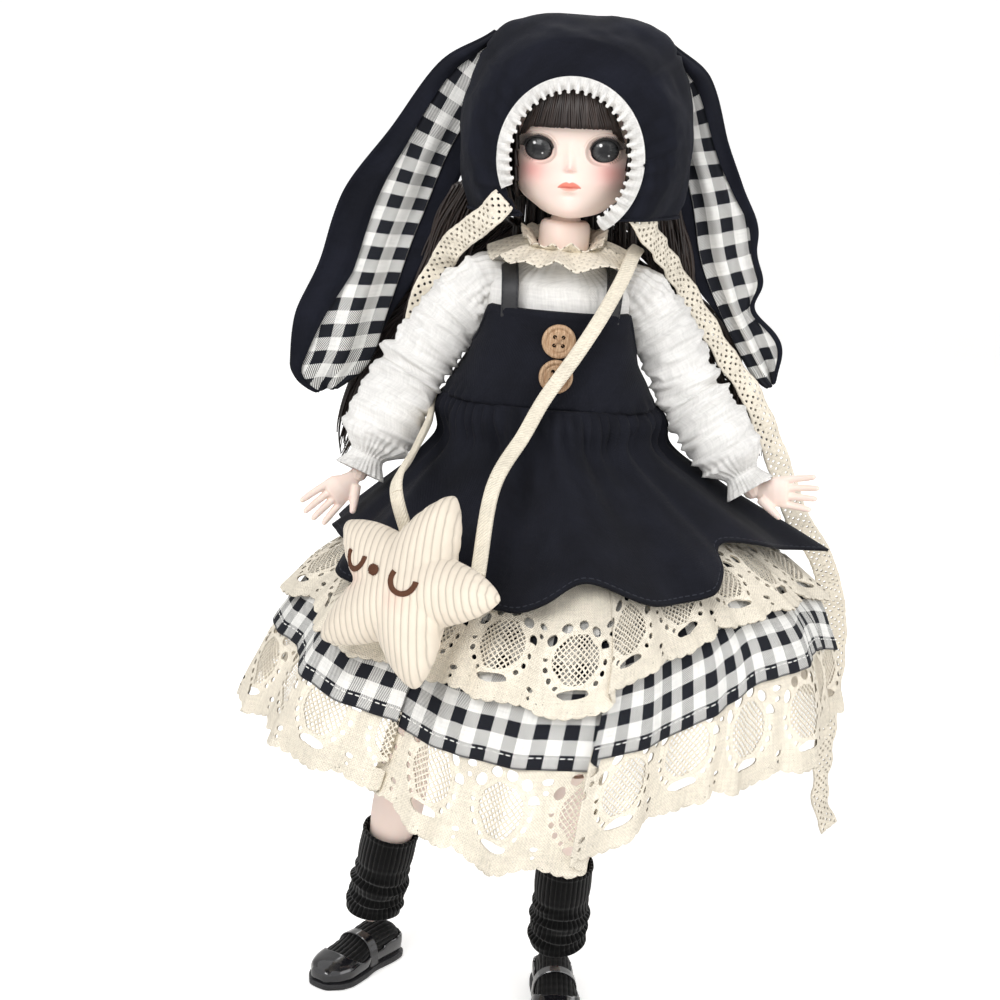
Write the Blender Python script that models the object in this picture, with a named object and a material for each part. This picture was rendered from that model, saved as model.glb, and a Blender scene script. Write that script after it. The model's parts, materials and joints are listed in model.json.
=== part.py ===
# A dressed ball jointed doll, 30 cm tall to the crown, standing on the soles of its shoes.
# Metres, +Z up. The doll faces -Y and its left side is +X. The origin is on the floor under
# the middle of the dressed doll. Each moving piece hangs on an empty that sits on its joint.

import math

import bmesh
import bpy
from mathutils import Matrix, Vector

# Gap between two pieces that touch, running gap of a ball in its seat, and how far a cutter
# runs past what it cuts
CLEARANCE = 0.0003
SEAT_GAP = 0.0005
OVERRUN = 0.004

# Heights and spacings of the moulded body
HIP_HEIGHT = 0.160
HIP_REACH = 0.0155
WAIST_RISE = 0.029
SHOULDER_RISE = 0.0405
SHOULDER_REACH = 0.027
SHOULDER_BACK = 0.002
NECK_RISE = 0.062
ANKLE_HEIGHT = 0.019
UPPER_ARM_LENGTH = 0.0325
FOREARM_LENGTH = 0.033
WAIST_HEIGHT = HIP_HEIGHT + WAIST_RISE
SHOULDER_HEIGHT = WAIST_HEIGHT + SHOULDER_RISE
NECK_HEIGHT = WAIST_HEIGHT + NECK_RISE

# How the doll stands: where each ankle is from its hip, and how far each foot and knee turn out
LEFT_ANKLE_OUT = 0.0025
LEFT_ANKLE_FORWARD = 0.0017
RIGHT_ANKLE_OUT = 0.0275
RIGHT_ANKLE_BACK = 0.0135
LEFT_TURN_DEGREES = 2
RIGHT_TURN_DEGREES = 36
HEAD_TURN_DEGREES = 7
HEAD_LEAN_DEGREES = 2
# Each half of a leg, as a share of the right leg's reach: more than a half, so that the knees are bent
LIMB_SHARE = 0.5025
RIGHT_LEG_REACH = math.hypot(HIP_HEIGHT - ANKLE_HEIGHT, RIGHT_ANKLE_OUT, RIGHT_ANKLE_BACK)
THIGH_LENGTH = RIGHT_LEG_REACH * LIMB_SHARE
SHIN_LENGTH = RIGHT_LEG_REACH * LIMB_SHARE

# Directions of each arm, forearm and hand, to the side, to the front and down
ARM_SHARES = {
    "right": ((0.53, 0.13, 0.84), (0.36, 0.25, 0.90), (0.72, 0.30, 0.62)),
    "left": ((0.54, 0.13, 0.83), (0.56, 0.24, 0.79), (0.93, 0.26, -0.10)),
}

# Joint balls, and the pegs that plug them into the limbs
WAIST_BALL = 0.0100
NECK_BALL = 0.0050
SHOULDER_BALL = 0.0050
ELBOW_BALL = 0.0038
WRIST_BALL = 0.0026
HIP_BALL = 0.0078
KNEE_BALL = 0.0062
ANKLE_BALL = 0.0044
TRUNK_PEG = 0.0026
TRUNK_PEG_LENGTH = 0.0060
ARM_PEG = 0.0015
ARM_PEG_LENGTH = 0.0045
LEG_PEG = 0.0022
LEG_PEG_LENGTH = 0.0060

# Finishes: colour, roughness and metallic value
VINYL = ("vinyl", (0.93, 0.78, 0.70), 0.45, 0.0)
JOINT_PLASTIC = ("joint plastic", (0.88, 0.74, 0.66), 0.40, 0.0)
HAIR_FIBRE = ("hair fibre", (0.035, 0.018, 0.012), 0.45, 0.0)
GLASS_EYE = ("glass eye", (0.16, 0.17, 0.18), 0.08, 0.0)
BLACK_COTTON = ("black cotton", (0.010, 0.011, 0.018), 0.85, 0.0)
GINGHAM = ("gingham", (0.30, 0.30, 0.30), 0.85, 0.0)
CREAM_LACE = ("cream lace", (0.80, 0.70, 0.55), 0.90, 0.0)
WHITE_COTTON = ("white cotton", (0.86, 0.85, 0.83), 0.85, 0.0)
BLACK_LEATHER = ("black leather", (0.012, 0.012, 0.014), 0.45, 0.0)
WOOD = ("wood", (0.52, 0.36, 0.23), 0.55, 0.0)
CORDUROY = ("corduroy", (0.78, 0.69, 0.57), 0.90, 0.0)
WEBBING = ("cotton webbing", (0.80, 0.74, 0.62), 0.90, 0.0)
PATENT = ("patent leather", (0.008, 0.008, 0.010), 0.15, 0.0)
KNIT = ("ribbed knit", (0.012, 0.012, 0.012), 0.95, 0.0)


def material(finish):
    """The material of one finish, made once."""
    name, colour, roughness, metallic = finish
    found = bpy.data.materials.get(name)
    if found:
        return found
    made = bpy.data.materials.new(name)
    made.use_nodes = True
    shader = made.node_tree.nodes["Principled BSDF"]
    shader.inputs["Base Color"].default_value = (*colour, 1)
    shader.inputs["Roughness"].default_value = roughness
    shader.inputs["Metallic"].default_value = metallic
    return made


def joint_frame(name, origin, down, forward):
    """An empty on a joint: its -Z runs down the limb and its -Y faces forward."""
    up = -Vector(down).normalized()
    side = (-Vector(forward)).cross(up).normalized()
    back = up.cross(side)
    frame = bpy.data.objects.new(name, None)
    frame.empty_display_size = WAIST_BALL
    turned_to = Matrix((side, back, up)).transposed().to_4x4()
    frame.matrix_world = Matrix.Translation(origin) @ turned_to
    bpy.context.scene.collection.objects.link(frame)
    return frame


def piece(name, body, frame, finish):
    """One object from a bmesh, hung on its joint's empty."""
    mesh = bpy.data.meshes.new(name)
    body.to_mesh(mesh)
    body.free()
    mesh.shade_smooth()
    mesh.set_sharp_from_angle(angle=math.radians(40))
    made = bpy.data.objects.new(name, mesh)
    made.data.materials.append(material(finish))
    made.parent = frame
    bpy.context.scene.collection.objects.link(made)
    return made


def tool(name, body, frame):
    """A hidden cutter or filler for a Boolean."""
    made = piece(name, body, frame, JOINT_PLASTIC)
    made.hide_render = True
    made.display_type = "WIRE"
    return made


def combine(target, other, operation):
    step = target.modifiers.new(other.name, "BOOLEAN")
    step.operation = operation
    step.object = other


def ring_body(rings, looped=False):
    """A closed body skinned over rings of points, capped at its ends or looped as a tube wall."""
    body = bmesh.new()
    rows = [[body.verts.new(point) for point in ring] for ring in rings]
    follows = rows[1:] + ([rows[0]] if looped else [])
    for low, high in zip(rows, follows):
        for index in range(len(low)):
            body.faces.new((low[index - 1], low[index], high[index], high[index - 1]))
    if not looped:
        body.faces.new(rows[0])
        body.faces.new(rows[-1])
    bmesh.ops.recalc_face_normals(body, faces=body.faces)
    return body


def oval(centre, across, along, sides, power=2):
    """Points round a centre; a power above 2 squares the oval's corners."""
    points = []
    for index in range(sides):
        angle = math.tau * index / sides
        c, s = math.cos(angle), math.sin(angle)
        points.append(
            Vector(centre)
            + Vector(across) * math.copysign(abs(c) ** (2 / power), c)
            + Vector(along) * math.copysign(abs(s) ** (2 / power), s)
        )
    return points


def arc(radius, first, last, steps, centre=0):
    """Profile points (radius, height, shift) on a circle, its angles in degrees from straight up."""
    points = []
    for step in range(steps + 1):
        angle = math.radians(first + (last - first) * step / steps)
        points.append((radius * math.sin(angle), centre + radius * math.cos(angle), 0))
    return points


def turned(profile, sides):
    """A body turned about local Z, where a point's third value shifts its ring to the back."""
    return ring_body(
        [oval((0, shift, height), (radius, 0, 0), (0, radius, 0), sides) for radius, height, shift in profile]
    )


def ball_body(radius, sides, steps, centre=(0, 0, 0), stretch=(1, 1, 1)):
    """A sphere or an ellipsoid, used as a ball or as a cutter."""
    body = turned(arc(radius, 6, 174, steps), sides)
    bmesh.ops.scale(body, vec=stretch, verts=body.verts)
    bmesh.ops.translate(body, vec=centre, verts=body.verts)
    return body


def block_body(low, high):
    """A box between two corners, used to cut."""
    body = bmesh.new()
    bmesh.ops.create_cube(body, size=1)
    low, high = Vector(low), Vector(high)
    bmesh.ops.scale(body, vec=high - low, verts=body.verts)
    bmesh.ops.translate(body, vec=(low + high) / 2, verts=body.verts)
    return body


def pole_body(radius, start, end, sides=12):
    """A round pole between two points, used to cut a bore."""
    start, end = Vector(start), Vector(end)
    aim = (end - start).normalized()
    side = aim.orthogonal().normalized()
    other = aim.cross(side)
    return ring_body([oval(place, side * radius, other * radius, sides) for place in (start, end)])


def sheet_body(grid, wall):
    """A closed sheet of the given wall about a grid of points, as cloth, a strap or a lock of hair."""
    rows, columns = len(grid), len(grid[0])
    body = bmesh.new()
    sides = []
    for sign in (1, -1):
        side = []
        for r in range(rows):
            line = []
            for c in range(columns):
                down = grid[min(r + 1, rows - 1)][c] - grid[max(r - 1, 0)][c]
                across = grid[r][min(c + 1, columns - 1)] - grid[r][max(c - 1, 0)]
                line.append(body.verts.new(grid[r][c] + down.cross(across).normalized() * sign * wall / 2))
            side.append(line)
        sides.append(side)
    for side in sides:
        for r in range(rows - 1):
            for c in range(columns - 1):
                body.faces.new((side[r][c], side[r][c + 1], side[r + 1][c + 1], side[r + 1][c]))
    front, back = sides
    border = [(0, c) for c in range(columns)] + [(r, columns - 1) for r in range(1, rows)]
    border += [(rows - 1, c) for c in range(columns - 2, -1, -1)] + [(r, 0) for r in range(rows - 2, 0, -1)]
    for (r, c), (next_r, next_c) in zip(border, border[1:] + border[:1]):
        body.faces.new((front[r][c], front[next_r][next_c], back[next_r][next_c], back[r][c]))
    bmesh.ops.recalc_face_normals(body, faces=body.faces)
    return body


def smooth_route(points, count):
    """Points read at even steps from a smooth curve through a few chosen ones."""
    points = [Vector(point) for point in points]
    ends = [2 * points[0] - points[1]] + points + [2 * points[-1] - points[-2]]
    fine = []
    for a, b, c, d in zip(ends, ends[1:], ends[2:], ends[3:]):
        for step in range(8):
            t = step / 8
            fine.append(
                (2 * b + (c - a) * t + (2 * a - 5 * b + 4 * c - d) * t**2 + (3 * b - a - 3 * c + d) * t**3) / 2
            )
    fine.append(points[-1])
    lengths = [0]
    for first, second in zip(fine, fine[1:]):
        lengths.append(lengths[-1] + (second - first).length)
    route, index = [], 0
    for step in range(count):
        target = lengths[-1] * step / (count - 1)
        while index < len(fine) - 2 and lengths[index + 1] < target:
            index += 1
        span = lengths[index + 1] - lengths[index]
        route.append(fine[index].lerp(fine[index + 1], (target - lengths[index]) / span))
    return route


def ribbon_grid(route, outward, widths, across_share=(-0.5, 0.5)):
    """A strip along a route, lying flat against what it is on: outward gives its face's direction."""
    grid = []
    for index, point in enumerate(route):
        along = (route[min(index + 1, len(route) - 1)] - route[max(index - 1, 0)]).normalized()
        side = along.cross(outward(point)).normalized()
        width = widths(index / (len(route) - 1))
        grid.append([point + side * width * share for share in across_share])
    return grid


def both_sides():
    """Each side of the doll, with the sign of its X."""
    return (("right", -1), ("left", 1))


# Trunk: pelvis, waist ball, chest and neck ball

TRUNK_SIDES = 14
HIP_WIDTH = 0.0215
HIP_DEPTH = 0.0135
PELVIS_TOP = 0.0035
PELVIS_BOTTOM = 0.0050
CHEST_BOTTOM = 0.0045
CHEST_WIDTH = 0.0195
CHEST_DEPTH = 0.0130
NECK_RADIUS = 0.0056
NECK_SEAT = 0.0025
THIGH_RADIUS = 0.0105
HIP_AXLE = 0.0026
SHOULDER_AXLE = 0.0018
UPPER_ARM_RADIUS = 0.0050
ARM_CUP = 0.0066
# The trunk's outlines: how far up, and the width and depth there, with its shift to the front
PELVIS_SHARES = ((0.0, 0.16, 0.45, 0), (0.10, 0.22, 0.75, 0), (0.22, 0.42, 0.9, 0), (0.40, 0.92, 1.0, 0),
                 (0.62, 1.0, 0.98, 0), (0.82, 0.88, 0.9, 0), (1.0, 0.78, 0.85, 0))
CHEST_SHARES = ((0.0, 0.74, 0.84, 0), (0.16, 0.72, 0.84, 0), (0.34, 0.82, 0.95, 0.02), (0.50, 0.93, 1.05, 0.06),
                (0.63, 1.0, 1.0, 0.04), (0.72, 0.98, 0.86, 0.0), (0.785, 0.77, 0.70, 0.0), (0.845, 0.46, 0.54, 0.0))
NECK_SHARES = (0.92, 1.0)


def trunk_rings(bottom, top, width, depth, shares, grow=0):
    """Ovals from the bottom up, each a share of the way, grown outward by a layer of cloth."""
    rings = []
    for up, wide, deep, front in shares:
        centre = (0, -front * depth, bottom + (top - bottom) * up)
        rings.append(
            oval(centre, (width * wide + grow, 0, 0), (0, depth * deep + grow, 0), TRUNK_SIDES, 2.3)
        )
    return rings


def chest_rings(grow=0):
    bottom, top = WAIST_HEIGHT + CHEST_BOTTOM, NECK_HEIGHT - NECK_SEAT
    rings = trunk_rings(bottom, top, CHEST_WIDTH, CHEST_DEPTH, CHEST_SHARES, grow)
    for share in NECK_SHARES:
        radius = NECK_RADIUS + grow
        height = bottom + (top - bottom) * share
        rings.append(oval((0, 0, height), (radius, 0, 0), (0, radius, 0), TRUNK_SIDES))
    return rings


def peg_ball(radius, peg, peg_length, sides):
    """A ball with the peg that plugs it into the piece above."""
    start = math.degrees(math.asin(peg / radius))
    return turned([(peg, radius + peg_length, 0)] + arc(radius, start, 170, 5), sides)


def axle_ball(radius, axle, axle_length, sign):
    """A ball whose axle runs across into the trunk, towards the doll's middle."""
    start = math.degrees(math.asin(axle / radius))
    body = turned([(axle, radius + axle_length, 0)] + arc(radius, start, 170, 5), 12)
    bmesh.ops.rotate(body, matrix=Matrix.Rotation(-sign * math.pi / 2, 3, "Y"), verts=body.verts)
    return body


def hip_place(sign):
    return Vector((sign * HIP_REACH, 0, HIP_HEIGHT))


def shoulder_place(sign):
    return Vector((sign * SHOULDER_REACH, SHOULDER_BACK, SHOULDER_HEIGHT))


def make_trunk(doll):
    waist = joint_frame("waist", (0, 0, WAIST_HEIGHT), (0, 0, -1), (0, -1, 0))
    waist.parent = doll
    pelvis_bottom = HIP_HEIGHT - PELVIS_BOTTOM
    pelvis_top = WAIST_HEIGHT - PELVIS_TOP
    rings = trunk_rings(pelvis_bottom, pelvis_top, HIP_WIDTH, HIP_DEPTH, PELVIS_SHARES)
    pelvis = piece("pelvis", ring_body(rings), doll, VINYL)
    chest = piece("chest", ring_body(chest_rings()), doll, VINYL)
    waist_seat = tool("waist seat", ball_body(WAIST_BALL + SEAT_GAP, 16, 10, (0, 0, WAIST_HEIGHT)), doll)
    combine(pelvis, waist_seat, "DIFFERENCE")
    combine(chest, waist_seat, "DIFFERENCE")
    bore_top = WAIST_HEIGHT + WAIST_BALL + TRUNK_PEG_LENGTH + CLEARANCE
    bore = pole_body(TRUNK_PEG + CLEARANCE, (0, 0, WAIST_HEIGHT), (0, 0, bore_top))
    combine(chest, tool("waist bore", bore, doll), "DIFFERENCE")
    neck_seat = tool("neck seat", ball_body(NECK_BALL + SEAT_GAP, 12, 7, (0, 0, NECK_HEIGHT)), doll)
    combine(chest, neck_seat, "DIFFERENCE")
    for side, sign in both_sides():
        hip, shoulder = hip_place(sign), shoulder_place(sign)
        hip_room = THIGH_RADIUS + 2 * CLEARANCE
        combine(pelvis, tool(f"{side} hip room", ball_body(hip_room, 14, 7, hip), doll), "DIFFERENCE")
        inward = Vector((-sign * (HIP_REACH - CLEARANCE), 0, 0))
        bore = pole_body(HIP_AXLE + CLEARANCE, hip, hip + inward)
        combine(pelvis, tool(f"{side} hip bore", bore, doll), "DIFFERENCE")
        arm_room = ARM_CUP + 2 * CLEARANCE
        combine(chest, tool(f"{side} shoulder room", ball_body(arm_room, 12, 7, shoulder), doll), "DIFFERENCE")
        inward = Vector((-sign * SHOULDER_REACH * 0.6, 0, 0))
        bore = pole_body(SHOULDER_AXLE + CLEARANCE, shoulder, shoulder + inward)
        combine(chest, tool(f"{side} shoulder bore", bore, doll), "DIFFERENCE")
    waist_ball = peg_ball(WAIST_BALL, TRUNK_PEG, TRUNK_PEG_LENGTH, 16)
    piece("waist_ball", waist_ball, waist, JOINT_PLASTIC)


# Limbs: turned shells with a cup for the ball above and a bore for the peg of the ball below

LIMB_SIDES = 12
CALF_RADIUS = 0.0085
SHIN_END_RADIUS = 0.0058
KNEE_END_RADIUS = 0.0056
FOREARM_RADIUS = 0.0043
WRIST_END_RADIUS = 0.0030
ELBOW_END_RADIUS = 0.0038
# How far down each limb, its radius as a share of its own main one, and its bow to the back
THIGH_SHARES = ((0.058, 0.88, 0), (0.12, 1.0, 0), (0.38, 0.98, -0.03), (0.62, 0.84, -0.03), (0.84, 0.68, 0))
SHIN_SHARES = ((0.13, 0.72, 0), (0.28, 0.95, 0.08), (0.42, 0.98, 0.12), (0.66, 0.74, 0.05))
UPPER_ARM_SHARES = ((0.14, 1.04, 0), (0.32, 1.0, 0), (0.60, 0.92, 0))
FOREARM_SHARES = ((0.18, 0.98, 0), (0.40, 1.0, 0), (0.70, 0.86, 0))


def limb_body(length, radius, shares, cup, low_end):
    """A limb from the ball it cups at its origin to the ball that plugs into its lower end."""
    top_ball, cup_degrees, cup_rim = cup
    low_ball, peg, peg_length, rim_degrees, rim_radius = low_end
    socket = top_ball + SEAT_GAP
    low_socket = low_ball + SEAT_GAP
    bore = peg + CLEARANCE
    profile = arc(socket, 172, cup_degrees, 3)
    profile.append((cup_rim, socket * math.cos(math.radians(cup_degrees)), 0))
    profile += [(radius * wide, -length * down, radius * bow) for down, wide, bow in shares]
    low_rim = low_socket * math.cos(math.radians(rim_degrees)) - length
    profile.append((rim_radius, low_rim, 0))
    profile += arc(low_socket, rim_degrees, math.degrees(math.asin(bore / low_socket)), 2, -length)
    profile.append((bore, low_ball + peg_length + CLEARANCE - length, 0))
    return turned(profile, LIMB_SIDES)


def knee_bend(reach):
    """The thigh's angle off the line from hip to ankle, when the limb spans that reach."""
    return math.acos((THIGH_LENGTH**2 + reach**2 - SHIN_LENGTH**2) / (2 * THIGH_LENGTH * reach))


def leg_frames(side, sign, doll):
    """The joint empties of one leg, with the knee bent just enough for the sole to be on the floor."""
    out, forward, turn = (
        (LEFT_ANKLE_OUT, LEFT_ANKLE_FORWARD, LEFT_TURN_DEGREES)
        if side == "left"
        else (RIGHT_ANKLE_OUT, -RIGHT_ANKLE_BACK, RIGHT_TURN_DEGREES)
    )
    hip = hip_place(sign)
    ankle = Vector((hip.x + sign * out, -forward, ANKLE_HEIGHT))
    facing = Vector((sign * math.sin(math.radians(turn)), -math.cos(math.radians(turn)), 0))
    line = ankle - hip
    hinge = line.cross(facing).normalized()
    bend = knee_bend(line.length)
    thigh_down = Matrix.Rotation(bend, 3, hinge) @ line.normalized()
    knee = hip + thigh_down * THIGH_LENGTH
    shin_down = (ankle - knee).normalized()
    frames = {
        "hip": joint_frame(f"{side} hip", hip, (0, 0, -1), (0, -1, 0)),
        "thigh": joint_frame(f"{side} thigh", hip, thigh_down, facing),
        "knee": joint_frame(f"{side} knee", knee, thigh_down, facing),
        "shin": joint_frame(f"{side} shin", knee, shin_down, facing),
        "ankle": joint_frame(f"{side} ankle", ankle, shin_down, facing),
        "foot": joint_frame(f"{side} foot", ankle, (0, 0, -1), facing),
    }
    for frame in frames.values():
        frame.parent = doll
    return frames


def arm_frames(side, sign, doll):
    """The joint empties of one arm, from the directions that it is held in."""
    upper, fore, hand = (
        Vector((sign * out, -front, -down)).normalized() for out, front, down in ARM_SHARES[side]
    )
    shoulder = shoulder_place(sign)
    elbow = shoulder + upper * UPPER_ARM_LENGTH
    wrist = elbow + fore * FOREARM_LENGTH
    palm = Vector((-sign * 0.35, -1, 0.1))
    frames = {
        "shoulder": joint_frame(f"{side} shoulder", shoulder, (0, 0, -1), (0, -1, 0)),
        "upper": joint_frame(f"{side} upper arm", shoulder, upper, (0, -1, 0)),
        "elbow": joint_frame(f"{side} elbow", elbow, upper, (0, -1, 0)),
        "fore": joint_frame(f"{side} forearm", elbow, fore, (0, -1, 0)),
        "wrist": joint_frame(f"{side} wrist", wrist, fore, (0, -1, 0)),
        "hand": joint_frame(f"{side} hand", wrist, hand, palm),
    }
    for frame in frames.values():
        frame.parent = doll
    return frames


def make_leg(side, sign, frames):
    hip_axle = HIP_REACH - HIP_BALL - 4 * CLEARANCE
    piece(f"hip_joint_{side}", axle_ball(HIP_BALL, HIP_AXLE, hip_axle, sign), frames["hip"], JOINT_PLASTIC)
    thigh = limb_body(
        THIGH_LENGTH, THIGH_RADIUS, THIGH_SHARES,
        (HIP_BALL, 122, THIGH_RADIUS * 0.80),
        (KNEE_BALL, LEG_PEG, LEG_PEG_LENGTH, 42, KNEE_END_RADIUS),
    )
    piece(f"thigh_{side}", thigh, frames["thigh"], VINYL)
    piece(f"knee_joint_{side}", peg_ball(KNEE_BALL, LEG_PEG, LEG_PEG_LENGTH, 12), frames["knee"], JOINT_PLASTIC)
    shin = limb_body(
        SHIN_LENGTH, CALF_RADIUS, SHIN_SHARES,
        (KNEE_BALL, 134, KNEE_END_RADIUS),
        (ANKLE_BALL, LEG_PEG, LEG_PEG_LENGTH, 50, SHIN_END_RADIUS * 0.9),
    )
    piece(f"shin_{side}", shin, frames["shin"], VINYL)
    piece(f"ankle_ball_{side}", peg_ball(ANKLE_BALL, LEG_PEG, LEG_PEG_LENGTH, 10), frames["ankle"], JOINT_PLASTIC)


def make_arm(side, sign, frames):
    axle = SHOULDER_REACH * 0.55 - SHOULDER_BALL
    ball = axle_ball(SHOULDER_BALL, SHOULDER_AXLE, axle, sign)
    piece(f"shoulder_joint_{side}", ball, frames["shoulder"], JOINT_PLASTIC)
    upper = limb_body(
        UPPER_ARM_LENGTH, UPPER_ARM_RADIUS, UPPER_ARM_SHARES,
        (SHOULDER_BALL, 118, ARM_CUP * 0.92),
        (ELBOW_BALL, ARM_PEG, ARM_PEG_LENGTH, 46, ELBOW_END_RADIUS),
    )
    piece(f"upper_arm_{side}", upper, frames["upper"], VINYL)
    piece(f"elbow_joint_{side}", peg_ball(ELBOW_BALL, ARM_PEG, ARM_PEG_LENGTH, 10), frames["elbow"], JOINT_PLASTIC)
    forearm = limb_body(
        FOREARM_LENGTH, FOREARM_RADIUS, FOREARM_SHARES,
        (ELBOW_BALL, 132, ELBOW_END_RADIUS),
        (WRIST_BALL, ARM_PEG * 0.8, ARM_PEG_LENGTH * 0.8, 48, WRIST_END_RADIUS),
    )
    piece(f"forearm_{side}", forearm, frames["fore"], VINYL)
    wrist = peg_ball(WRIST_BALL, ARM_PEG * 0.8, ARM_PEG_LENGTH * 0.8, 10)
    piece(f"wrist_ball_{side}", wrist, frames["wrist"], JOINT_PLASTIC)


# Hands

PALM_LENGTH = 0.0115
PALM_WIDTH = 0.0048
PALM_THICKNESS = 0.0023
FINGER_LENGTH = 0.0105
FINGER_RADIUS = 0.0011
THUMB_LENGTH = 0.0080
# Down the palm: its width and thickness there
PALM_SHARES = ((0.13, 0.55, 0.95), (0.30, 0.66, 1.0), (0.60, 0.95, 1.0), (0.88, 1.0, 0.86), (1.0, 0.92, 0.62))
# Each finger: its place across the palm, its length and its spread
FINGER_SHARES = ((-0.75, 0.78, -0.16), (-0.26, 0.94, -0.04), (0.24, 1.0, 0.04), (0.73, 0.90, 0.14))
# Along a finger: how far, its radius, and its curl towards the palm
KNUCKLE_SHARES = ((0, 1.05, 0), (0.6, 0.92, 0.05), (1.0, 0.55, 0.17))


def finger_body(start, aim, length, radius, palm_side):
    side = aim.cross(palm_side).normalized()
    rings = []
    for along, wide, curl in KNUCKLE_SHARES:
        centre = start + aim * length * along + palm_side * length * curl
        rings.append(oval(centre, side * radius * wide, palm_side * radius * wide, 5))
    return ring_body(rings)


def make_hand(side, sign, frame):
    """The palm hangs down -Z with its thumb to the front of the doll, mirrored from hand to hand."""
    rings = []
    for down, wide, thick in PALM_SHARES:
        rings.append(
            oval((0, 0, -PALM_LENGTH * down), (PALM_WIDTH * wide, 0, 0), (0, PALM_THICKNESS * thick, 0), 10, 2.6)
        )
    hand = piece(f"hand_{side}", ring_body(rings), frame, VINYL)
    palm_side = Vector((0, -1, 0))
    for index, (across, long, spread) in enumerate(FINGER_SHARES):
        start = Vector((sign * PALM_WIDTH * across, 0, -PALM_LENGTH * 0.9))
        aim = Vector((sign * spread, 0, -1)).normalized()
        finger = finger_body(start, aim, FINGER_LENGTH * long, FINGER_RADIUS, palm_side)
        combine(hand, tool(f"{side} finger {index}", finger, frame), "UNION")
    start = Vector((-sign * PALM_WIDTH * 0.5, 0, -PALM_LENGTH * 0.34))
    aim = Vector((-sign * 0.72, -0.25, -0.66)).normalized()
    thumb = finger_body(start, aim, THUMB_LENGTH, FINGER_RADIUS * 1.1, palm_side)
    combine(hand, tool(f"{side} thumb", thumb, frame), "UNION")
    seat = ball_body(WRIST_BALL + SEAT_GAP, 10, 6)
    combine(hand, tool(f"{side} wrist seat", seat, frame), "DIFFERENCE")


# Feet, shoes and socks

FOOT_LENGTH = 0.034
HEEL_BACK = 0.0105
FOOT_WIDTH = 0.0066
FOOT_HEIGHT = 0.0105
SOLE_THICKNESS = 0.0022
SHOE_WALL = 0.0011
SHOE_ROOM = 0.0006
SHOE_RIM = 0.0085
STRAP_WIDTH = 0.0042
SOCK_HEIGHT = 0.0320
SOCK_RADIUS = 0.0093
SOCK_WALL = 0.0010
ANKLE_CUP = 0.0056
# How much a foot ring below its middle is pushed down, which makes the sole flat
SOLE_SQUARE_SHARE = 1.3
# From heel to toe: half width, height of the top, and how far the sole is lifted
FOOT_SHARES = ((0.0, 0.45, 0.50, 0.10), (0.06, 0.72, 0.80, 0.0), (0.20, 0.80, 1.0, 0.0), (0.42, 0.78, 0.92, 0.0),
               (0.62, 0.95, 0.66, 0.0), (0.80, 1.0, 0.50, 0.0), (0.93, 0.78, 0.40, 0.02), (1.0, 0.42, 0.28, 0.08))


def foot_rings(grow, floor):
    """Upright ovals from heel to toe, grown for the shoe round the foot; floor is the lowest height."""
    rings = []
    for along, wide, high, lift in FOOT_SHARES:
        middle = HEEL_BACK - FOOT_LENGTH * along
        reach = grow * (1 - 2 * along)
        top = floor + FOOT_HEIGHT * high + 2 * grow
        low = floor + FOOT_HEIGHT * lift
        centre = (0, middle + reach, (top + low) / 2)
        ring = oval(centre, (FOOT_WIDTH * wide + grow, 0, 0), (0, 0, (top - low) / 2), 12, 2.8)
        for point in ring:
            if point.z < centre[2]:
                point.z = max(low, centre[2] + (point.z - centre[2]) * SOLE_SQUARE_SHARE)
        rings.append(ring)
    return rings


def make_foot(side, frame):
    shoe_floor = -ANKLE_HEIGHT
    cavity_floor = shoe_floor + SOLE_THICKNESS
    foot_floor = cavity_floor + SHOE_ROOM
    foot = piece(f"foot_{side}", ring_body(foot_rings(0, foot_floor)), frame, VINYL)
    cup = turned(
        [(ANKLE_CUP * 0.8, -ANKLE_BALL * 0.35, 0), (ANKLE_CUP, -ANKLE_BALL, 0),
         (ANKLE_CUP * 0.95, foot_floor + FOOT_HEIGHT * 0.4, 0)],
        12,
    )
    combine(foot, tool(f"{side} ankle cup", cup, frame), "UNION")
    seat = ball_body(ANKLE_BALL + SEAT_GAP, 12, 7)
    combine(foot, tool(f"{side} ankle seat", seat, frame), "DIFFERENCE")
    outer = foot_rings(SHOE_ROOM + SHOE_WALL, shoe_floor)
    shoe = piece(f"shoe_{side}", ring_body(outer), frame, PATENT)
    cavity = foot_rings(SHOE_ROOM, cavity_floor)
    combine(shoe, tool(f"{side} shoe room", ring_body(cavity), frame), "DIFFERENCE")
    wide, toe = FOOT_WIDTH + SHOE_ROOM + SHOE_WALL, FOOT_LENGTH - HEEL_BACK
    rim = shoe_floor + SHOE_RIM
    strap_back = -ANKLE_CUP - 2 * CLEARANCE
    strap_front = strap_back - STRAP_WIDTH
    keep = block_body((-2 * wide, -toe - OVERRUN, shoe_floor - OVERRUN), (2 * wide, HEEL_BACK + OVERRUN, rim))
    keep_tool = tool(f"{side} shoe body", keep, frame)
    strap = block_body((-2 * wide, strap_front, rim - SHOE_WALL), (2 * wide, strap_back, OVERRUN))
    combine(keep_tool, tool(f"{side} shoe strap", strap, frame), "UNION")
    combine(shoe, keep_tool, "INTERSECT")


def shell_body(levels, wall, shape):
    """A tube wall through levels: shape(level, grow) gives the ring of one level, grown outward."""
    outer = [shape(level, 0) for level in levels]
    inner = [shape(level, -wall) for level in reversed(levels)]
    return ring_body(outer + inner, looped=True)


# Down a slouched sock from its top: how far, and its radius
SOCK_SHARES = ((0, 0.96), (0.26, 1.0), (0.46, 0.94), (0.64, 1.08), (0.82, 0.94), (1.0, 1.06))


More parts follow.
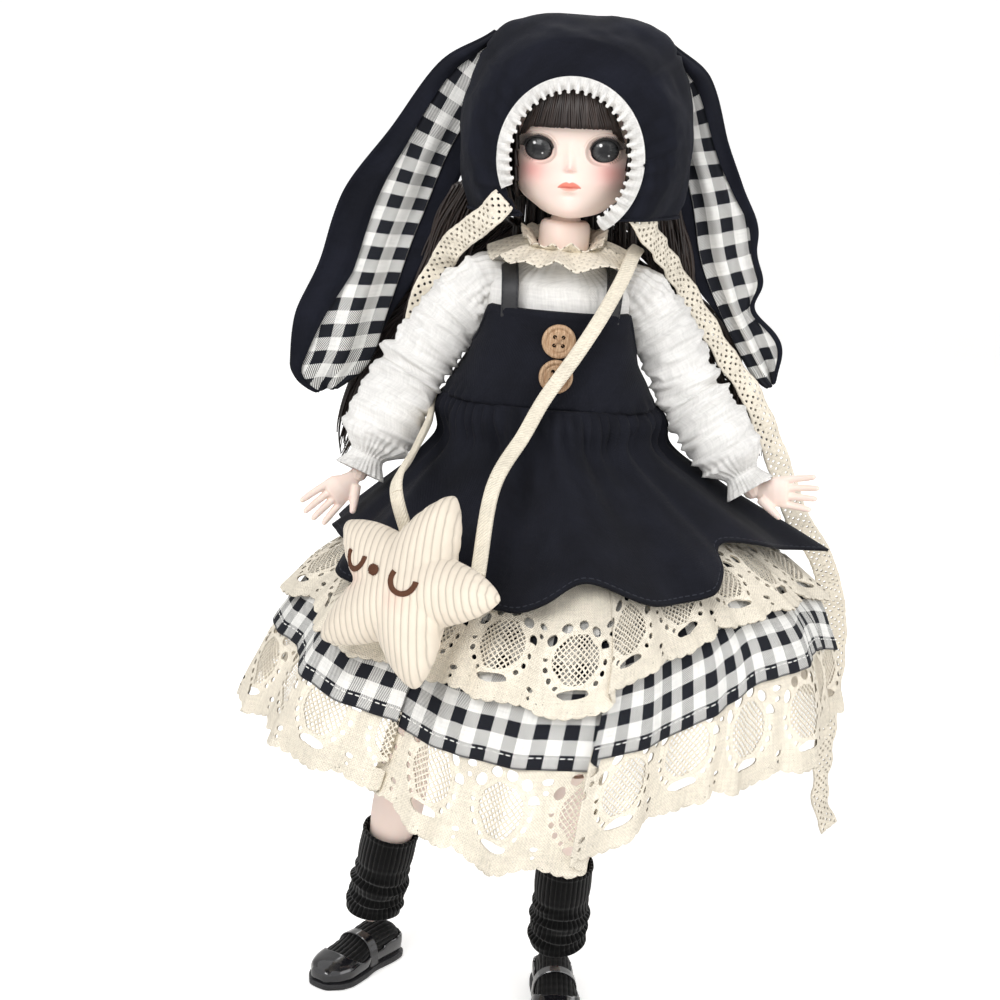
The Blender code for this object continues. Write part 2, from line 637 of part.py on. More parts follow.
def make_sock(side, frame):
    """The leg of the sock, gathered round the lower shin above the shoe."""
    top = -SHIN_LENGTH + SOCK_HEIGHT
    low = -SHIN_LENGTH + ANKLE_BALL * 0.2

    def ring(level, grow):
        down, wide = level
        radius, height = SOCK_RADIUS * wide + grow, top + (low - top) * down
        return oval((0, CALF_RADIUS * 0.05, height), (radius, 0, 0), (0, radius, 0), 12)

    piece(f"sock_{side}", shell_body(SOCK_SHARES, SOCK_WALL, ring), frame, KNIT)


# Head: face shell, cap, eyes and wig

HEAD_CHIN = 0.0030
HEAD_HEIGHT = 0.0460
HEAD_WIDTH = 0.0197
FACE_DEPTH = 0.0182
HEAD_BACK = 0.0205
HEAD_WALL = 0.0030
EYE_RADIUS = 0.0070
EYE_SPACING = 0.0100
EYE_HEIGHT = 0.0232
EYE_DEPTH = 0.0098
EYE_OPENING_WIDTH = 0.0052
EYE_OPENING_HEIGHT = 0.0043
WIG_THICKNESS = 0.0024
FRINGE_HEIGHT = 0.0285
WIG_SIDES = 16
CAP_FRONT = 0.0400
CAP_SLOPE_DEGREES = 32
# Up the head: half width, depth of the face, and depth of the back
HEAD_SHARES = ((0.0, 0.22, 0.62, 0.02), (0.02, 0.40, 0.80, 0.12), (0.07, 0.58, 0.87, 0.34),
               (0.13, 0.76, 0.90, 0.55), (0.19, 0.86, 0.92, 0.70), (0.24, 0.91, 0.93, 0.78),
               (0.29, 0.92, 0.93, 0.84), (0.34, 0.95, 0.93, 0.89), (0.40, 0.97, 0.92, 0.93),
               (0.48, 0.99, 0.93, 0.97), (0.57, 1.0, 0.97, 1.0), (0.66, 0.98, 0.97, 1.0),
               (0.75, 0.91, 0.91, 0.95), (0.84, 0.78, 0.78, 0.83), (0.92, 0.58, 0.58, 0.62),
               (0.975, 0.33, 0.34, 0.36), (1.0, 0.10, 0.10, 0.11))
# Bumps of the face: place across and up, how far it stands out, its half width and half height
FACE_SHARES = ((0, 0.262, 0.085, 0.10, 0.035), (0, 0.315, 0.045, 0.08, 0.06), (0, 0.195, 0.040, 0.16, 0.022),
               (0, 0.155, 0.030, 0.15, 0.020), (0, 0.04, 0.05, 0.28, 0.05), (0.52, 0.22, 0.05, 0.30, 0.09),
               (-0.52, 0.22, 0.05, 0.30, 0.09), (0.5, 0.40, -0.05, 0.24, 0.06), (-0.5, 0.40, -0.05, 0.24, 0.06))
HEAD_SIDES = 26
# How much closer the head's points are in front than behind
FACE_CROWD_SHARE = 0.5


def head_rings():
    """Level rings from the chin to the crown, closer together round the face, which faces -Y."""
    return [head_ring(share, 0, HEAD_SIDES, FACE_SHARES) for share in HEAD_SHARES]


def head_ring(share, grow, sides, bumps):
    up, wide, front, back = share
    height = HEAD_CHIN + HEAD_HEIGHT * up + grow * (2 * up - 1)
    ring = []
    for index in range(sides):
        even = math.tau * index / sides
        angle = even - FACE_CROWD_SHARE * math.sin(even) if bumps else even
        across = math.sin(angle)
        deep = FACE_DEPTH * front if math.cos(angle) > 0 else HEAD_BACK * back
        stand = 0
        for place, level, out, half_wide, half_high in bumps:
            if math.cos(angle) > 0:
                off = ((across * wide - place) / half_wide) ** 2 + ((up - level) / half_high) ** 2
                stand += FACE_DEPTH * out * math.exp(-off)
        ring.append(
            Vector((across * (HEAD_WIDTH * wide + grow), -math.cos(angle) * (deep + grow) - stand, height))
        )
    return ring


def slanted_block(grow):
    """What lies above the slanted joint between the face shell and the cap."""
    size = 2 * HEAD_HEIGHT
    body = block_body((-size, -size, grow), (size, size, size))
    slope = math.radians(-CAP_SLOPE_DEGREES)
    bmesh.ops.rotate(body, matrix=Matrix.Rotation(slope, 3, "X"), verts=body.verts)
    bmesh.ops.translate(body, vec=(0, -FACE_DEPTH, CAP_FRONT), verts=body.verts)
    return body


def make_head(frame):
    head = piece("head", ring_body(head_rings()), frame, VINYL)
    cap = piece("head_cap", ring_body(head_rings()), frame, VINYL)
    middle = (0, HEAD_BACK * 0.1, HEAD_CHIN + HEAD_HEIGHT * 0.56)
    hollow = ball_body(
        HEAD_HEIGHT / 2 - 2 * HEAD_WALL, 12, 7, middle,
        ((HEAD_WIDTH - HEAD_WALL) / (HEAD_HEIGHT / 2 - 2 * HEAD_WALL), (HEAD_WIDTH - HEAD_WALL)
         / (HEAD_HEIGHT / 2 - 2 * HEAD_WALL), 1),
    )
    hollow_tool = tool("head hollow", hollow, frame)
    combine(head, tool("cap joint", slanted_block(0), frame), "DIFFERENCE")
    combine(head, hollow_tool, "DIFFERENCE")
    combine(cap, tool("cap seat", slanted_block(CLEARANCE), frame), "INTERSECT")
    combine(cap, hollow_tool, "DIFFERENCE")
    for side, sign in both_sides():
        centre = Vector((sign * EYE_SPACING, -EYE_DEPTH, EYE_HEIGHT))
        socket = ball_body(EYE_RADIUS + SEAT_GAP, 14, 7, centre)
        combine(head, tool(f"{side} eye socket", socket, frame), "DIFFERENCE")
        opening = ball_body(
            EYE_OPENING_WIDTH, 14, 7, centre + Vector((0, -EYE_RADIUS, 0)),
            (1, EYE_RADIUS / EYE_OPENING_WIDTH, EYE_OPENING_HEIGHT / EYE_OPENING_WIDTH),
        )
        combine(head, tool(f"{side} eye opening", opening, frame), "DIFFERENCE")
        eye = ball_body(EYE_RADIUS, 14, 6)
        bmesh.ops.rotate(eye, matrix=Matrix.Rotation(math.pi / 2, 3, "X"), verts=eye.verts)
        bmesh.ops.translate(eye, vec=centre, verts=eye.verts)
        piece(f"eye_{side}", eye, frame, GLASS_EYE)
    seat = ball_body(NECK_BALL + SEAT_GAP, 12, 7)
    combine(head, tool("head seat", seat, frame), "DIFFERENCE")
    bore = pole_body(TRUNK_PEG + CLEARANCE, (0, 0, 0), (0, 0, NECK_BALL + TRUNK_PEG_LENGTH + CLEARANCE))
    combine(head, tool("head bore", bore, frame), "DIFFERENCE")


def make_wig(frame):
    """The wig's cap, open below, with the face cut out under its fringe."""
    levels = HEAD_SHARES[3:10:2] + HEAD_SHARES[11:15] + HEAD_SHARES[16:]
    outer = [head_ring(level, WIG_THICKNESS, WIG_SIDES, ()) for level in levels]
    inner = [head_ring(level, 3 * CLEARANCE, WIG_SIDES, ()) for level in reversed(levels)]
    wig = piece("wig", ring_body(inner + outer), frame, HAIR_FIBRE)
    half = HEAD_WIDTH * 0.86
    face = block_body((-half, -2 * FACE_DEPTH, -OVERRUN), (half, -FACE_DEPTH * 0.30, FRINGE_HEIGHT))
    combine(wig, tool("face opening", face, frame), "DIFFERENCE")


LOCK_LENGTH = 0.085
LOCK_WIDTH = 0.022
LOCK_THICKNESS = 0.0048
LOCK_START = (0.0118, 0.0120, -0.0025)
# Along a lock: out, back and down, in shares of its length
LOCK_SHARES = {
    "right": ((0, 0, 0), (0.02, 0.095, 0.004), (0.07, 0.165, 0.05), (0.28, 0.17, 0.25), (0.47, 0.165, 0.52),
              (0.53, 0.165, 0.79), (0.55, 0.155, 0.94)),
    "left": ((0, 0, 0), (0.02, 0.095, 0.004), (0.07, 0.165, 0.05), (0.28, 0.17, 0.25), (0.46, 0.165, 0.49),
             (0.58, 0.165, 0.66), (0.66, 0.155, 0.83)),
}
LOCK_FACE = Vector((0, 1, 0.6)).normalized()


def hanging_route(start, sign, length, shares, count):
    """A smooth route of what hangs from the head, from shares of its length."""
    start = Vector((sign * start[0], start[1], start[2]))
    return smooth_route([start + length * Vector((sign * out, back, -down)) for out, back, down in shares], count)


def make_lock(side, sign, frame):
    route = hanging_route(LOCK_START, sign, LOCK_LENGTH, LOCK_SHARES[side], 11)

    def widths(share):
        return LOCK_WIDTH * (0.55 + 0.45 * math.sin(math.pi * share) + 0.08 * math.cos(9 * share))

    grid = ribbon_grid(route, lambda point: LOCK_FACE, widths, (-0.5, 0, 0.5))
    for row in grid:
        row[1] = row[1] + LOCK_FACE * LOCK_THICKNESS * 0.4
    piece(f"hair_{side}", sheet_body(grid, LOCK_THICKNESS), frame, HAIR_FIBRE)


# Bonnet with its ruffle, two long lined ears and two lace ties

BONNET_WALL = 0.0010
BONNET_FRONT = 0.0175
BONNET_BACK = 0.0330
BONNET_WIDTH = 0.0350
BONNET_HEIGHT = 0.0345
BONNET_MIDDLE = 0.0260
OPENING_WIDTH = 0.0208
OPENING_HEIGHT = 0.0226
OPENING_MIDDLE = 0.0205
BONNET_HEM = 0.0035
RUFFLE_DEPTH = 0.0035
RUFFLE_STEP = 0.0010
RUFFLE_WALL = 0.0008
# From front to back: how far the opening's oval has grown to the full one, and the way back
BONNET_SHARES = ((0.0, 0), (0.66, 0.07), (0.86, 0.22), (1.0, 0.42), (0.96, 0.62), (0.78, 0.82), (0.46, 0.95),
                 (0.14, 1.0))


def make_bonnet(frame):
    def ring(level, grow):
        grown, back = level
        if back > BONNET_SHARES[3][1]:
            wide, high, middle = BONNET_WIDTH * grown, BONNET_HEIGHT * grown, BONNET_MIDDLE
        else:
            wide = OPENING_WIDTH + (BONNET_WIDTH - OPENING_WIDTH) * grown
            high = OPENING_HEIGHT + (BONNET_HEIGHT - OPENING_HEIGHT) * grown
            middle = OPENING_MIDDLE + (BONNET_MIDDLE - OPENING_MIDDLE) * grown
        place = -BONNET_FRONT + (BONNET_FRONT + BONNET_BACK) * back + (grow if back == 1 else 0)
        return oval((0, place, middle), (wide + grow, 0, 0), (0, 0, high + grow), 18)

    outer = [ring(level, 0) for level in BONNET_SHARES]
    inner = [ring(level, -BONNET_WALL) for level in reversed(BONNET_SHARES)]
    bonnet = piece("bonnet", ring_body(inner + outer), frame, BLACK_COTTON)
    size = 2 * BONNET_WIDTH
    under = block_body((-size, -BONNET_FRONT - OVERRUN, -size), (size, size, BONNET_HEM))
    combine(bonnet, tool("bonnet hem", under, frame), "DIFFERENCE")


def make_ruffle(frame):
    """A gathered frill round the face opening, its folds turned as it goes round."""
    sides, folds = 48, 12
    rings = []
    for out, inside in ((0, 0), (1, 0), (1, 1), (0, 1)):
        ring = []
        for index in range(sides):
            angle = math.tau * index / sides
            wave = RUFFLE_STEP * out * math.sin(folds * angle)
            grow = wave - RUFFLE_DEPTH * out * 0.35 - RUFFLE_WALL * inside
            depth = -BONNET_FRONT - 2 * CLEARANCE - RUFFLE_DEPTH * out
            ring.append(
                Vector(((OPENING_WIDTH + grow) * math.cos(angle), depth,
                        OPENING_MIDDLE + (OPENING_HEIGHT + grow) * math.sin(angle)))
            )
        rings.append(ring)
    piece("bonnet_ruffle", ring_body(rings, looped=True), frame, WHITE_COTTON)


EAR_LENGTH = 0.120
EAR_REACH = 0.060
EAR_WALL = 0.0016
EAR_FOLD = 0.0020
EAR_START = (0.0206, 0.0040, 0.0582)
EAR_BACK = 0.0155
# Down an ear: its inner edge out and down, its outer edge out and down, and how far back it hangs
EAR_SHARES = {
    "right": ((0, 0.017, 0.07, -0.017, 0.1), (0.25, 0.17, 0.33, 0.10, 0.6), (0.35, 0.325, 0.55, 0.275, 0.85),
              (0.38, 0.475, 0.78, 0.46, 1.0), (0.45, 0.617, 0.87, 0.625, 1.0), (0.52, 0.75, 0.97, 0.78, 1.0),
              (0.58, 0.867, 1.0, 0.90, 1.0), (0.70, 0.95, 0.88, 0.975, 1.0)),
    "left": ((0, 0.017, 0.07, -0.017, 0.1), (0.25, 0.17, 0.32, 0.10, 0.6), (0.29, 0.28, 0.45, 0.26, 0.85),
             (0.32, 0.40, 0.55, 0.37, 1.0), (0.38, 0.55, 0.67, 0.51, 1.0), (0.50, 0.68, 0.68, 0.64, 1.0),
             (0.62, 0.78, 0.78, 0.74, 1.0), (0.77, 0.89, 0.89, 0.865, 1.0)),
}


def make_ear(side, sign, frame, head):
    sewn = head.matrix_world.to_3x3() @ Vector((sign * EAR_START[0], EAR_START[1], EAR_START[2]))
    start = frame.matrix_world.to_3x3().inverted() @ sewn
    grid = []
    for row, (inner_out, inner_down, outer_out, outer_down, back) in enumerate(EAR_SHARES[side]):
        hang = (EAR_BACK - start.y) * back
        inner = start + Vector((sign * EAR_REACH * inner_out, hang, -EAR_LENGTH * inner_down))
        outer = start + Vector((sign * EAR_REACH * outer_out, hang, -EAR_LENGTH * outer_down))
        line = []
        for column in range(6):
            share = column / 5
            fold = EAR_FOLD * math.sin(math.pi * (2.5 * share + 0.1 * row)) * min(1, row / 3)
            line.append(inner.lerp(outer, share) + Vector((0, fold, 0)))
        grid.append(line)
    piece(f"bonnet_ear_{side}", sheet_body(grid, EAR_WALL), frame, BLACK_COTTON)


TIE_LENGTH = 0.200
TIE_WIDTH = 0.0075
TIE_WALL = 0.0009
TIE_START = (0.0237, -0.0125, 0.0015)
# Along a tie: out, back and down, in shares of its length
TIE_SHARES = {
    "right": ((0, 0, 0), (0.045, 0.075, 0.05), (0.065, 0.118, 0.095), (0.085, 0.118, 0.135), (0.095, 0.118, 0.20),
              (0.105, 0.118, 0.30)),
    "left": ((0, 0, 0), (0.05, 0.09, 0.06), (0.085, 0.118, 0.105), (0.155, 0.118, 0.20), (0.20, 0.118, 0.255),
             (0.25, 0.125, 0.35), (0.295, 0.14, 0.445), (0.352, 0.17, 0.525), (0.398, 0.22, 0.65),
             (0.41, 0.24, 0.85), (0.415, 0.25, 0.96), (0.44, 0.26, 1.02)),
}


def make_tie(side, sign, frame):
    route = hanging_route(TIE_START, sign, TIE_LENGTH, TIE_SHARES[side], 22 if side == "left" else 10)
    grid = ribbon_grid(route, lambda point: Vector((0.3 * sign, -1, 0.2)), lambda share: TIE_WIDTH)
    piece(f"bonnet_tie_{side}", sheet_body(grid, TIE_WALL), frame, CREAM_LACE)


# Blouse, collar and sleeves

BLOUSE_WALL = 0.0008
BLOUSE_GAP = 0.0005
BLOUSE_BOTTOM = 0.0075
BLOUSE_TOP = 0.0170
COLLAR_INNER = 0.0075
COLLAR_OUTER = 0.0210
COLLAR_TOP = 0.0060
COLLAR_DROP = 0.0030
COLLAR_WALL = 0.0008
COLLAR_WAVE = 0.0009
SLEEVE_WALL = 0.0006
SLEEVE_RADIUS = 0.0094
CUFF_RADIUS = 0.0052
# Down each half of a sleeve: how far, and its radius
SLEEVE_UPPER_SHARES = ((-0.03, 0.84), (0.20, 0.92), (0.55, 1.0), (0.96, 1.0))
SLEEVE_LOWER_SHARES = ((0.035, 1.0), (0.35, 1.04), (0.62, 1.02), (0.76, 0.88), (0.86, 0.58), (0.98, 0.70))


def make_blouse(doll):
    blouse = piece("blouse", ring_body(chest_rings(BLOUSE_GAP + BLOUSE_WALL)), doll, WHITE_COTTON)
    inside = tool("blouse inside", ring_body(chest_rings(BLOUSE_GAP)), doll)
    combine(blouse, inside, "DIFFERENCE")
    size = 2 * SHOULDER_REACH
    low = WAIST_HEIGHT + BLOUSE_BOTTOM
    high = SHOULDER_HEIGHT + BLOUSE_TOP
    combine(blouse, tool("blouse hem", block_body((-size, -size, 0), (size, size, low)), doll), "DIFFERENCE")
    above = block_body((-size, -size, high), (size, size, high + size))
    combine(blouse, tool("blouse neck", above, doll), "DIFFERENCE")
    for side, sign in both_sides():
        armhole = SLEEVE_RADIUS * SLEEVE_UPPER_SHARES[0][1] + 5 * CLEARANCE
        hole = ball_body(armhole, 12, 5, shoulder_place(sign))
        combine(blouse, tool(f"{side} armhole", hole, doll), "DIFFERENCE")


def make_collar(doll):
    sides, folds = 44, 11
    rings = []
    for share, under in ((0, 0), (1, 0), (1, 1), (0, 1)):
        ring = []
        for index in range(sides):
            angle = math.tau * index / sides
            wave = COLLAR_WAVE * share * math.sin(folds * angle + math.sin(3 * angle))
            radius = COLLAR_INNER + (COLLAR_OUTER - COLLAR_INNER) * share
            height = NECK_HEIGHT - COLLAR_TOP - COLLAR_DROP * share + wave - COLLAR_WALL * under
            ring.append(Vector((radius * math.cos(angle), radius * 0.92 * math.sin(angle), height)))
        rings.append(ring)
    piece("collar", ring_body(rings, looped=True), doll, CREAM_LACE)


def make_sleeves(side, frames):
    def ring(length):
        def of_level(level, grow):
            down, wide = level
            radius = SLEEVE_RADIUS * wide + grow
            return oval((0, 0, -length * down), (radius, 0, 0), (0, radius, 0), 10)

        return of_level

    upper = shell_body(SLEEVE_UPPER_SHARES, SLEEVE_WALL, ring(UPPER_ARM_LENGTH))
    piece(f"sleeve_upper_{side}", upper, frames["upper"], WHITE_COTTON)
    lower = shell_body(SLEEVE_LOWER_SHARES, SLEEVE_WALL, ring(FOREARM_LENGTH))
    piece(f"sleeve_lower_{side}", lower, frames["fore"], WHITE_COTTON)


# Pinafore dress: bib, straps, buttons and overskirt

DRESS_WALL = 0.0010
DRESS_WIDTH = 0.0315
DRESS_FRONT = 0.0215
DRESS_SEAM = 0.0098
BIB_TOP = 0.0375
BIB_BACK_TOP = 0.0260
BIB_TOP_WIDTH = 0.0215
STRAP_SPACING = 0.0150
LEATHER_WIDTH = 0.0052
LEATHER_WALL = 0.0009
BUTTON_RADIUS = 0.0049
BUTTON_THICKNESS = 0.0018
BUTTON_TOP = 0.0300
BUTTON_PITCH = 0.0104
BUTTON_HOLE = 0.00055
# Up the bib from the waist seam: how far, half width, and depth of its front and of its back
BIB_SHARES = ((0, 1.0, 1.0, 0.98), (0.18, 0.92, 0.98, 0.96), (0.42, 0.80, 0.95, 0.92), (0.70, 0.745, 0.93, 0.90),
              (1.0, 0.72, 0.92, 0.88))
BIB_SIDES = 24
# Powers that square the bodice's oval, across and along
BODICE_SQUARE_SHARES = (0.8, 0.66)


def dress_ring(height, wide, front, back, grow):
    """A ring of the bodice, flatter in front than an oval."""
    ring = []
    for index in range(BIB_SIDES):
        angle = math.tau * index / BIB_SIDES
        c, s = math.cos(angle), math.sin(angle)
        across = math.copysign(abs(c) ** BODICE_SQUARE_SHARES[0], c) * (DRESS_WIDTH * wide + grow)
        deep = (back if s > 0 else front) * DRESS_FRONT + grow
        ring.append(Vector((across, math.copysign(abs(s) ** BODICE_SQUARE_SHARES[1], s) * deep, height)))
    return ring


def make_bib(doll):
    """The bodice: a high front panel, cut low under the arms and lower behind."""
    low, high = WAIST_HEIGHT + DRESS_SEAM, WAIST_HEIGHT + BIB_TOP

    def ring(level, grow):
        up, wide, front, back = level
        return dress_ring(low + (high - low) * up, wide, front, back, grow)

    bib = piece("dress_bib", shell_body(BIB_SHARES, DRESS_WALL, ring), doll, BLACK_COTTON)
    size = 2 * DRESS_WIDTH
    back = block_body((-size, -DRESS_FRONT * 0.35, WAIST_HEIGHT + BIB_BACK_TOP), (size, size, high + OVERRUN))
    combine(bib, tool("bib back", back, doll), "DIFFERENCE")
    for side, sign in both_sides():
        hole = ball_body(SLEEVE_RADIUS + 2 * SLEEVE_WALL, 12, 6, shoulder_place(sign), (1, 1.5, 1.6))
        combine(bib, tool(f"{side} bib armhole", hole, doll), "DIFFERENCE")


# Along a strap from the bib over the shoulder to the middle of the back: out, forward and up, where
# forward is a share of the bodice's own depth there
STRAP_SHARES = ((1.0, 1.0, 0.80), (1.0, 1.0, 0.98), (1.03, 0.84, 1.22), (1.04, 0.064, 1.325), (0.95, -0.82, 1.20),
                (0.6, -1.07, 0.88), (0.22, -1.0, 0.68), (0.10, -1.0, 0.60))


def bodice_depth(height, across, in_front):
    """How far the bodice's face is from the doll's middle, at a height and a place across it."""
    low, high = WAIST_HEIGHT + DRESS_SEAM, WAIST_HEIGHT + BIB_TOP
    up = min(1, max(0, (height - low) / (high - low)))
    for first, second in zip(BIB_SHARES, BIB_SHARES[1:]):
        if up <= second[0]:
            break
    step = (up - first[0]) / (second[0] - first[0])
    _, wide, front, back = (a + (b - a) * step for a, b in zip(first, second))
    c = (across / (DRESS_WIDTH * wide)) ** (1 / BODICE_SQUARE_SHARES[0])
    return (front if in_front else back) * DRESS_FRONT * math.sqrt(1 - c * c) ** BODICE_SQUARE_SHARES[1]


def make_straps(doll):
    centre = Vector((0, 0, SHOULDER_HEIGHT - UPPER_ARM_RADIUS))
    halves = []
    for side, sign in both_sides():
        route = []
        for out, front, up in STRAP_SHARES:
            across, height = STRAP_SPACING * out, WAIST_HEIGHT + BIB_TOP * up
            stand = bodice_depth(height, across, front > 0) + LEATHER_WALL / 2 + 3 * CLEARANCE
            route.append(Vector((sign * across, -front * stand, height)))
        route = smooth_route(route, 17)
        grid = ribbon_grid(
            route, lambda point: Vector((point.x / 2, point.y, point.z - centre.z)), lambda share: LEATHER_WIDTH
        )
        body = sheet_body(grid, LEATHER_WALL)
        if side == "right":
            halves.append(piece("shoulder_straps", body, doll, BLACK_LEATHER))
        else:
            halves.append(tool("left strap", body, doll))
    combine(halves[0], halves[1], "UNION")


def button_body():
    """A turned wooden button with a raised rim round a dished middle, its face to -Y."""
    radius, thick = BUTTON_RADIUS, BUTTON_THICKNESS
    profile = [
        (radius * 0.2, 0, 0), (radius * 0.86, 0, 0), (radius, thick * 0.35, 0), (radius * 0.97, thick * 0.85, 0),
        (radius * 0.84, thick, 0), (radius * 0.68, thick * 0.72, 0), (radius * 0.2, thick * 0.66, 0),
    ]
    body = turned(profile, 14)
    bmesh.ops.rotate(body, matrix=Matrix.Rotation(math.pi / 2, 3, "X"), verts=body.verts)
    return body


def make_buttons(doll):
    for index, name in enumerate(("button_upper", "button_lower")):
        height = WAIST_HEIGHT + BUTTON_TOP - BUTTON_PITCH * index
        front = -DRESS_FRONT * (0.945 + 0.02 * index) - CLEARANCE
        button = piece(name, button_body(), doll, WOOD)
        button.location = (0, front, height)
        for across in (-1, 1):
            for up in (-1, 1):
                place = Vector((across * BUTTON_RADIUS * 0.26, front, height + up * BUTTON_RADIUS * 0.26))
                reach = Vector((0, BUTTON_THICKNESS * 2, 0))
                hole = pole_body(BUTTON_HOLE, place - reach, place + reach, 5)
                combine(button, tool(f"{name} hole {across} {up}", hole, doll), "DIFFERENCE")


SKIRT_SIDES = 36
SKIRT_WALL = 0.0010
UNDER_DROP = 0.006
UNDER_LENGTH = 0.096
UNDER_WIDTH = 0.0915
UNDER_DEPTH = 0.084
SKIRT_SHIFT = 0.0105
LACE_REACH = 0.056
LACE_STAND = 0.0036
OVER_LENGTH = 0.046
OVER_WIDTH = 0.0765
OVER_DEPTH = 0.0670
OVER_SHIFT = 0.0125
FOLD_DEPTH = 0.0046
UNDER_TOP = WAIST_HEIGHT - UNDER_DROP
# Down the underskirt: how far, its width and depth, its shift to the side, and how deep it folds
UNDER_SHARES = ((0.0, 0.215, 0.190, 0.0, 0.0), (0.12, 0.40, 0.38, 0.3, 0.30), (0.31, 0.68, 0.66, 1.0, 0.75),
                (0.48, 0.86, 0.84, 0.9, 1.0), (0.72, 0.96, 0.95, 0.6, 1.2), (1.0, 1.0, 1.0, 0.25, 1.35))
OVER_SHARES = ((0.0, 0.410, 0.330, 0.0, 0.0), (0.22, 0.430, 0.41, 0.1, 0.4), (0.50, 0.60, 0.575, 0.40, 0.8),
               (0.76, 0.81, 0.80, 0.75, 1.15), (1.0, 1.0, 1.0, 1.0, 1.9))


def fold(angle):
    """How far the cloth stands out round the skirts: one deep pleat in front and uneven soft folds."""
    return (
        0.55 * math.cos(8 * angle + 0.9 * math.sin(2 * angle))
        + 0.35 * math.cos(5 * angle + 1.1)
        + 0.25 * math.cos(13 * angle + 0.4)
    )


def skirt_ring(height, centre_x, wide, deep, folds):
    ring = []
    for index in range(SKIRT_SIDES):
        angle = math.tau * index / SKIRT_SIDES
        stand = folds * fold(angle)
        ring.append(
            Vector((centre_x + (wide + stand) * math.cos(angle), (deep + stand) * math.sin(angle), height))
        )
    return ring


def under_at(down, grow):
    """The underskirt's ring at a share of the way down, grown for what lies on it."""
    for first, second in zip(UNDER_SHARES, UNDER_SHARES[1:]):
        if down <= second[0]:
            break
    step = (down - first[0]) / (second[0] - first[0])
    wide, deep, shift, folds = (a + (b - a) * step for a, b in zip(first[1:], second[1:]))
    height = UNDER_TOP - UNDER_LENGTH * down
    return skirt_ring(
        height, SKIRT_SHIFT * shift, UNDER_WIDTH * wide + grow, UNDER_DEPTH * deep + grow, FOLD_DEPTH * folds
    )


def make_skirts(doll):
    underskirt = shell_body(UNDER_SHARES, SKIRT_WALL, lambda level, grow: under_at(level[0], grow))
    piece("underskirt", underskirt, doll, GINGHAM)
    top, hem = UNDER_SHARES[1][0], LACE_REACH / UNDER_LENGTH
    levels = [top, UNDER_SHARES[2][0], UNDER_SHARES[3][0], hem]

    def lace_ring(level, grow):
        stand = LACE_STAND * (level - top) / (hem - top)
        return under_at(level, SKIRT_WALL + 2 * CLEARANCE + stand + grow)

    piece("lace_tier", shell_body(levels, SKIRT_WALL * 0.9, lace_ring), doll, CREAM_LACE)
    over_top = WAIST_HEIGHT + DRESS_SEAM - CLEARANCE

    def over_ring(level, grow):
        down, wide, deep, shift, folds = level
        height = over_top - OVER_LENGTH * down
        return skirt_ring(
            height, OVER_SHIFT * shift, OVER_WIDTH * wide + grow, OVER_DEPTH * deep + grow, FOLD_DEPTH * folds
        )

    piece("overskirt", shell_body(OVER_SHARES, DRESS_WALL, over_ring), doll, BLACK_COTTON)


# Star bag and its strap

STAR_RADIUS = 0.0290
STAR_THICKNESS = 0.0100
STAR_OUT = 0.0385
STAR_FRONT = 0.0690
STAR_DROP = 0.0345
STAR_PLACE = (-STAR_OUT, -STAR_FRONT, WAIST_HEIGHT - STAR_DROP)
STAR_TILT_DEGREES = 26
STAR_TURN_DEGREES = 30
STAR_SPIN_DEGREES = 12
STAR_POINTS = 30
# Where round the star the strap's ends are sewn, in shares of a turn from its top point
SEAM_SHARES = (0.86, 0.11)
STRAP_BAND = 0.0040
STRAP_BAND_WALL = 0.0012
# Across the padded star: share of its outline, and how far it is puffed there
PUFF_SHARES = ((1.0, 0.0), (0.93, 0.42), (0.62, 0.88), (0.22, 1.0))
# The strap's way over the skirt and bib to the left shoulder, down the back and round to the right: each
# place in shares of the dress's width, of its depth and of the height from the waist to the shoulder
STRAP_BAND_SHARES = (
    (-0.524, 2.372, -0.210), (-0.270, 1.721, 0.111), (-0.095, 1.326, 0.346), (0.143, 1.228, 0.642), (0.349, 1.140, 0.926),
    (0.533, 0.860, 1.198), (0.651, 0.326, 1.363), (0.714, -0.349, 1.363), (0.492, -0.921, 1.099), (0.127, -1.163, 0.716),
    (-0.381, -1.186, 0.395), (-0.857, -1.0, 0.198), (-1.105, -0.186, 0.111), (-1.149, 0.558, 0.037),
    (-1.270, 1.581, -0.099), (-1.390, 2.400, -0.25),
)


def star_outline(angle):
    """Radius of a soft five pointed star, as a share of its points' reach."""
    point = abs((angle / (math.tau / 5)) % 1 - 0.5) * 2
    return 0.56 + 0.44 * point**1.25


def star_turn():
    turn = Matrix.Rotation(math.radians(-STAR_TURN_DEGREES), 3, "Z")
    return turn @ Matrix.Rotation(math.radians(-STAR_TILT_DEGREES), 3, "X")


def star_point(angle, radius, back):
    """A point of the tilted star, from its middle."""
    lean = angle + math.pi / 2 - math.radians(STAR_SPIN_DEGREES)
    return star_turn() @ Vector((radius * math.cos(lean), back, radius * math.sin(lean)))


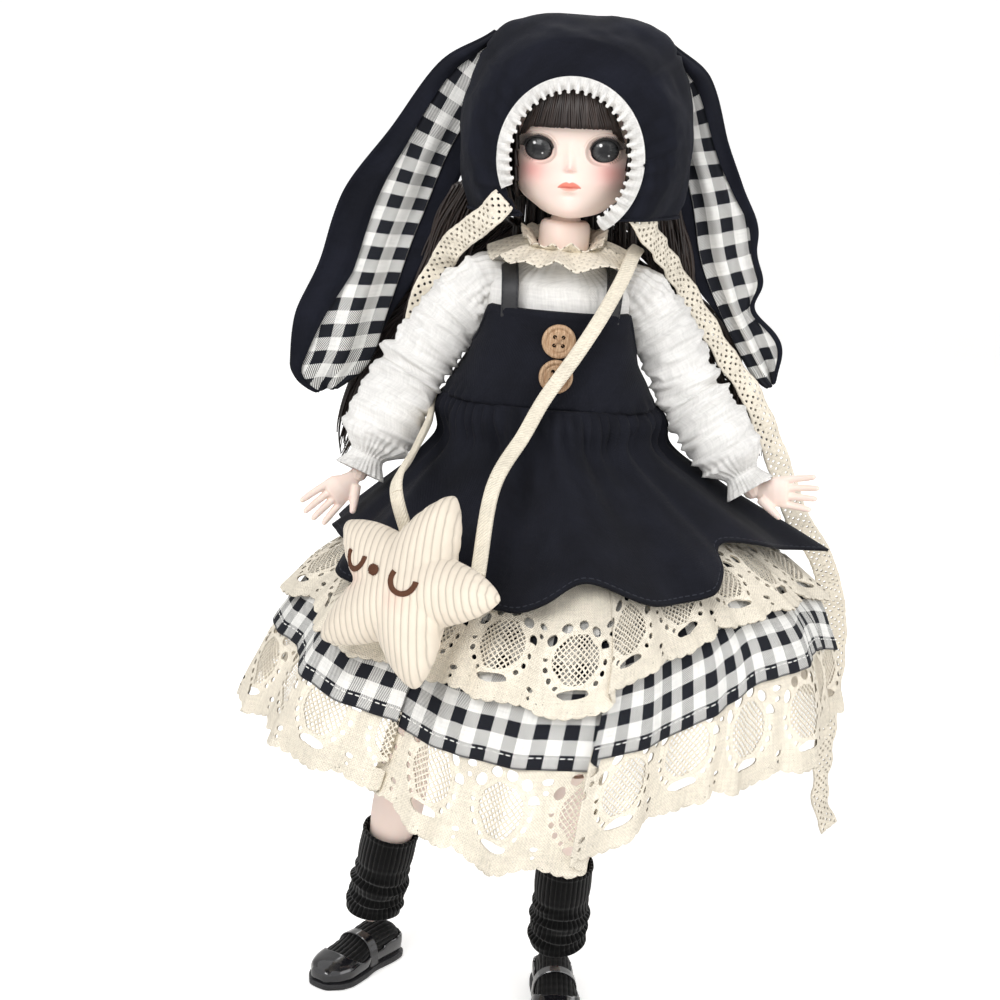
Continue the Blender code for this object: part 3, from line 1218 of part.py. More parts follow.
def make_star(doll):
    frame = joint_frame("bag", Vector(STAR_PLACE), (0, 0, -1), (0, -1, 0))
    frame.parent = doll
    rings = []
    levels = [(share, -puff) for share, puff in reversed(PUFF_SHARES)]
    levels += [(share, puff) for share, puff in PUFF_SHARES[1:]]
    for share, puff in levels:
        ring = []
        for index in range(STAR_POINTS):
            angle = math.tau * index / STAR_POINTS
            radius = STAR_RADIUS * star_outline(angle) * share
            ring.append(star_point(angle, radius, STAR_THICKNESS * puff))
        rings.append(ring)
    piece("star_bag", ring_body(rings), frame, CORDUROY)
    edge, puff = PUFF_SHARES[1]
    behind = STAR_THICKNESS * puff + STRAP_BAND_WALL + 2 * CLEARANCE
    seams = []
    for share in SEAM_SHARES:
        reach = STAR_RADIUS * star_outline(math.tau * share) * edge
        seams.append(Vector(STAR_PLACE) + star_point(math.tau * share, reach, behind))
    way = [
        Vector((DRESS_WIDTH * out, -DRESS_FRONT * front, WAIST_HEIGHT + (SHOULDER_HEIGHT - WAIST_HEIGHT) * up))
        for out, front, up in STRAP_BAND_SHARES
    ]
    route = smooth_route([seams[0]] + way + [seams[1]], 40)
    middle = Vector((0, 0, SHOULDER_HEIGHT - UPPER_ARM_LENGTH))

    def outward(point):
        return Vector((point.x, point.y, max(0, point.z - middle.z)))

    grid = ribbon_grid(route, outward, lambda share: STRAP_BAND)
    piece("bag_strap", sheet_body(grid, STRAP_BAND_WALL), doll, WEBBING)


def stand_on_origin(doll):
    """Moves the whole doll so that the origin is on the floor under the middle of its box."""
    bpy.context.view_layer.update()
    graph = bpy.context.evaluated_depsgraph_get()
    corners = []
    for item in bpy.data.objects:
        if item.type == "MESH" and not item.hide_render:
            body = item.evaluated_get(graph)
            corners += [body.matrix_world @ vertex.co for vertex in body.data.vertices]
    low = Vector([min(corner[axis] for corner in corners) for axis in range(3)])
    high = Vector([max(corner[axis] for corner in corners) for axis in range(3)])
    middle = (low + high) / 2
    doll.location = (-middle.x, -middle.y, -low.z)


def main():
    for item in list(bpy.data.objects):
        bpy.data.objects.remove(item)
    doll = bpy.data.objects.new("doll", None)
    bpy.context.scene.collection.objects.link(doll)
    make_trunk(doll)
    turn, lean = math.radians(HEAD_TURN_DEGREES), math.radians(HEAD_LEAN_DEGREES)
    head_down = Vector((-math.sin(lean), 0, -math.cos(lean)))
    neck = joint_frame("neck", (0, 0, NECK_HEIGHT), head_down, (0, -1, 0))
    neck.parent = doll
    piece("neck_ball", peg_ball(NECK_BALL, TRUNK_PEG, TRUNK_PEG_LENGTH, 14), neck, JOINT_PLASTIC)
    head = joint_frame("head joint", (0, 0, NECK_HEIGHT), head_down, (-math.sin(turn), -math.cos(turn), 0))
    head.parent = doll
    hanging = joint_frame("hanging from head", (0, 0, NECK_HEIGHT), (0, 0, -1), (0, -1, 0))
    hanging.parent = doll
    make_head(head)
    make_wig(head)
    make_bonnet(head)
    make_ruffle(head)
    for side, sign in both_sides():
        make_lock(side, sign, hanging)
        make_ear(side, sign, hanging, head)
        make_tie(side, sign, hanging)
        leg = leg_frames(side, sign, doll)
        make_leg(side, sign, leg)
        make_foot(side, leg["foot"])
        make_sock(side, leg["shin"])
        arm = arm_frames(side, sign, doll)
        make_arm(side, sign, arm)
        make_hand(side, sign, arm["hand"])
        make_sleeves(side, arm)
    make_blouse(doll)
    make_collar(doll)
    make_bib(doll)
    make_straps(doll)
    make_buttons(doll)
    make_skirts(doll)
    make_star(doll)
    stand_on_origin(doll)


main()
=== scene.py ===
# A dressed ball jointed doll in a long eared bonnet, with a star bag over its shoulder.
import json
import math
import random

import bmesh
import bpy
import numpy as np
from mathutils import Matrix, Vector, noise

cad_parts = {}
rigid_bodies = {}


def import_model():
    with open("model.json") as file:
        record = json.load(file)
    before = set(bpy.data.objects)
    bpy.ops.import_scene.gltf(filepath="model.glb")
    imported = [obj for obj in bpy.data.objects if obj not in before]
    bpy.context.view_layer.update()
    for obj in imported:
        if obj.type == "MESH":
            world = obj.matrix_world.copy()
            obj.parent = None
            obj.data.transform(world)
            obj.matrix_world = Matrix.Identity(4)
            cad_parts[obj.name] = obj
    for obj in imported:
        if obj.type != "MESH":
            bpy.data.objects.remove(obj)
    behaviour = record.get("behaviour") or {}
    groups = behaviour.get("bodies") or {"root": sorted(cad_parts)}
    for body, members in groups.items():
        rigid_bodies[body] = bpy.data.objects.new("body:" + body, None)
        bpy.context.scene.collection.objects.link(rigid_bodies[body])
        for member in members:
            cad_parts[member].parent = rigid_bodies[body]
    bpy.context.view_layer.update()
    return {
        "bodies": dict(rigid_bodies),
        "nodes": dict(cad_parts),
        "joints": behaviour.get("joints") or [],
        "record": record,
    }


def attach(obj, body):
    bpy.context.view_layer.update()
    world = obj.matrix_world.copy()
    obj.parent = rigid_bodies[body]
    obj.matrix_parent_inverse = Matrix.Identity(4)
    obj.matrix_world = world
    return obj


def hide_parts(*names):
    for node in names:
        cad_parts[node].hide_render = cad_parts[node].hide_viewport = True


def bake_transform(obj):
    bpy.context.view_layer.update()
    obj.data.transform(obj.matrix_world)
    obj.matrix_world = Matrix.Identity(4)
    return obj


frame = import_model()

mm = 0.001
dollPlace = Vector((-0.012565, 0.002347, 0))  # the doll's own middle, where its sizes start
neckHeight = 0.251
print("frame loaded:", len(frame["nodes"]), "nodes")


# Small helpers

# millimetres from the doll's middle
def at(x, y, z):
    return dollPlace + Vector((x, y, z)) * mm


def frameOn(origin, down, forward):
    up = -Vector(down).normalized()
    side = (-Vector(forward)).cross(up).normalized()
    turned = Matrix((side, up.cross(side), up)).transposed().to_4x4()
    return Matrix.Translation(origin) @ turned


headPose = dict(turn=7, lean=2, roll=-4.4, rollHeight=24)


def headFrame():
    turn, lean = math.radians(headPose["turn"]), math.radians(headPose["lean"])
    down = Vector((-math.sin(lean), 0, -math.cos(lean)))
    return frameOn(dollPlace + Vector((0, 0, neckHeight)), down, (-math.sin(turn), -math.cos(turn), 0))


rollPlace = Vector((0, 0, headPose["rollHeight"] * mm))
headRoll = Matrix.Rotation(math.radians(headPose["roll"]), 4, "Y")
headRoll = Matrix.Translation(rollPlace) @ headRoll @ Matrix.Translation(-rollPlace)
onHead = headFrame() @ headRoll  # the dressed head leans a little on its joint


def head(x, y, z):
    return onHead @ (Vector((x, y, z)) * mm)


def ease(low, high, value):
    t = np.clip((np.asarray(value, float) - low) / (high - low), 0, 1)
    return t * t * (3 - 2 * t)


def unit(vectors, tiny=0.0):
    return vectors / (np.linalg.norm(vectors, axis=-1, keepdims=True) + tiny)


def alongRoute(route, tiny=0.0):
    return unit(np.gradient(route, axis=0), tiny)


def stepsOf(route):
    return np.concatenate([[0], np.cumsum(np.linalg.norm(np.diff(route, axis=0), axis=1))])


def turnAngles(count):
    return np.arange(count) * math.tau / count


def uvRows(across, down):
    return np.stack([across, np.broadcast_to(down[:, None], across.shape)], -1)


def readShares(shares, column, want):
    return hermite([s[0] for s in shares], [s[column] for s in shares], want)


# a smooth closed reading of (angle, value) pairs
def ringSpline(pairs, degrees):
    pairs = sorted(pairs)
    angles = np.array([a for a, _ in pairs], float)
    values = np.array([v for _, v in pairs], float)
    angles = np.concatenate([angles - 360, angles, angles + 360])
    values = np.tile(values, 3)
    where = (np.asarray(degrees, float) + 180) % 360 - 180
    spot = np.clip(np.searchsorted(angles, where, side="right") - 1, 1, len(angles) - 3)
    a0, a1 = angles[spot], angles[spot + 1]
    v0, v1, v2, v3 = values[spot - 1], values[spot], values[spot + 1], values[spot + 2]
    t = (where - a0) / (a1 - a0)
    return 0.5 * (2 * v1 + (v2 - v0) * t + (2 * v0 - 5 * v1 + 4 * v2 - v3) * t**2
                  + (3 * v1 - v0 - 3 * v2 + v3) * t**3)


def smoothRoute(points, count):
    points = [Vector(p) for p in points]
    ends = [2 * points[0] - points[1]] + points + [2 * points[-1] - points[-2]]
    fine = []
    for a, b, c, d in zip(ends, ends[1:], ends[2:], ends[3:]):
        for step in range(10):
            t = step / 10
            fine.append((2 * b + (c - a) * t + (2 * a - 5 * b + 4 * c - d) * t**2
                         + (3 * b - a - 3 * c + d) * t**3) / 2)
    fine.append(points[-1])
    fine = np.array(fine)
    lengths = stepsOf(fine)
    want = np.linspace(0, lengths[-1], count)
    return np.stack([np.interp(want, lengths, fine[:, i]) for i in range(3)], 1)


def finishObject(obj, body=None, nodes=(), blend=None):
    if nodes:
        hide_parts(*nodes)
    if blend:
        applyAll(obj)
        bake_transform(obj)
    elif body:
        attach(obj, body)
    return obj


def applyAll(obj):
    if not obj.modifiers and obj.type == "MESH":
        return
    graph = bpy.context.evaluated_depsgraph_get()
    made = bpy.data.meshes.new_from_object(obj.evaluated_get(graph))
    obj.modifiers.clear()
    obj.data = made


def newObject(name, mesh, finishes=()):
    obj = bpy.data.objects.new(name, mesh)
    bpy.context.scene.collection.objects.link(obj)
    for finish in finishes:
        mesh.materials.append(finish)
    return obj


# a cloth or skin from rows of points; around joins the last column to the first
def gridObject(name, points, finishes, uv=None, around=False, wall=0.0, offset=0.0, fine=0):
    points = np.asarray(points, float)
    rows, cols = points.shape[:2]
    count = cols if around else cols - 1
    r, c = np.mgrid[0 : rows - 1, 0:count]
    after = (c + 1) % cols
    faces = np.stack([r * cols + c, (r + 1) * cols + c, (r + 1) * cols + after, r * cols + after],
                     -1).reshape(-1, 4)
    mesh = bpy.data.meshes.new(name)
    mesh.from_pydata(points.reshape(-1, 3).tolist(), [], faces.tolist())
    if uv is not None:
        corner = np.stack([uv[r, c], uv[r + 1, c], uv[r + 1, c + 1], uv[r, c + 1]], 2).reshape(-1, 2)
        layer = mesh.uv_layers.new(name="cloth")
        layer.data.foreach_set("uv", corner.astype(np.float32).ravel())
    mesh.shade_smooth()
    obj = newObject(name, mesh, finishes)
    if wall:
        addWall(obj, wall, offset)
    if fine:
        addFine(obj, fine)
    return obj


def addWall(obj, thickness, offset):
    solid = obj.modifiers.new("wall", "SOLIDIFY")
    solid.thickness, solid.offset = thickness, offset


def addFine(obj, levels):
    soft = obj.modifiers.new("fine", "SUBSURF")
    soft.levels = soft.render_levels = levels


def writeBody(body, mesh):
    body.to_mesh(mesh)
    body.free()


def pointsOf(mesh):
    points = np.empty(len(mesh.vertices) * 3)
    mesh.vertices.foreach_get("co", points)
    return points.reshape(-1, 3)


def paintOn(mesh, paint):
    layer = mesh.attributes.new("paint", "FLOAT_COLOR", "POINT")
    layer.data.foreach_set("color", paint.astype(np.float32).ravel())


# closes both ends of a grid that is joined round
def capEnds(obj, sides):
    body = bmesh.new()
    body.from_mesh(obj.data)
    body.verts.ensure_lookup_table()
    body.faces.new([body.verts[i] for i in range(sides)])
    body.faces.new([body.verts[i] for i in range(len(body.verts) - sides, len(body.verts))])
    bmesh.ops.recalc_face_normals(body, faces=body.faces)
    writeBody(body, obj.data)


def closeEnds(obj, sides):
    capEnds(obj, sides)
    obj.data.shade_smooth()
    obj.data.set_sharp_from_angle(angle=math.radians(50))


def tubePoints(route, radii, sides, flat, squash, tiny=0.0):
    along = alongRoute(route, tiny)
    side = unit(np.cross(along, np.asarray(flat, float)), 1e-12)
    up = np.cross(side, along)
    angles = turnAngles(sides)
    radii = radii[:, None, None]
    return (route[:, None] + side[:, None] * (np.cos(angles)[None, :, None] * radii)
            + up[:, None] * (np.sin(angles)[None, :, None] * radii * squash))


# distance along each row of points, with one more column than points when the rows close
def arcLengths(points, around=True):
    rows = np.concatenate([points, points[:, :1]], 1) if around else points
    steps = np.linalg.norm(np.diff(rows, axis=1), axis=2)
    return np.concatenate([np.zeros((len(points), 1)), np.cumsum(steps, 1)], 1)


# a tube or a flattened cord along a route of points
def tube(name, route, radii, finish, sides=16, squash=1.0, flat=(0, 0, 1), caps=True):
    route = np.asarray(route, float)
    count = len(route)
    radii = np.broadcast_to(np.asarray(radii, float), (count,))
    points = tubePoints(route, radii, sides, flat, squash)
    steps = stepsOf(route)
    uv = np.zeros((count, sides + 1, 2))
    uv[..., 0] = np.linspace(0, 1, sides + 1)[None] * math.tau * radii.mean()
    uv[..., 1] = steps[:, None]
    obj = gridObject(name, points, [finish], uv, around=True)
    if caps:
        capEnds(obj, sides)
    return obj


# one object from many (verts, faces) lists
def joinMeshes(name, parts, finishes):
    verts, faces, start = [], [], 0
    for points, partFaces in parts:
        verts.append(np.asarray(points, float))
        faces += [[i + start for i in face] for face in partFaces]
        start += len(points)
    mesh = bpy.data.meshes.new(name)
    mesh.from_pydata(np.concatenate(verts).tolist(), [], faces)
    mesh.shade_smooth()
    return newObject(name, mesh, finishes)


# verts and faces of one tapered hair or thread
def strand(route, radii, sides=5, flat=(0, -1, 0), squash=0.5):
    route = np.asarray(route, float)
    radii = np.broadcast_to(np.asarray(radii, float), (len(route),))
    points = tubePoints(route, radii, sides, flat, squash, 1e-12).reshape(-1, 3)
    faces = []
    for r in range(len(route) - 1):
        for c in range(sides):
            n = (c + 1) % sides
            faces.append([r * sides + c, r * sides + n, (r + 1) * sides + n, (r + 1) * sides + c])
    faces.append(list(range(sides))[::-1])
    faces.append([(len(route) - 1) * sides + c for c in range(sides)])
    return points, faces


# rows of points round local Z from (radius, height, shift back) in mm
def turnedPoints(profile, sides, origin=None):
    angles = turnAngles(sides)
    rows = []
    for radius, height, shift in profile:
        ring = np.stack([np.cos(angles) * radius, np.sin(angles) * radius + shift, np.full(sides, height)],
                        1) * mm
        rows.append(ring)
    rows = np.array(rows)
    if origin is not None:
        shape = rows.shape
        flat = np.c_[rows.reshape(-1, 3), np.ones(len(rows.reshape(-1, 3)))]
        rows = (flat @ np.array(origin).T)[:, :3].reshape(shape)
    return rows


# smooth noise read at points, for creases
def waves(points, scale, seed=0):
    flat = points.reshape(-1, 3)
    shift = Vector((seed * 1.7, seed * 2.3, seed * 3.1))
    values = [noise.noise(Vector(p) * scale + shift) for p in flat]
    return np.array(values).reshape(points.shape[:-1])


# Node wiring: plain arithmetic on shader values

class Wire:
    def __init__(self, tree, socket):
        self.tree, self.socket = tree, socket

    def math(self, operation, *others, clamp=False):
        node = self.tree.nodes.new("ShaderNodeMath")
        node.operation = operation
        node.use_clamp = clamp
        for index, value in enumerate((self, *others)):
            plug(self.tree, value, node.inputs[index])
        return Wire(self.tree, node.outputs[0])

    def __add__(self, other):
        return self.math("ADD", other)

    def __sub__(self, other):
        return self.math("SUBTRACT", other)

    def __mul__(self, other):
        return self.math("MULTIPLY", other)

    def __truediv__(self, other):
        return self.math("DIVIDE", other)

    def between(self, low, high):
        node = self.tree.nodes.new("ShaderNodeMapRange")
        node.interpolation_type = "SMOOTHSTEP"
        plug(self.tree, self, node.inputs["Value"])
        plug(self.tree, low, node.inputs["From Min"])
        plug(self.tree, high, node.inputs["From Max"])
        return Wire(self.tree, node.outputs["Result"])


def plug(tree, value, socket):
    if isinstance(value, Wire):
        tree.links.new(value.socket, socket)
    elif isinstance(value, bpy.types.NodeSocket):
        tree.links.new(value, socket)
    elif isinstance(value, (tuple, list)) and len(value) == 3 and socket.type == "RGBA":
        socket.default_value = (*value, 1)
    else:
        socket.default_value = value


def addNode(tree, kind, inputs=None, **settings):
    node = tree.nodes.new(kind)
    for key, value in settings.items():
        setattr(node, key, value)
    for key, value in (inputs or {}).items():
        plug(tree, value, node.inputs[key])
    return node


def noiseWire(tree, vector, scale, detail=3, stretch=None):
    if stretch:
        vector = addNode(tree, "ShaderNodeMapping", {"Vector": vector, "Scale": stretch}).outputs[0]
    node = addNode(tree, "ShaderNodeTexNoise", {"Vector": vector, "Scale": scale, "Detail": detail})
    return Wire(tree, node.outputs["Fac"])


def mixColor(tree, share, first, second, blend="MIX"):
    node = addNode(tree, "ShaderNodeMix", data_type="RGBA", blend_type=blend)
    plug(tree, share, node.inputs["Factor"])
    plug(tree, first, node.inputs["A"])
    plug(tree, second, node.inputs["B"])
    return node.outputs["Result"]


def xyOf(tree, vector):
    node = addNode(tree, "ShaderNodeSeparateXYZ", {"Vector": vector})
    return [Wire(tree, output) for output in node.outputs]


# an empty node group; returns its tree, its inputs as wires, and its output node
def newGroup(name, inputs, outputs):
    tree = bpy.data.node_groups.new(name, "ShaderNodeTree")
    for label, kind, value in inputs:
        socket = tree.interface.new_socket(label, in_out="INPUT", socket_type=kind)
        if value is not None:
            socket.default_value = value
    for label, kind in outputs:
        tree.interface.new_socket(label, in_out="OUTPUT", socket_type=kind)
    entry = tree.nodes.new("NodeGroupInput")
    leave = tree.nodes.new("NodeGroupOutput")
    return tree, {label: Wire(tree, entry.outputs[label]) for label, _, _ in inputs}, leave


def useGroup(tree, group, **inputs):
    node = tree.nodes.new("ShaderNodeGroup")
    node.node_tree = group
    for label, value in inputs.items():
        plug(tree, value, node.inputs[label[0].upper() + label[1:]])
    return node


# Camera, floor and light

view = dict(turn=-2, pitch=13.42, roll=4.84, lens=69.8, sensor=36, aim=(-12.5, 0, 165), far=0.60)


def placeCamera():
    turn, pitch, roll = (math.radians(view[key]) for key in ("turn", "pitch", "roll"))
    ahead = Vector((-math.sin(turn) * math.cos(pitch), math.cos(turn) * math.cos(pitch), -math.sin(pitch)))
    level = Vector((math.cos(turn), math.sin(turn), 0))
    above = level.cross(ahead)
    right = level * math.cos(roll) + above * math.sin(roll)
    up = above * math.cos(roll) - level * math.sin(roll)
    camera = bpy.data.objects.new("camera", bpy.data.cameras.new("camera"))
    camera.data.lens, camera.data.sensor_width = view["lens"], view["sensor"]
    camera.data.clip_start = 0.01
    place = at(*view["aim"]) - ahead * view["far"]
    camera.matrix_world = Matrix.Translation(place) @ Matrix((right, up, -ahead)).transposed().to_4x4()
    bpy.context.scene.collection.objects.link(camera)
    bpy.context.scene.camera = camera


placeCamera()


def areaLight(name, place, aim, size, power, tint=(1, 1, 1)):
    lamp = bpy.data.lights.new(name, "AREA")
    lamp.energy, lamp.size, lamp.color = power, size, tint
    obj = bpy.data.objects.new(name, lamp)
    obj.matrix_world = (Matrix.Translation(place)
                        @ (Vector(aim) - Vector(place)).to_track_quat("-Z", "Y").to_matrix().to_4x4())
    bpy.context.scene.collection.objects.link(obj)
    return obj


lights = dict(key=((-0.55, -0.95, 0.95), 0.7, 10.3), fill=((0.85, -0.75, 0.55), 0.9, 5.0),
              back=((0.2, 0.8, 0.9), 0.8, 4.0))
for label, (place, size, power) in lights.items():
    areaLight(label, place, (0, 0, 0.17), size, power)


studio = dict(paper=(0.93, 0.925, 0.915), paperGlow=0.42, roomLight=0.52, front=-2.5, bend=1.6,
              bendRadius=0.5, top=2.6)


def makeStage():
    bend, radius = studio["bend"], studio["bendRadius"]
    profile = [(studio["front"], 0), (bend, 0)]
    profile += [(bend + math.sin(a) * radius, radius - math.cos(a) * radius)
                for a in np.linspace(0.1, math.pi / 2, 12)]
    profile += [(bend + radius, studio["top"])]
    points = np.array([[(x, y, z - 0.0002) for x in np.linspace(-3, 3, 9)] for y, z in profile])
    made, tree, surface = material("studio paper", {"Base Color": studio["paper"], "Roughness": 0.9,
                                                    "Emission Color": (1, 1, 1)})
    path = addNode(tree, "ShaderNodeLightPath")
    plug(tree, Wire(tree, path.outputs["Is Camera Ray"]) * studio["paperGlow"],
         surface.inputs["Emission Strength"])
    grain = noiseWire(tree, addNode(tree, "ShaderNodeTexCoord").outputs["Object"], 260, 2)
    bump(tree, surface, grain, 0.04, 0.0002)
    gridObject("floor", points, [made])
    world = bpy.data.worlds.new("studio")
    bpy.context.scene.world = world
    world.use_nodes = True
    tree = world.node_tree
    path = addNode(tree, "ShaderNodeLightPath")
    seen = Wire(tree, path.outputs["Is Camera Ray"])
    for other in ("Is Glossy Ray", "Is Transmission Ray"):
        seen = seen.math("MAXIMUM", Wire(tree, path.outputs[other]))
    background = tree.nodes["Background"]
    background.inputs["Color"].default_value = (1, 1, 1, 1)
    plug(tree, seen * (1 - studio["roomLight"]) + studio["roomLight"], background.inputs["Strength"])
    bpy.context.scene.view_settings.view_transform = "Standard"


def material(name, inputs):
    made = bpy.data.materials.new(name)
    made.use_nodes = True
    tree = made.node_tree
    surface = tree.nodes["Principled BSDF"]
    for key, value in inputs.items():
        plug(tree, value, surface.inputs[key])
    return made, tree, surface


def bump(tree, surface, height, strength, distance):
    node = addNode(tree, "ShaderNodeBump", {"Height": height, "Strength": strength, "Distance": distance})
    normal = surface.inputs["Normal"]
    if normal.is_linked:
        tree.links.new(normal.links[0].from_socket, node.inputs["Normal"])
    tree.links.new(node.outputs["Normal"], normal)


makeStage()
print("camera, floor and light ready")


# Shared effects

def waveOf(wire, pitch):
    return (wire * (math.tau / pitch)).math("SINE")


# threads across and along a cloth whose UV is in metres; Twill slants them
def weaveGroup():
    tree, given, leave = newGroup(
        "woven threads", [("Vector", "NodeSocketVector", None), ("Pitch", "NodeSocketFloat", 0.0005),
                          ("Twill", "NodeSocketFloat", 0.0)],
        [("Height", "NodeSocketFloat"), ("Shade", "NodeSocketFloat")])
    u, v, _ = xyOf(tree, given["Vector"])
    wobble = noiseWire(tree, given["Vector"], 900, 2) * 0.00025
    u, v = u + wobble, v + wobble
    phaseU = u / given["Pitch"] * math.tau
    phaseV = v / given["Pitch"] * math.tau
    plain = phaseU.math("SINE") * phaseV.math("SINE")
    slant = (phaseU + phaseV).math("SINE") * 0.5
    height = plain * (given["Twill"] * -1 + 1) + slant * given["Twill"]
    slub = noiseWire(tree, given["Vector"], 1, 3, (180, 1400, 1)) + noiseWire(tree, given["Vector"], 1, 3,
            (1400, 180, 1))
    height = height * 0.5 + slub * 0.5
    plug(tree, height, leave.inputs["Height"])
    plug(tree, slub * 0.35 + noiseWire(tree, given["Vector"], 60, 3) * 0.35 + 0.47, leave.inputs["Shade"])
    return tree


# raised ribs along V, their pitch in metres; the second output marks the grooves between the ribs, for painted
# shade
def ribGroup():
    tree, given, leave = newGroup(
        "ribs", [("Vector", "NodeSocketVector", None), ("Pitch", "NodeSocketFloat", 0.0014),
                 ("Wander", "NodeSocketFloat", 0.0003)],
        [("Height", "NodeSocketFloat"), ("ValleyShade", "NodeSocketFloat")])
    u, v, _ = xyOf(tree, given["Vector"])
    drift = noiseWire(tree, given["Vector"], 70, 2) * given["Wander"]
    wave = ((u + drift) / given["Pitch"] * math.pi).math("SINE").math("ABSOLUTE")
    pile = noiseWire(tree, given["Vector"], 1, 3, (2200, 700, 1))
    plug(tree, wave.math("POWER", 0.6) + pile * 0.18, leave.inputs["Height"])
    plug(tree, wave.between(0.55, 0.05), leave.inputs["ValleyShade"])
    return tree


# slow changes of shade over a piece, from Low to High
def spreadGroup():
    tree, given, leave = newGroup(
        "spread of shade", [("Vector", "NodeSocketVector", None), ("Scale", "NodeSocketFloat", 40.0),
                            ("Low", "NodeSocketFloat", 0.9), ("High", "NodeSocketFloat", 1.05)],
        [("Shade", "NodeSocketFloat")])
    node = addNode(tree, "ShaderNodeTexNoise", {"Vector": given["Vector"], "Scale": given["Scale"],
                                                "Detail": 4})
    value = Wire(tree, node.outputs["Fac"]).between(0.3, 0.7)
    plug(tree, value * (given["High"] - given["Low"]) + given["Low"], leave.inputs["Shade"])
    return tree


# fine strands running along V
def strandGroup():
    tree, given, leave = newGroup(
        "strands", [("Vector", "NodeSocketVector", None), ("Scale", "NodeSocketFloat", 2600.0)],
        [("Height", "NodeSocketFloat"), ("Shade", "NodeSocketFloat")])
    u, v, w = xyOf(tree, given["Vector"])
    combined = addNode(tree, "ShaderNodeCombineXYZ",
                       {"X": u * given["Scale"], "Y": v * 26, "Z": w * given["Scale"]})
    node = addNode(tree, "ShaderNodeTexNoise", {"Vector": combined.outputs[0], "Scale": 1, "Detail": 3})
    value = Wire(tree, node.outputs["Fac"])
    plug(tree, value, leave.inputs["Height"])
    plug(tree, value.between(0.35, 0.7), leave.inputs["Shade"])
    return tree


# a woven check: two bands of thread across and along, in metres
def checkGroup():
    tree, given, leave = newGroup(
        "woven check", [("Vector", "NodeSocketVector", None), ("Square", "NodeSocketFloat", 0.0043)],
        [("Dark", "NodeSocketFloat"), ("Half", "NodeSocketFloat")])
    u, v, _ = xyOf(tree, given["Vector"])
    bands = []
    for wire in (u, v):
        step = (wire / (given["Square"] * 2)).math("FRACT")
        bands.append((step - 0.25).math("ABSOLUTE").between(0.262, 0.238)
                     + (step - 1.25).math("ABSOLUTE").between(0.262, 0.238))
    hatch = ((u + v) / 0.00062 * math.tau).math("SINE").between(-0.5, 0.5)
    both = bands[0] * bands[1]
    one = bands[0] + bands[1] - both * 2
    plug(tree, both + one * hatch * 0.85, leave.inputs["Dark"])
    plug(tree, one, leave.inputs["Half"])
    return tree


# torchon lace: UV in metres along and up from the hem; each repeat holds one round of fine net
def laceGroup():
    tree, given, leave = newGroup(
        "torchon lace", [("Vector", "NodeSocketVector", None), ("Repeat", "NodeSocketFloat", 0.026),
                         ("Tall", "NodeSocketFloat", 0.030), ("Scallop", "NodeSocketFloat", 1.0)],
        [("Solid", "NodeSocketFloat"), ("Height", "NodeSocketFloat")])
    u, v, _ = xyOf(tree, given["Vector"])
    wobble = noiseWire(tree, given["Vector"], 260, 2) * 0.0009 - 0.00045
    u, v = u + wobble, v + wobble
    x = ((u / given["Repeat"]).math("FRACT") - 0.5) * given["Repeat"]
    tall = given["Tall"]
    up = v - tall * 0.60
    far = (x * x + up * up).math("SQRT")
    angle = up.math("ARCTAN2", x)
    low = up.between(0.0015, -0.0010)

    def oval(across, above, halfWide, halfTall):
        a, b = across / halfWide, above / halfTall
        return (a * a + b * b).between(1.0, 0.72)

    def eyelets(count, radius, halfWide, halfTall):
        turn = ((angle / (math.tau / count)).math("FRACT") - 0.5) * (math.tau / count * radius)
        return oval(turn, far - radius, halfWide, halfTall)

    def trellis(pitch, thread):
        a = ((x + up) / pitch).math("FRACT") - 0.5
        b = ((x - up) / pitch).math("FRACT") - 0.5
        return a.math("ABSOLUTE").math("MINIMUM", b.math("ABSOLUTE")).between(thread, thread * 0.65)

    inside = far.between(0.0082, 0.0078)
    net = trellis(0.00195, 0.19)
    rim = (far - 0.0083).math("ABSOLUTE").between(0.0006, 0.0004)
    holes = eyelets(19, 0.0101, 0.00095, 0.00080) * low * (oval(x, up + 0.0098, 0.0062, 0.0030) * -1 + 1)
    holes = holes.math("MAXIMUM", oval(x, up + 0.0102, 0.0052, 0.0015))
    holes = holes.math("MAXIMUM", eyelets(11, 0.0106, 0.0022, 0.0017) * up.between(0.0010, 0.0035))
    side = x.math("ABSOLUTE") - given["Repeat"] * 0.5
    for place, wide, high in ((0.0090, 0.0017, 0.0011), (0.0058, 0.0010, 0.0008), (-0.0100, 0.0013, 0.0008),
                              (-0.0125, 0.0006, 0.0006)):
        holes = holes.math("MAXIMUM", oval(side, up - place, wide, high))
    pins = noiseWire(tree, given["Vector"], 1, 1, (1500, 1500, 1)).between(0.685,
            0.72) * up.between(-0.0110, -0.0120)
    solid = (inside * net + (inside * -1 + 1) * (holes * -1 + 1)).math("MAXIMUM", rim) * (pins * -0.9 + 1)
    arch = (x / given["Repeat"] * math.pi).math("COSINE").math("ABSOLUTE") * -0.0022 + 0.0022
    picot = (u / 0.0040 * math.pi).math("SINE").math("ABSOLUTE").math("POWER", 0.5) * -0.0009 + 0.0009
    edge = (v - (arch + picot) * given["Scallop"]).between(0.0, 0.0002)
    plug(tree, solid * edge, leave.inputs["Solid"])
    cord = noiseWire(tree, given["Vector"], 1700, 2) * 0.6 + waveOf(u + v, 0.0009) * 0.14 + waveOf(u - v,
            0.0009) * 0.14
    trail = (far - 0.0101).math("ABSOLUTE").between(0.0016, 0.0004) * 0.35
    plug(tree, cord + inside * net * 0.25 + rim * 0.3 + trail, leave.inputs["Height"])
    return tree


groups = dict(weave=weaveGroup(), rib=ribGroup(), spread=spreadGroup(), strands=strandGroup(),
              check=checkGroup(), lace=laceGroup())


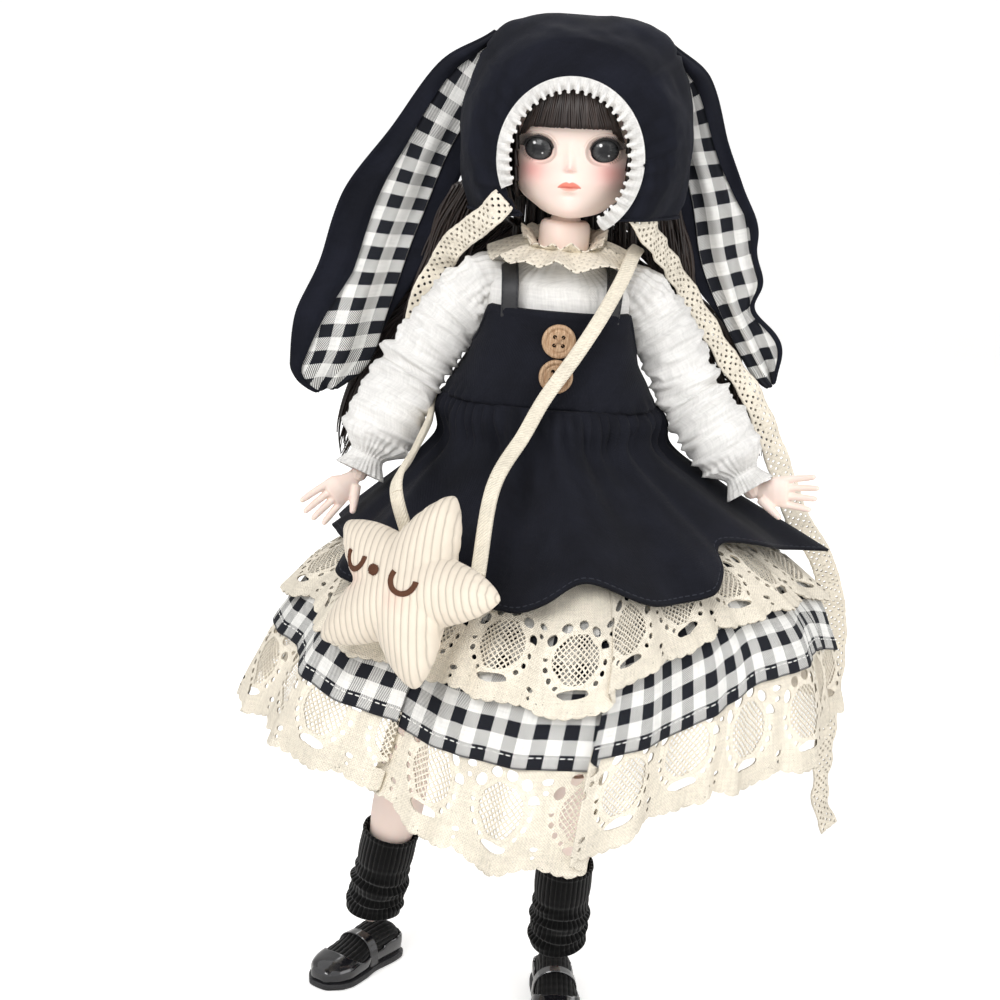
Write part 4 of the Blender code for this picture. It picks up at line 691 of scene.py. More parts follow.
def clothUv(tree):
    return addNode(tree, "ShaderNodeTexCoord").outputs["UV"]


def solidCoords(tree):
    return addNode(tree, "ShaderNodeTexCoord").outputs["Object"]


# a plain colour multiplied by a shade
def tinted(tree, color, shade):
    node = addNode(tree, "ShaderNodeVectorMath", operation="SCALE")
    node.inputs[0].default_value = color
    plug(tree, shade, node.inputs["Scale"])
    return node.outputs[0]


def wovenMaterial(name, color, rough=0.85, pitch=0.0005, twill=0.0, strength=0.5, spread=(0.85, 1.15),
                  sheen=0.0, depth=0.00012, coords=clothUv):
    made, tree, surface = material(name, {"Roughness": rough, "Specular IOR Level": 0.12})
    if sheen:
        surface.inputs["Sheen Weight"].default_value = sheen
        surface.inputs["Sheen Roughness"].default_value = 0.5
    where = coords(tree)
    weave = useGroup(tree, groups["weave"], vector=where, pitch=pitch, twill=twill)
    slow = useGroup(tree, groups["spread"], vector=where, scale=55.0, low=spread[0], high=spread[1])
    shade = Wire(tree, weave.outputs["Shade"]) * Wire(tree, slow.outputs["Shade"])
    plug(tree, tinted(tree, color, shade), surface.inputs["Base Color"])
    bump(tree, surface, weave.outputs["Height"], strength, depth)
    return made


def ginghamMaterial():
    made, tree, surface = material("gingham cloth", {"Roughness": 0.85, "Specular IOR Level": 0.2})
    where = clothUv(tree)
    check = useGroup(tree, groups["check"], vector=where)
    weave = useGroup(tree, groups["weave"], vector=where, pitch=0.0005)
    light = tinted(tree, (0.86, 0.85, 0.82), weave.outputs["Shade"])
    plug(tree, mixColor(tree, check.outputs["Dark"], light, (0.012, 0.013, 0.018)),
         surface.inputs["Base Color"])
    bump(tree, surface, weave.outputs["Height"], 0.45, 0.00012)
    return made


def laceMaterial(name, color, repeat=0.026, tall=0.030, scallop=1.0):
    made, tree, surface = material(name, {"Roughness": 0.9, "Specular IOR Level": 0.15})
    where = clothUv(tree)
    lace = useGroup(tree, groups["lace"], vector=where, repeat=repeat, tall=tall, scallop=scallop)
    weave = useGroup(tree, groups["weave"], vector=where, pitch=0.0007)
    # painted shade: the lace's colour follows its relief, darker on the low parts and lighter on the raised cords
    shade = Wire(tree, weave.outputs["Shade"]) * (Wire(tree, lace.outputs["Height"]) * 0.35 + 0.85)
    plug(tree, tinted(tree, color, shade), surface.inputs["Base Color"])
    plug(tree, Wire(tree, lace.outputs["Solid"]).between(0.35, 0.6), surface.inputs["Alpha"])
    bump(tree, surface, lace.outputs["Height"], 0.8, 0.00035)
    return made


# a narrow net or eyelet lace; edges gives the ribbon's width, whose borders stay closed
def crochetMaterial(name, color, pitch, thread, edges=None):
    made, tree, surface = material(name, {"Roughness": 0.9, "Specular IOR Level": 0.15})
    where = clothUv(tree)
    u, v, _ = xyOf(tree, where)
    wobble = noiseWire(tree, where, 400, 2) * 0.0005
    a = ((u + v + wobble) / pitch).math("FRACT") - 0.5
    b = ((u - v + wobble) / pitch).math("FRACT") - 0.5
    far = (a * a + b * b).math("SQRT")
    solid = far.between(thread, thread + 0.07)
    if edges:
        rim = (u / edges - 0.5).math("ABSOLUTE")
        solid = solid.math("MAXIMUM", rim.between(0.36, 0.40))
        solid = solid.math("MAXIMUM", rim.between(0.10, 0.06) * (waveOf(v, 0.004) * 0.5 + 0.5).between(0.4,
                0.6))
    weave = useGroup(tree, groups["weave"], vector=where, pitch=0.0007)
    plug(tree, tinted(tree, color, weave.outputs["Shade"]), surface.inputs["Base Color"])
    plug(tree, solid, surface.inputs["Alpha"])
    bump(tree, surface, far * 1.2 + Wire(tree, weave.outputs["Height"]) * 0.3, 0.7, 0.0003)
    return made


def vinylMaterial(name, color, rough=0.42):
    made, tree, surface = material(name, {"Roughness": rough, "Specular IOR Level": 0.4,
                                          "Subsurface Weight": 0.12, "Subsurface Radius": (0.004, 0.0018,
            0.001), "Subsurface Scale": 0.5})
    where = solidCoords(tree)
    slow = useGroup(tree, groups["spread"], vector=where, scale=60.0, low=0.97, high=1.02)
    plug(tree, tinted(tree, color, slow.outputs["Shade"]), surface.inputs["Base Color"])
    bump(tree, surface, noiseWire(tree, where, 1500, 2), 0.05, 0.0001)
    return made


# skin of the face, whose painted colours are kept in the paint attribute: colour and how much of it
def faceMaterial():
    made, tree, surface = material("face vinyl",
                                   {"Roughness": 0.40, "Specular IOR Level": 0.4,
                                    "Subsurface Weight": 0.12, "Subsurface Radius": (0.004, 0.0018, 0.001),
                                    "Subsurface Scale": 0.5})
    where = solidCoords(tree)
    paint = addNode(tree, "ShaderNodeAttribute", attribute_name="paint")
    slow = useGroup(tree, groups["spread"], vector=where, scale=60.0, low=0.98, high=1.015)
    skin = tinted(tree, tones["skin"], slow.outputs["Shade"])
    plug(tree, mixColor(tree, paint.outputs["Alpha"], skin, paint.outputs["Color"]),
         surface.inputs["Base Color"])
    bump(tree, surface, noiseWire(tree, where, 1600, 2), 0.05, 0.0001)
    return made


def hairMaterial():
    made, tree, surface = material("dark brown hair", {"Roughness": 0.42, "Specular IOR Level": 0.55})
    where = clothUv(tree)
    strands = useGroup(tree, groups["strands"], vector=where)
    other = addNode(tree, "ShaderNodeAttribute", attribute_name="tone")
    tone = Wire(tree, other.outputs["Fac"])
    color = mixColor(tree, Wire(tree, strands.outputs["Shade"]) * 0.5 + tone * 0.5,
                     (0.0060, 0.0034, 0.0029), (0.032, 0.016, 0.0105))
    plug(tree, color, surface.inputs["Base Color"])
    bump(tree, surface, strands.outputs["Height"], 0.5, 0.0001)
    return made


def eyeMaterial():
    made, tree, surface = material("glass eye", {"Roughness": 0.22, "Coat Weight": 0.4,
                                                 "Coat Roughness": 0.03, "Specular IOR Level": 0.15})
    u, v, _ = xyOf(tree, clothUv(tree))
    far = (u * u + v * v).math("SQRT")
    angle = v.math("ARCTAN2", u)
    around = addNode(tree, "ShaderNodeCombineXYZ",
                     {"X": angle.math("COSINE") * 9, "Y": angle.math("SINE") * 9, "Z": far * 420})
    fibres = addNode(tree, "ShaderNodeTexNoise", {"Vector": around.outputs[0], "Scale": 1.6, "Detail": 4})
    fibre = Wire(tree, fibres.outputs["Fac"]).between(0.35, 0.68)
    iris = mixColor(tree, fibre, (0.006, 0.0065, 0.007), (0.046, 0.048, 0.050))
    halo = far.between(0.0014, 0.0024) * far.between(0.0036, 0.0028)
    iris = mixColor(tree, halo * 0.40, iris, (0.085, 0.086, 0.088))
    iris = mixColor(tree, far.between(0.0034, 0.0039), iris, (0.010, 0.010, 0.012))
    iris = mixColor(tree, far.between(0.0024, 0.0011), iris, (0.012, 0.012, 0.014))
    whole = mixColor(tree, far.between(0.0044, 0.0047), iris, (0.74, 0.73, 0.71))
    # painted highlights: two small pale spots in the eye's colour stand for reflections on the glass
    paintedSpark = ((u + 0.0013) * (u + 0.0013) + (v - 0.0016) * (v - 0.0016)).math("SQRT").between(0.00052, 0.00036)
    paintedSparkSmall = ((u - 0.0012) * (u - 0.0012) + (v + 0.0013) * (v + 0.0013)).math("SQRT").between(0.00034,
            0.00018)
    paintedGlint = (paintedSpark + paintedSparkSmall * 0.6).math("MINIMUM", 1)
    plug(tree, mixColor(tree, paintedGlint, whole, (0.9, 0.9, 0.9)), surface.inputs["Base Color"])
    return made


def leatherMaterial(name, color, rough, scale, strength, coat=0.0):
    made, tree, surface = material(name, {"Roughness": rough, "Specular IOR Level": 0.5, "Coat Weight": coat,
                                          "Coat Roughness": 0.06})
    where = solidCoords(tree)
    cells = addNode(tree, "ShaderNodeTexVoronoi", {"Vector": where, "Scale": scale},
                    feature="DISTANCE_TO_EDGE")
    slow = useGroup(tree, groups["spread"], vector=where, scale=90.0, low=0.8, high=1.2)
    plug(tree, tinted(tree, color, slow.outputs["Shade"]), surface.inputs["Base Color"])
    bump(tree, surface, Wire(tree, cells.outputs["Distance"]).between(0.0, 0.25), strength, 0.0001)
    return made


def woodMaterial():
    made, tree, surface = material("turned wood", {"Roughness": 0.55, "Specular IOR Level": 0.3})
    where = solidCoords(tree)
    grain = noiseWire(tree, where, 1, 5, (3400, 800, 300))
    fleck = noiseWire(tree, where, 2600, 2).between(0.56, 0.64)
    color = mixColor(tree, grain.between(0.3, 0.7), (0.36, 0.21, 0.115), (0.60, 0.42, 0.27))
    color = mixColor(tree, fleck * 0.35, color, (0.22, 0.12, 0.06))
    plug(tree, color, surface.inputs["Base Color"])
    bump(tree, surface, grain, 0.25, 0.0001)
    return made


def corduroyMaterial(name, color, pitch, rough=0.9, strength=0.8, depth=0.0004, paintedShade=0.55):
    made, tree, surface = material(name, {"Roughness": rough, "Specular IOR Level": 0.15,
                                          "Sheen Weight": 0.15})
    where = clothUv(tree)
    rib = useGroup(tree, groups["rib"], vector=where, pitch=pitch)
    slow = useGroup(tree, groups["spread"], vector=where, scale=60.0, low=0.93, high=1.05)
    # painted shade: the grooves between the ribs are darkened in the colour, down to the given share of its
    # brightness
    shade = (Wire(tree, rib.outputs["ValleyShade"]) * -(1 - paintedShade) + 1) * Wire(tree, slow.outputs["Shade"])
    paint = addNode(tree, "ShaderNodeAttribute", attribute_name="paint")
    base = mixColor(tree, paint.outputs["Alpha"], color, paint.outputs["Color"])
    node = addNode(tree, "ShaderNodeVectorMath", operation="SCALE")
    tree.links.new(base, node.inputs[0])
    plug(tree, shade, node.inputs["Scale"])
    plug(tree, node.outputs[0], surface.inputs["Base Color"])
    bump(tree, surface, rib.outputs["Height"], strength, depth)
    return made


tones = dict(
    skin=(0.90, 0.735, 0.655), joint=(0.86, 0.70, 0.62), cream=(0.86, 0.79, 0.665), white=(0.84, 0.825, 0.80),
    black=(0.0072, 0.0080, 0.0135), twill=(0.0070, 0.0076, 0.0120), bagStrap=(0.82, 0.75, 0.62),
)
black = wovenMaterial("navy black cotton", tones["black"], 0.8, 0.00045, 0.0, 0.5, (0.75, 1.35), 0.02)
twill = wovenMaterial("black twill", tones["twill"], 0.78, 0.00085, 1.0, 0.7, (0.75, 1.3), 0.02)
thread = wovenMaterial("dark stitching", (0.03, 0.032, 0.04), 0.8, 0.0006)
tanThread = wovenMaterial("tan thread", (0.36, 0.23, 0.14), 0.8, 0.0006)
gingham = ginghamMaterial()
whiteCotton = wovenMaterial("white cotton", tones["white"], 0.85, 0.00055, 0.0, 0.6, (0.95, 1.03),
                            depth=0.00015)
hemLace = laceMaterial("hem lace", tones["cream"])
tierLace = laceMaterial("tier lace", tones["cream"], 0.026, 0.029)
ribbonLace = crochetMaterial("ribbon lace", tones["cream"], 0.0026, 0.20, 0.0075)
collarLace = crochetMaterial("collar lace", tones["cream"], 0.0030, 0.10)
vinyl = vinylMaterial("cream vinyl", tones["skin"])
jointPlastic = vinylMaterial("joint plastic", tones["joint"], 0.32)
faceVinyl = faceMaterial()
hair = hairMaterial()
glassEye = eyeMaterial()
leather = leatherMaterial("black leather", (0.012, 0.012, 0.014), 0.42, 2300, 0.5)
patent = leatherMaterial("patent leather", (0.008, 0.008, 0.010), 0.10, 500, 0.12, 0.8)
wood = woodMaterial()
corduroy = corduroyMaterial("cream corduroy", (0.81, 0.72, 0.60), 0.0020, paintedShade=0.80)
knit = corduroyMaterial("black ribbed knit", (0.016, 0.016, 0.018), 0.0017, 0.95, 0.9, 0.0005, 0.45)
webbing = wovenMaterial("cotton webbing", tones["bagStrap"], 0.9, 0.0011, 1.0, 1.0, (0.93, 1.04),
                        depth=0.0003)
metal, _, _ = material("blackened buckle", {"Base Color": (0.05, 0.05, 0.055), "Metallic": 1.0,
                                            "Roughness": 0.3})
print("materials ready")


# Limbs of the hidden body

def cadObject(node):
    return bpy.data.objects[node]


# gives the CAD pieces that stay in view their finish
def keepCad(nodes, finish):
    for node in nodes:
        cadObject(node).data.materials.clear()
        cadObject(node).data.materials.append(finish)


def smoothShares(shares, count):
    shares = np.array(shares, float)
    want = np.linspace(shares[0, 0], shares[-1, 0], count)
    columns = [want]
    for index in range(1, shares.shape[1]):
        columns.append(hermite(shares[:, 0], shares[:, index], want))
    return np.stack(columns, 1)


# a smooth reading that keeps the listed values and doesn't overshoot
def hermite(xs, ys, want):
    xs, ys = np.asarray(xs, float), np.asarray(ys, float)
    steps = np.diff(ys) / np.diff(xs)
    slopes = np.zeros(len(xs))
    slopes[1:-1] = np.where(steps[:-1] * steps[1:] > 0,
                            2 * steps[:-1] * steps[1:] / (steps[:-1] + steps[1:] + 1e-12), 0)
    slopes[0], slopes[-1] = steps[0], steps[-1]
    spot = np.clip(np.searchsorted(xs, want, side="right") - 1, 0, len(xs) - 2)
    width = xs[spot + 1] - xs[spot]
    t = np.clip((want - xs[spot]) / width, 0, 1)
    return ((2 * t**3 - 3 * t**2 + 1) * ys[spot] + (t**3 - 2 * t**2 + t) * width * slopes[spot]
            + (-2 * t**3 + 3 * t**2) * ys[spot + 1] + (t**3 - t**2) * width * slopes[spot + 1])


legs = dict(right=dict(hip=(-28.06, 2.35, 160), thighDown=(-0.2476, 0.0121, -0.9688),
                       thighForward=(-0.559, -0.818, 0.133), knee=(-46.01, 3.22, 89.76),
                       shinDown=(-0.1317, 0.1742, -0.9759), shinForward=(-0.597, -0.8, -0.062),
                       ankle=(-55.56, 15.85, 19), footForward=(-0.588, -0.809, 0)),
            left=dict(hip=(2.94, 2.35, 160), thighDown=(0.0252, -0.2443, -0.9694),
                      thighForward=(0.030, -0.969, 0.245), knee=(4.77, -15.36, 89.71),
                      shinDown=(0.0092, 0.2208, -0.9753), shinForward=(0.038, -0.975, -0.22),
                      ankle=(5.44, 0.65, 19), footForward=(0.035, -0.999, 0)),)
arms = dict(right=dict(shoulder=(-39.56, 4.35, 229.5), upperDown=(-0.529, -0.130, -0.839),
                       elbow=(-56.76, 0.13, 202.25), foreDown=(-0.360, -0.250, -0.899),
                       wrist=(-68.63, -8.11, 172.58), handDown=(-0.723, -0.301, -0.622),
                       palm=(0.319, -0.944, 0.086)), left=dict(shoulder=(14.44, 4.35, 229.5),
                                                               upperDown=(0.541, -0.130, -0.831),
                                                               elbow=(32.01, 0.12, 202.49),
                                                               foreDown=(0.561, -0.241, -0.792),
                                                               wrist=(50.53, -7.82, 176.36),
                                                               handDown=(0.958, -0.268, 0.103),
                                                               palm=(-0.278, -0.955, 0.100)),)


def world(place):
    return Vector(place) * mm


# each limb: its length and radius, the rim over the ball above, the rim round the ball below, and its widths
limbs = dict(thigh=dict(node="thigh", shape="leg_upper", length=72.5, radius=10.5, cup=(8.4, 4.4),
                        end=(5.6, 5.0), shares=((0.12, 1.0, 0), (0.38, 0.98, -0.03), (0.62, 0.84, -0.03),
                                                (0.84, 0.68, 0))), shin=dict(node="shin",
        shape="leg_lower", length=72.5, radius=8.5, cup=(5.6, 4.65), end=(5.2, 3.1),
        shares=((0.13, 0.72, 0), (0.28, 0.95, 0.08), (0.42, 0.98, 0.12), (0.66, 0.74, 0.05))),
             upperArm=dict(node="upper_arm", shape="arm_upper", length=32.5, radius=5.0, cup=(6.0, 2.6),
                           end=(3.8, 3.0), shares=((0.14, 1.04, 0), (0.32, 1.0, 0), (0.60, 0.92, 0))),
             foreArm=dict(node="forearm", shape="arm_lower", length=33.0, radius=4.3, cup=(3.8, 2.9),
                          end=(3.0, 2.1), shares=((0.18, 0.98, 0), (0.40, 1.0, 0), (0.70, 0.86, 0))),)


def makeLimb(limb, side, frame):
    length, radius, cup, end = (limb[key] for key in ("length", "radius", "cup", "end"))
    table = [(cup[1] / length, cup[0] / radius, 0)] + list(limb["shares"]) + [(1 - end[1] / length,
            end[0] / radius, 0)]
    rows = smoothShares(table, 40)
    profile = [(cup[0] * 0.86, -cup[1] - 0.8, 0)]
    profile += [(radius * wide, -length * down, radius * bow) for down, wide, bow in rows]
    profile += [(end[0] * 0.84, -length + end[1] + 0.8, 0)]
    obj = gridObject(f"{limb['shape']}_{side}", turnedPoints(profile, 48, frame), [vinyl], around=True)
    closeEnds(obj, 48)
    node = f"{limb['node']}_{side}"
    finishObject(obj, node, [node])


for side, leg in legs.items():
    makeLimb(limbs["thigh"], side, frameOn(world(leg["hip"]), leg["thighDown"], leg["thighForward"]))
    makeLimb(limbs["shin"], side, frameOn(world(leg["knee"]), leg["shinDown"], leg["shinForward"]))
for side, arm in arms.items():
    makeLimb(limbs["upperArm"], side, frameOn(world(arm["shoulder"]), arm["upperDown"], (0, -1, 0)))
    makeLimb(limbs["foreArm"], side, frameOn(world(arm["elbow"]), arm["foreDown"], (0, -1, 0)))
print("limbs ready")


# Hands: palm, jointed fingers and thumb melted together

palmShares = ((0.10, 0.50, 0.95), (0.30, 0.66, 1.0), (0.60, 0.95, 1.0), (0.88, 1.0, 0.86), (1.0, 0.92, 0.62))
fingerShares = ((-0.75, 0.78, -0.16), (-0.26, 0.94, -0.04), (0.24, 1.0, 0.04), (0.73, 0.90, 0.14))


handSizes = dict(long=11.5, wide=4.8, finger=10.5, slim=1.1, melt=0.00026)


def makeHand(side):
    arm, sign = arms[side], -1 if side == "right" else 1
    frame = frameOn(world(arm["wrist"]), arm["handDown"], arm["palm"])
    long, wide, finger, slim = (handSizes[key] for key in ("long", "wide", "finger", "slim"))
    parts = []

    def chain(points, radii, sides=14, flat=(0, -1, 0), squash=1.0):
        route = smoothRoute([Vector(p) for p in points], 22)
        spans = np.interp(np.linspace(0, 1, 22), np.linspace(0, 1, len(radii)), radii)
        spans[0] *= 0.5
        spans[-1] *= 0.45
        parts.append(strand(route, spans, sides, flat, squash))

    chain([(0, 0, -1.6)] + [(0, 0, -long * d) for d, _, _ in palmShares],
          [wide * 0.5] + [wide * w for _, w, _ in palmShares], 22, (0, -1, 0), 0.5)
    for index, (across, length, spread) in enumerate(fingerShares):
        start = Vector((sign * wide * across, 0, -long * 0.78))
        aim = Vector((sign * spread, 0, -1)).normalized()
        reach = finger * length + long * 0.12
        curl = 0.04 + 0.02 * index
        points = [start + aim * reach * t + Vector((0, -1, 0)) * reach * (curl * 0.3 + 0.17 * t * t)
                  for t in (0, 0.3, 0.58, 0.8, 1.0)]
        chain(points, [slim * 1.12, slim * 1.06, slim * 1.0, slim * 0.94, slim * 0.72])
    start = Vector((-sign * wide * 0.42, 0, -long * 0.26))
    aim = Vector((-sign * 0.72, -0.25, -0.66)).normalized()
    points = [start + aim * 8.4 * t + Vector((0, -0.5 * t * t, -0.9 * t * t)) for t in (0, 0.35, 0.7, 1.0)]
    chain(points, [slim * 1.75, slim * 1.5, slim * 1.15, slim * 0.8])
    hand = joinMeshes(f"hand_shape_{side}", [(p * mm, f) for p, f in parts], [vinyl])
    hand.data.transform(frame)
    melt = hand.modifiers.new("melt", "REMESH")
    melt.mode, melt.voxel_size = "VOXEL", handSizes["melt"]
    soft = hand.modifiers.new("soft", "SMOOTH")
    soft.factor, soft.iterations = 0.5, 7
    applyAll(hand)
    hand.data.shade_smooth()
    finishObject(hand, f"hand_{side}", [f"hand_{side}"])


for side in arms:
    makeHand(side)
print("hands ready")


# Feet: knitted sock foot, patent shoe with strap and buckle, and the slouched leg of the sock

footShares = ((0.0, 0.45, 0.50, 0.10), (0.06, 0.72, 0.80, 0.0), (0.20, 0.80, 1.0, 0.0),
              (0.42, 0.78, 0.92, 0.0), (0.62, 0.95, 0.66, 0.0), (0.80, 1.0, 0.50, 0.0),
              (0.93, 0.78, 0.40, 0.02), (1.0, 0.42, 0.28, 0.08))


def footRows(grow, floor, rows, sides, flat=1.3):
    table = smoothShares(footShares, rows)
    rings = []
    angles = turnAngles(sides)
    for along, wide, high, lift in table:
        middle = 10.5 - 34 * along + grow * (1 - 2 * along)
        top, low = floor + 10.5 * high + 2 * grow, floor + 10.5 * lift
        centre = (top + low) / 2
        c, s = np.cos(angles), np.sin(angles)
        x = (6.6 * wide + grow) * np.sign(c) * np.abs(c) ** (2 / 2.5)
        z = (top - low) / 2 * np.sign(s) * np.abs(s) ** (2 / 2.5)
        z = np.where(z < 0, np.maximum(z * flat, low - centre), z) + centre
        rings.append(np.stack([x, np.full(sides, middle), z], 1))
    return np.array(rings)


# adds shrinking rings at the heel and toe, so both ends are rounded
def roundTips(rings, steps=5):
    def tip(ring, outward, reach):
        centre = ring.mean(0)
        made = []
        for step in range(1, steps + 1):
            angle = step / steps * math.pi / 2 * 0.96
            scale = math.cos(angle)
            made.append(centre + (ring - centre) * scale
                        + np.array([0, outward * reach * math.sin(angle), 0]))
        return made
    heel, toe = tip(rings[0], 1, 1.0), tip(rings[-1], -1, 1.6)
    return np.array(heel[::-1] + list(rings) + toe)


def place(rings, frame):
    flat = np.c_[rings.reshape(-1, 3) * mm, np.ones(rings.size // 3)] @ np.array(frame).T
    return flat[:, :3].reshape(rings.shape)


shoe = dict(upperStand=1.35, soleStand=1.75, low=-19.0, soleTop=-16.9, wall=0.0009, strapAt=-6.6,
            strapHalf=1.9)


def makeShoe(side):
    leg = legs[side]
    foot = f"foot_{side}"
    frame = frameOn(world(leg["ankle"]), (0, 0, -1), leg["footForward"])
    sides = 48
    skin = roundTips(footRows(-0.1, -19 + 2.9, 30, sides))
    shape = gridObject(f"foot_shape_{side}", place(skin, frame), [vinyl], around=True)
    closeEnds(shape, sides)
    finishObject(shape, foot, [foot])
    sock = roundTips(footRows(0.30, -19 + 2.7, 40, sides))
    lengths = arcLengths(sock * mm)
    uv = np.stack([lengths, np.broadcast_to(np.linspace(0, 0.034, len(sock))[:, None], lengths.shape)], -1)
    sock = sock + np.array([0, 0, 1])[None, None] * (0.10 * np.sin(sock[..., 1:2] * 2.2)) * (sock[...,
            2:3] > -12)
    cover = gridObject(f"sock_foot_{side}", place(sock, frame), [knit], uv, around=True)
    closeEnds(cover, sides)
    finishObject(cover, foot, [f"sock_{side}"])
    # upper of the shoe: a shell open over the instep
    outer = roundTips(footRows(shoe["upperStand"], shoe["low"] + 0.9, 44, 64))
    body = bmesh.new()
    rows, cols = outer.shape[:2]
    rim = np.interp(np.arange(rows), [0, rows * 0.30, rows * 0.62, rows * 0.74, rows - 1],
                    [-9.3, -10.9, -12.6, -9.0, -6.0])
    tongue = np.interp(np.arange(rows), [0, rows * 0.62, rows * 0.72, rows - 1], [0, 0, 1, 1])
    verts = [[body.verts.new(p) for p in row] for row in outer]
    for r in range(rows - 1):
        for c in range(cols):
            n = (c + 1) % cols
            corners = (verts[r][c], verts[r][n], verts[r + 1][n], verts[r + 1][c])
            level = sum(v.co.z for v in corners) / 4
            if level < (rim[r] + rim[r + 1]) / 2 or tongue[r] >= 1:
                body.faces.new(corners)
    body.faces.new(verts[0][::-1])
    body.faces.new(verts[-1])
    loose = [v for v in body.verts if not v.link_faces]
    bmesh.ops.delete(body, geom=loose, context="VERTS")
    for _ in range(3):
        edge = [v for v in body.verts if v.is_boundary]
        bmesh.ops.smooth_vert(body, verts=edge, factor=0.5, use_axis_x=True, use_axis_y=True, use_axis_z=True)
    mesh = bpy.data.meshes.new(f"shoe_upper_{side}")
    body.normal_update()
    writeBody(body, mesh)
    mesh.transform(Matrix.Scale(mm, 4))
    mesh.transform(frame)
    mesh.shade_smooth()
    upper = newObject(f"shoe_upper_{side}", mesh, [patent])
    addWall(upper, shoe["wall"], -1)
    addFine(upper, 1)
    applyAll(upper)
    finishObject(upper, foot, [f"shoe_{side}"])
    # the sole, a little wider than the upper
    low, high = shoe["low"], shoe["soleTop"]
    sole = footRows(shoe["soleStand"], low, 44, 48)
    outline = np.array([[ring[:, 0].max(), ring[0, 1]] for ring in sole])
    outline = np.concatenate([[[0, outline[0, 1] + 1.3], [outline[0, 0] * 0.62, outline[0, 1] + 1.05]],
                              outline, [[outline[-1, 0] * 0.62, outline[-1, 1] - 1.3],
                                        [0, outline[-1, 1] - 1.9]]])
    loop = np.concatenate([outline, (outline * [-1, 1])[1:-1][::-1]])
    loop = smoothRoute([(x, y, 0) for x, y in np.concatenate([loop, loop[:1]])[::2]], 121)[:-1]
    rings = []
    for height, grow in ((low, -0.5), (low + 0.25, -0.15), (low + 1.4, 0.0), (high, -0.2),
                         (high + 0.1, -0.8)):
        centre = loop.mean(0)
        way = loop - centre
        ring = centre + way * (1 + grow / np.linalg.norm(way, axis=1, keepdims=True))
        ring[:, 2] = height
        rings.append(ring)
    made = gridObject(f"shoe_sole_{side}", place(np.array(rings), frame), [leather], around=True)
    closeEnds(made, 120)
    finishObject(made, foot, [f"shoe_{side}"])
    makeShoeStrap(side, foot, frame)


# the strap over the instep, with its buckle on the outer side
def makeShoeStrap(side, foot, frame):
    front, width = shoe["strapAt"], shoe["strapHalf"]
    ring = footRows(1.1, shoe["low"] + 1.2, 61, 96)[int(np.clip(round((10.5 - front) / 34 * 60), 0, 60))]
    half, high = ring[:, 0].max(), ring[:, 2].max()
    route = []
    for t in np.linspace(-1, 1, 31):
        angle = t * math.radians(100)
        rise = math.cos(angle) ** 0.6 if math.cos(angle) > 0 else 0
        route.append((math.sin(angle) * (half + 0.35), front + 0.6 * abs(t),
                      -16.0 + (high + 16.0 + 0.45) * rise))
    route = np.array(route)
    along = alongRoute(route)
    across = np.array([0, 1.0, 0])
    outward = np.cross(across, along)
    cross = [(-width, 0.0), (-width * 0.9, 0.38), (width * 0.9, 0.38), (width, 0.0), (width * 0.9, -0.3),
             (-width * 0.9, -0.3)]
    rows = np.array([[p + across * a + o * b for a, b in cross] for p, o in zip(route, outward)])
    strap = gridObject(f"shoe_strap_{side}", place(rows, frame), [patent], around=True)
    closeEnds(strap, len(cross))
    bevelEdges(strap, 0.00012)
    finishObject(strap, foot, [f"shoe_{side}"])
    buckleAt = 24 if side == "left" else 6
    spot, normal, tangent = route[buckleAt], outward[buckleAt], along[buckleAt]
    corners = [(-2.4, -1.5), (2.4, -1.5), (2.4, 1.5), (-2.4, 1.5)]
    loop = [Vector(spot + normal * 0.75 + across * a + tangent * b) for a, b in corners]
    loop = [p for a, b in zip(loop, loop[1:] + loop[:1])
            for p in (a.lerp(b, 0.08), a.lerp(b, 0.5), a.lerp(b, 0.92))]
    frameAxes = np.array(frame)[:3]
    loop = place(np.array(loop + loop[:1])[None], frame)[0]
    pin = np.array([[spot + normal * 0.75 - tangent * 1.5, spot + normal * 1.0,
                     spot + normal * 0.75 + tangent * 1.5]])
    buckle = tube(f"shoe_buckle_{side}", loop, 0.00026, metal, 8, flat=tuple(frameAxes[:, 2]))
    pin = tube(f"shoe_pin_{side}", place(pin, frame)[0], 0.0002, metal, 8, flat=tuple(frameAxes[:, 1]))
    for extra in (buckle, pin):
        finishObject(extra, foot, [f"shoe_{side}"])


def bevelEdges(obj, width):
    step = obj.modifiers.new("edge", "BEVEL")
    step.width, step.segments, step.limit_method, step.angle_limit = width, 2, "ANGLE", math.radians(40)
    applyAll(obj)
    obj.data.shade_smooth()


sockLeg = dict(top=32, low=0.9, wall=0.0008, flat=(0.058, 0.046))


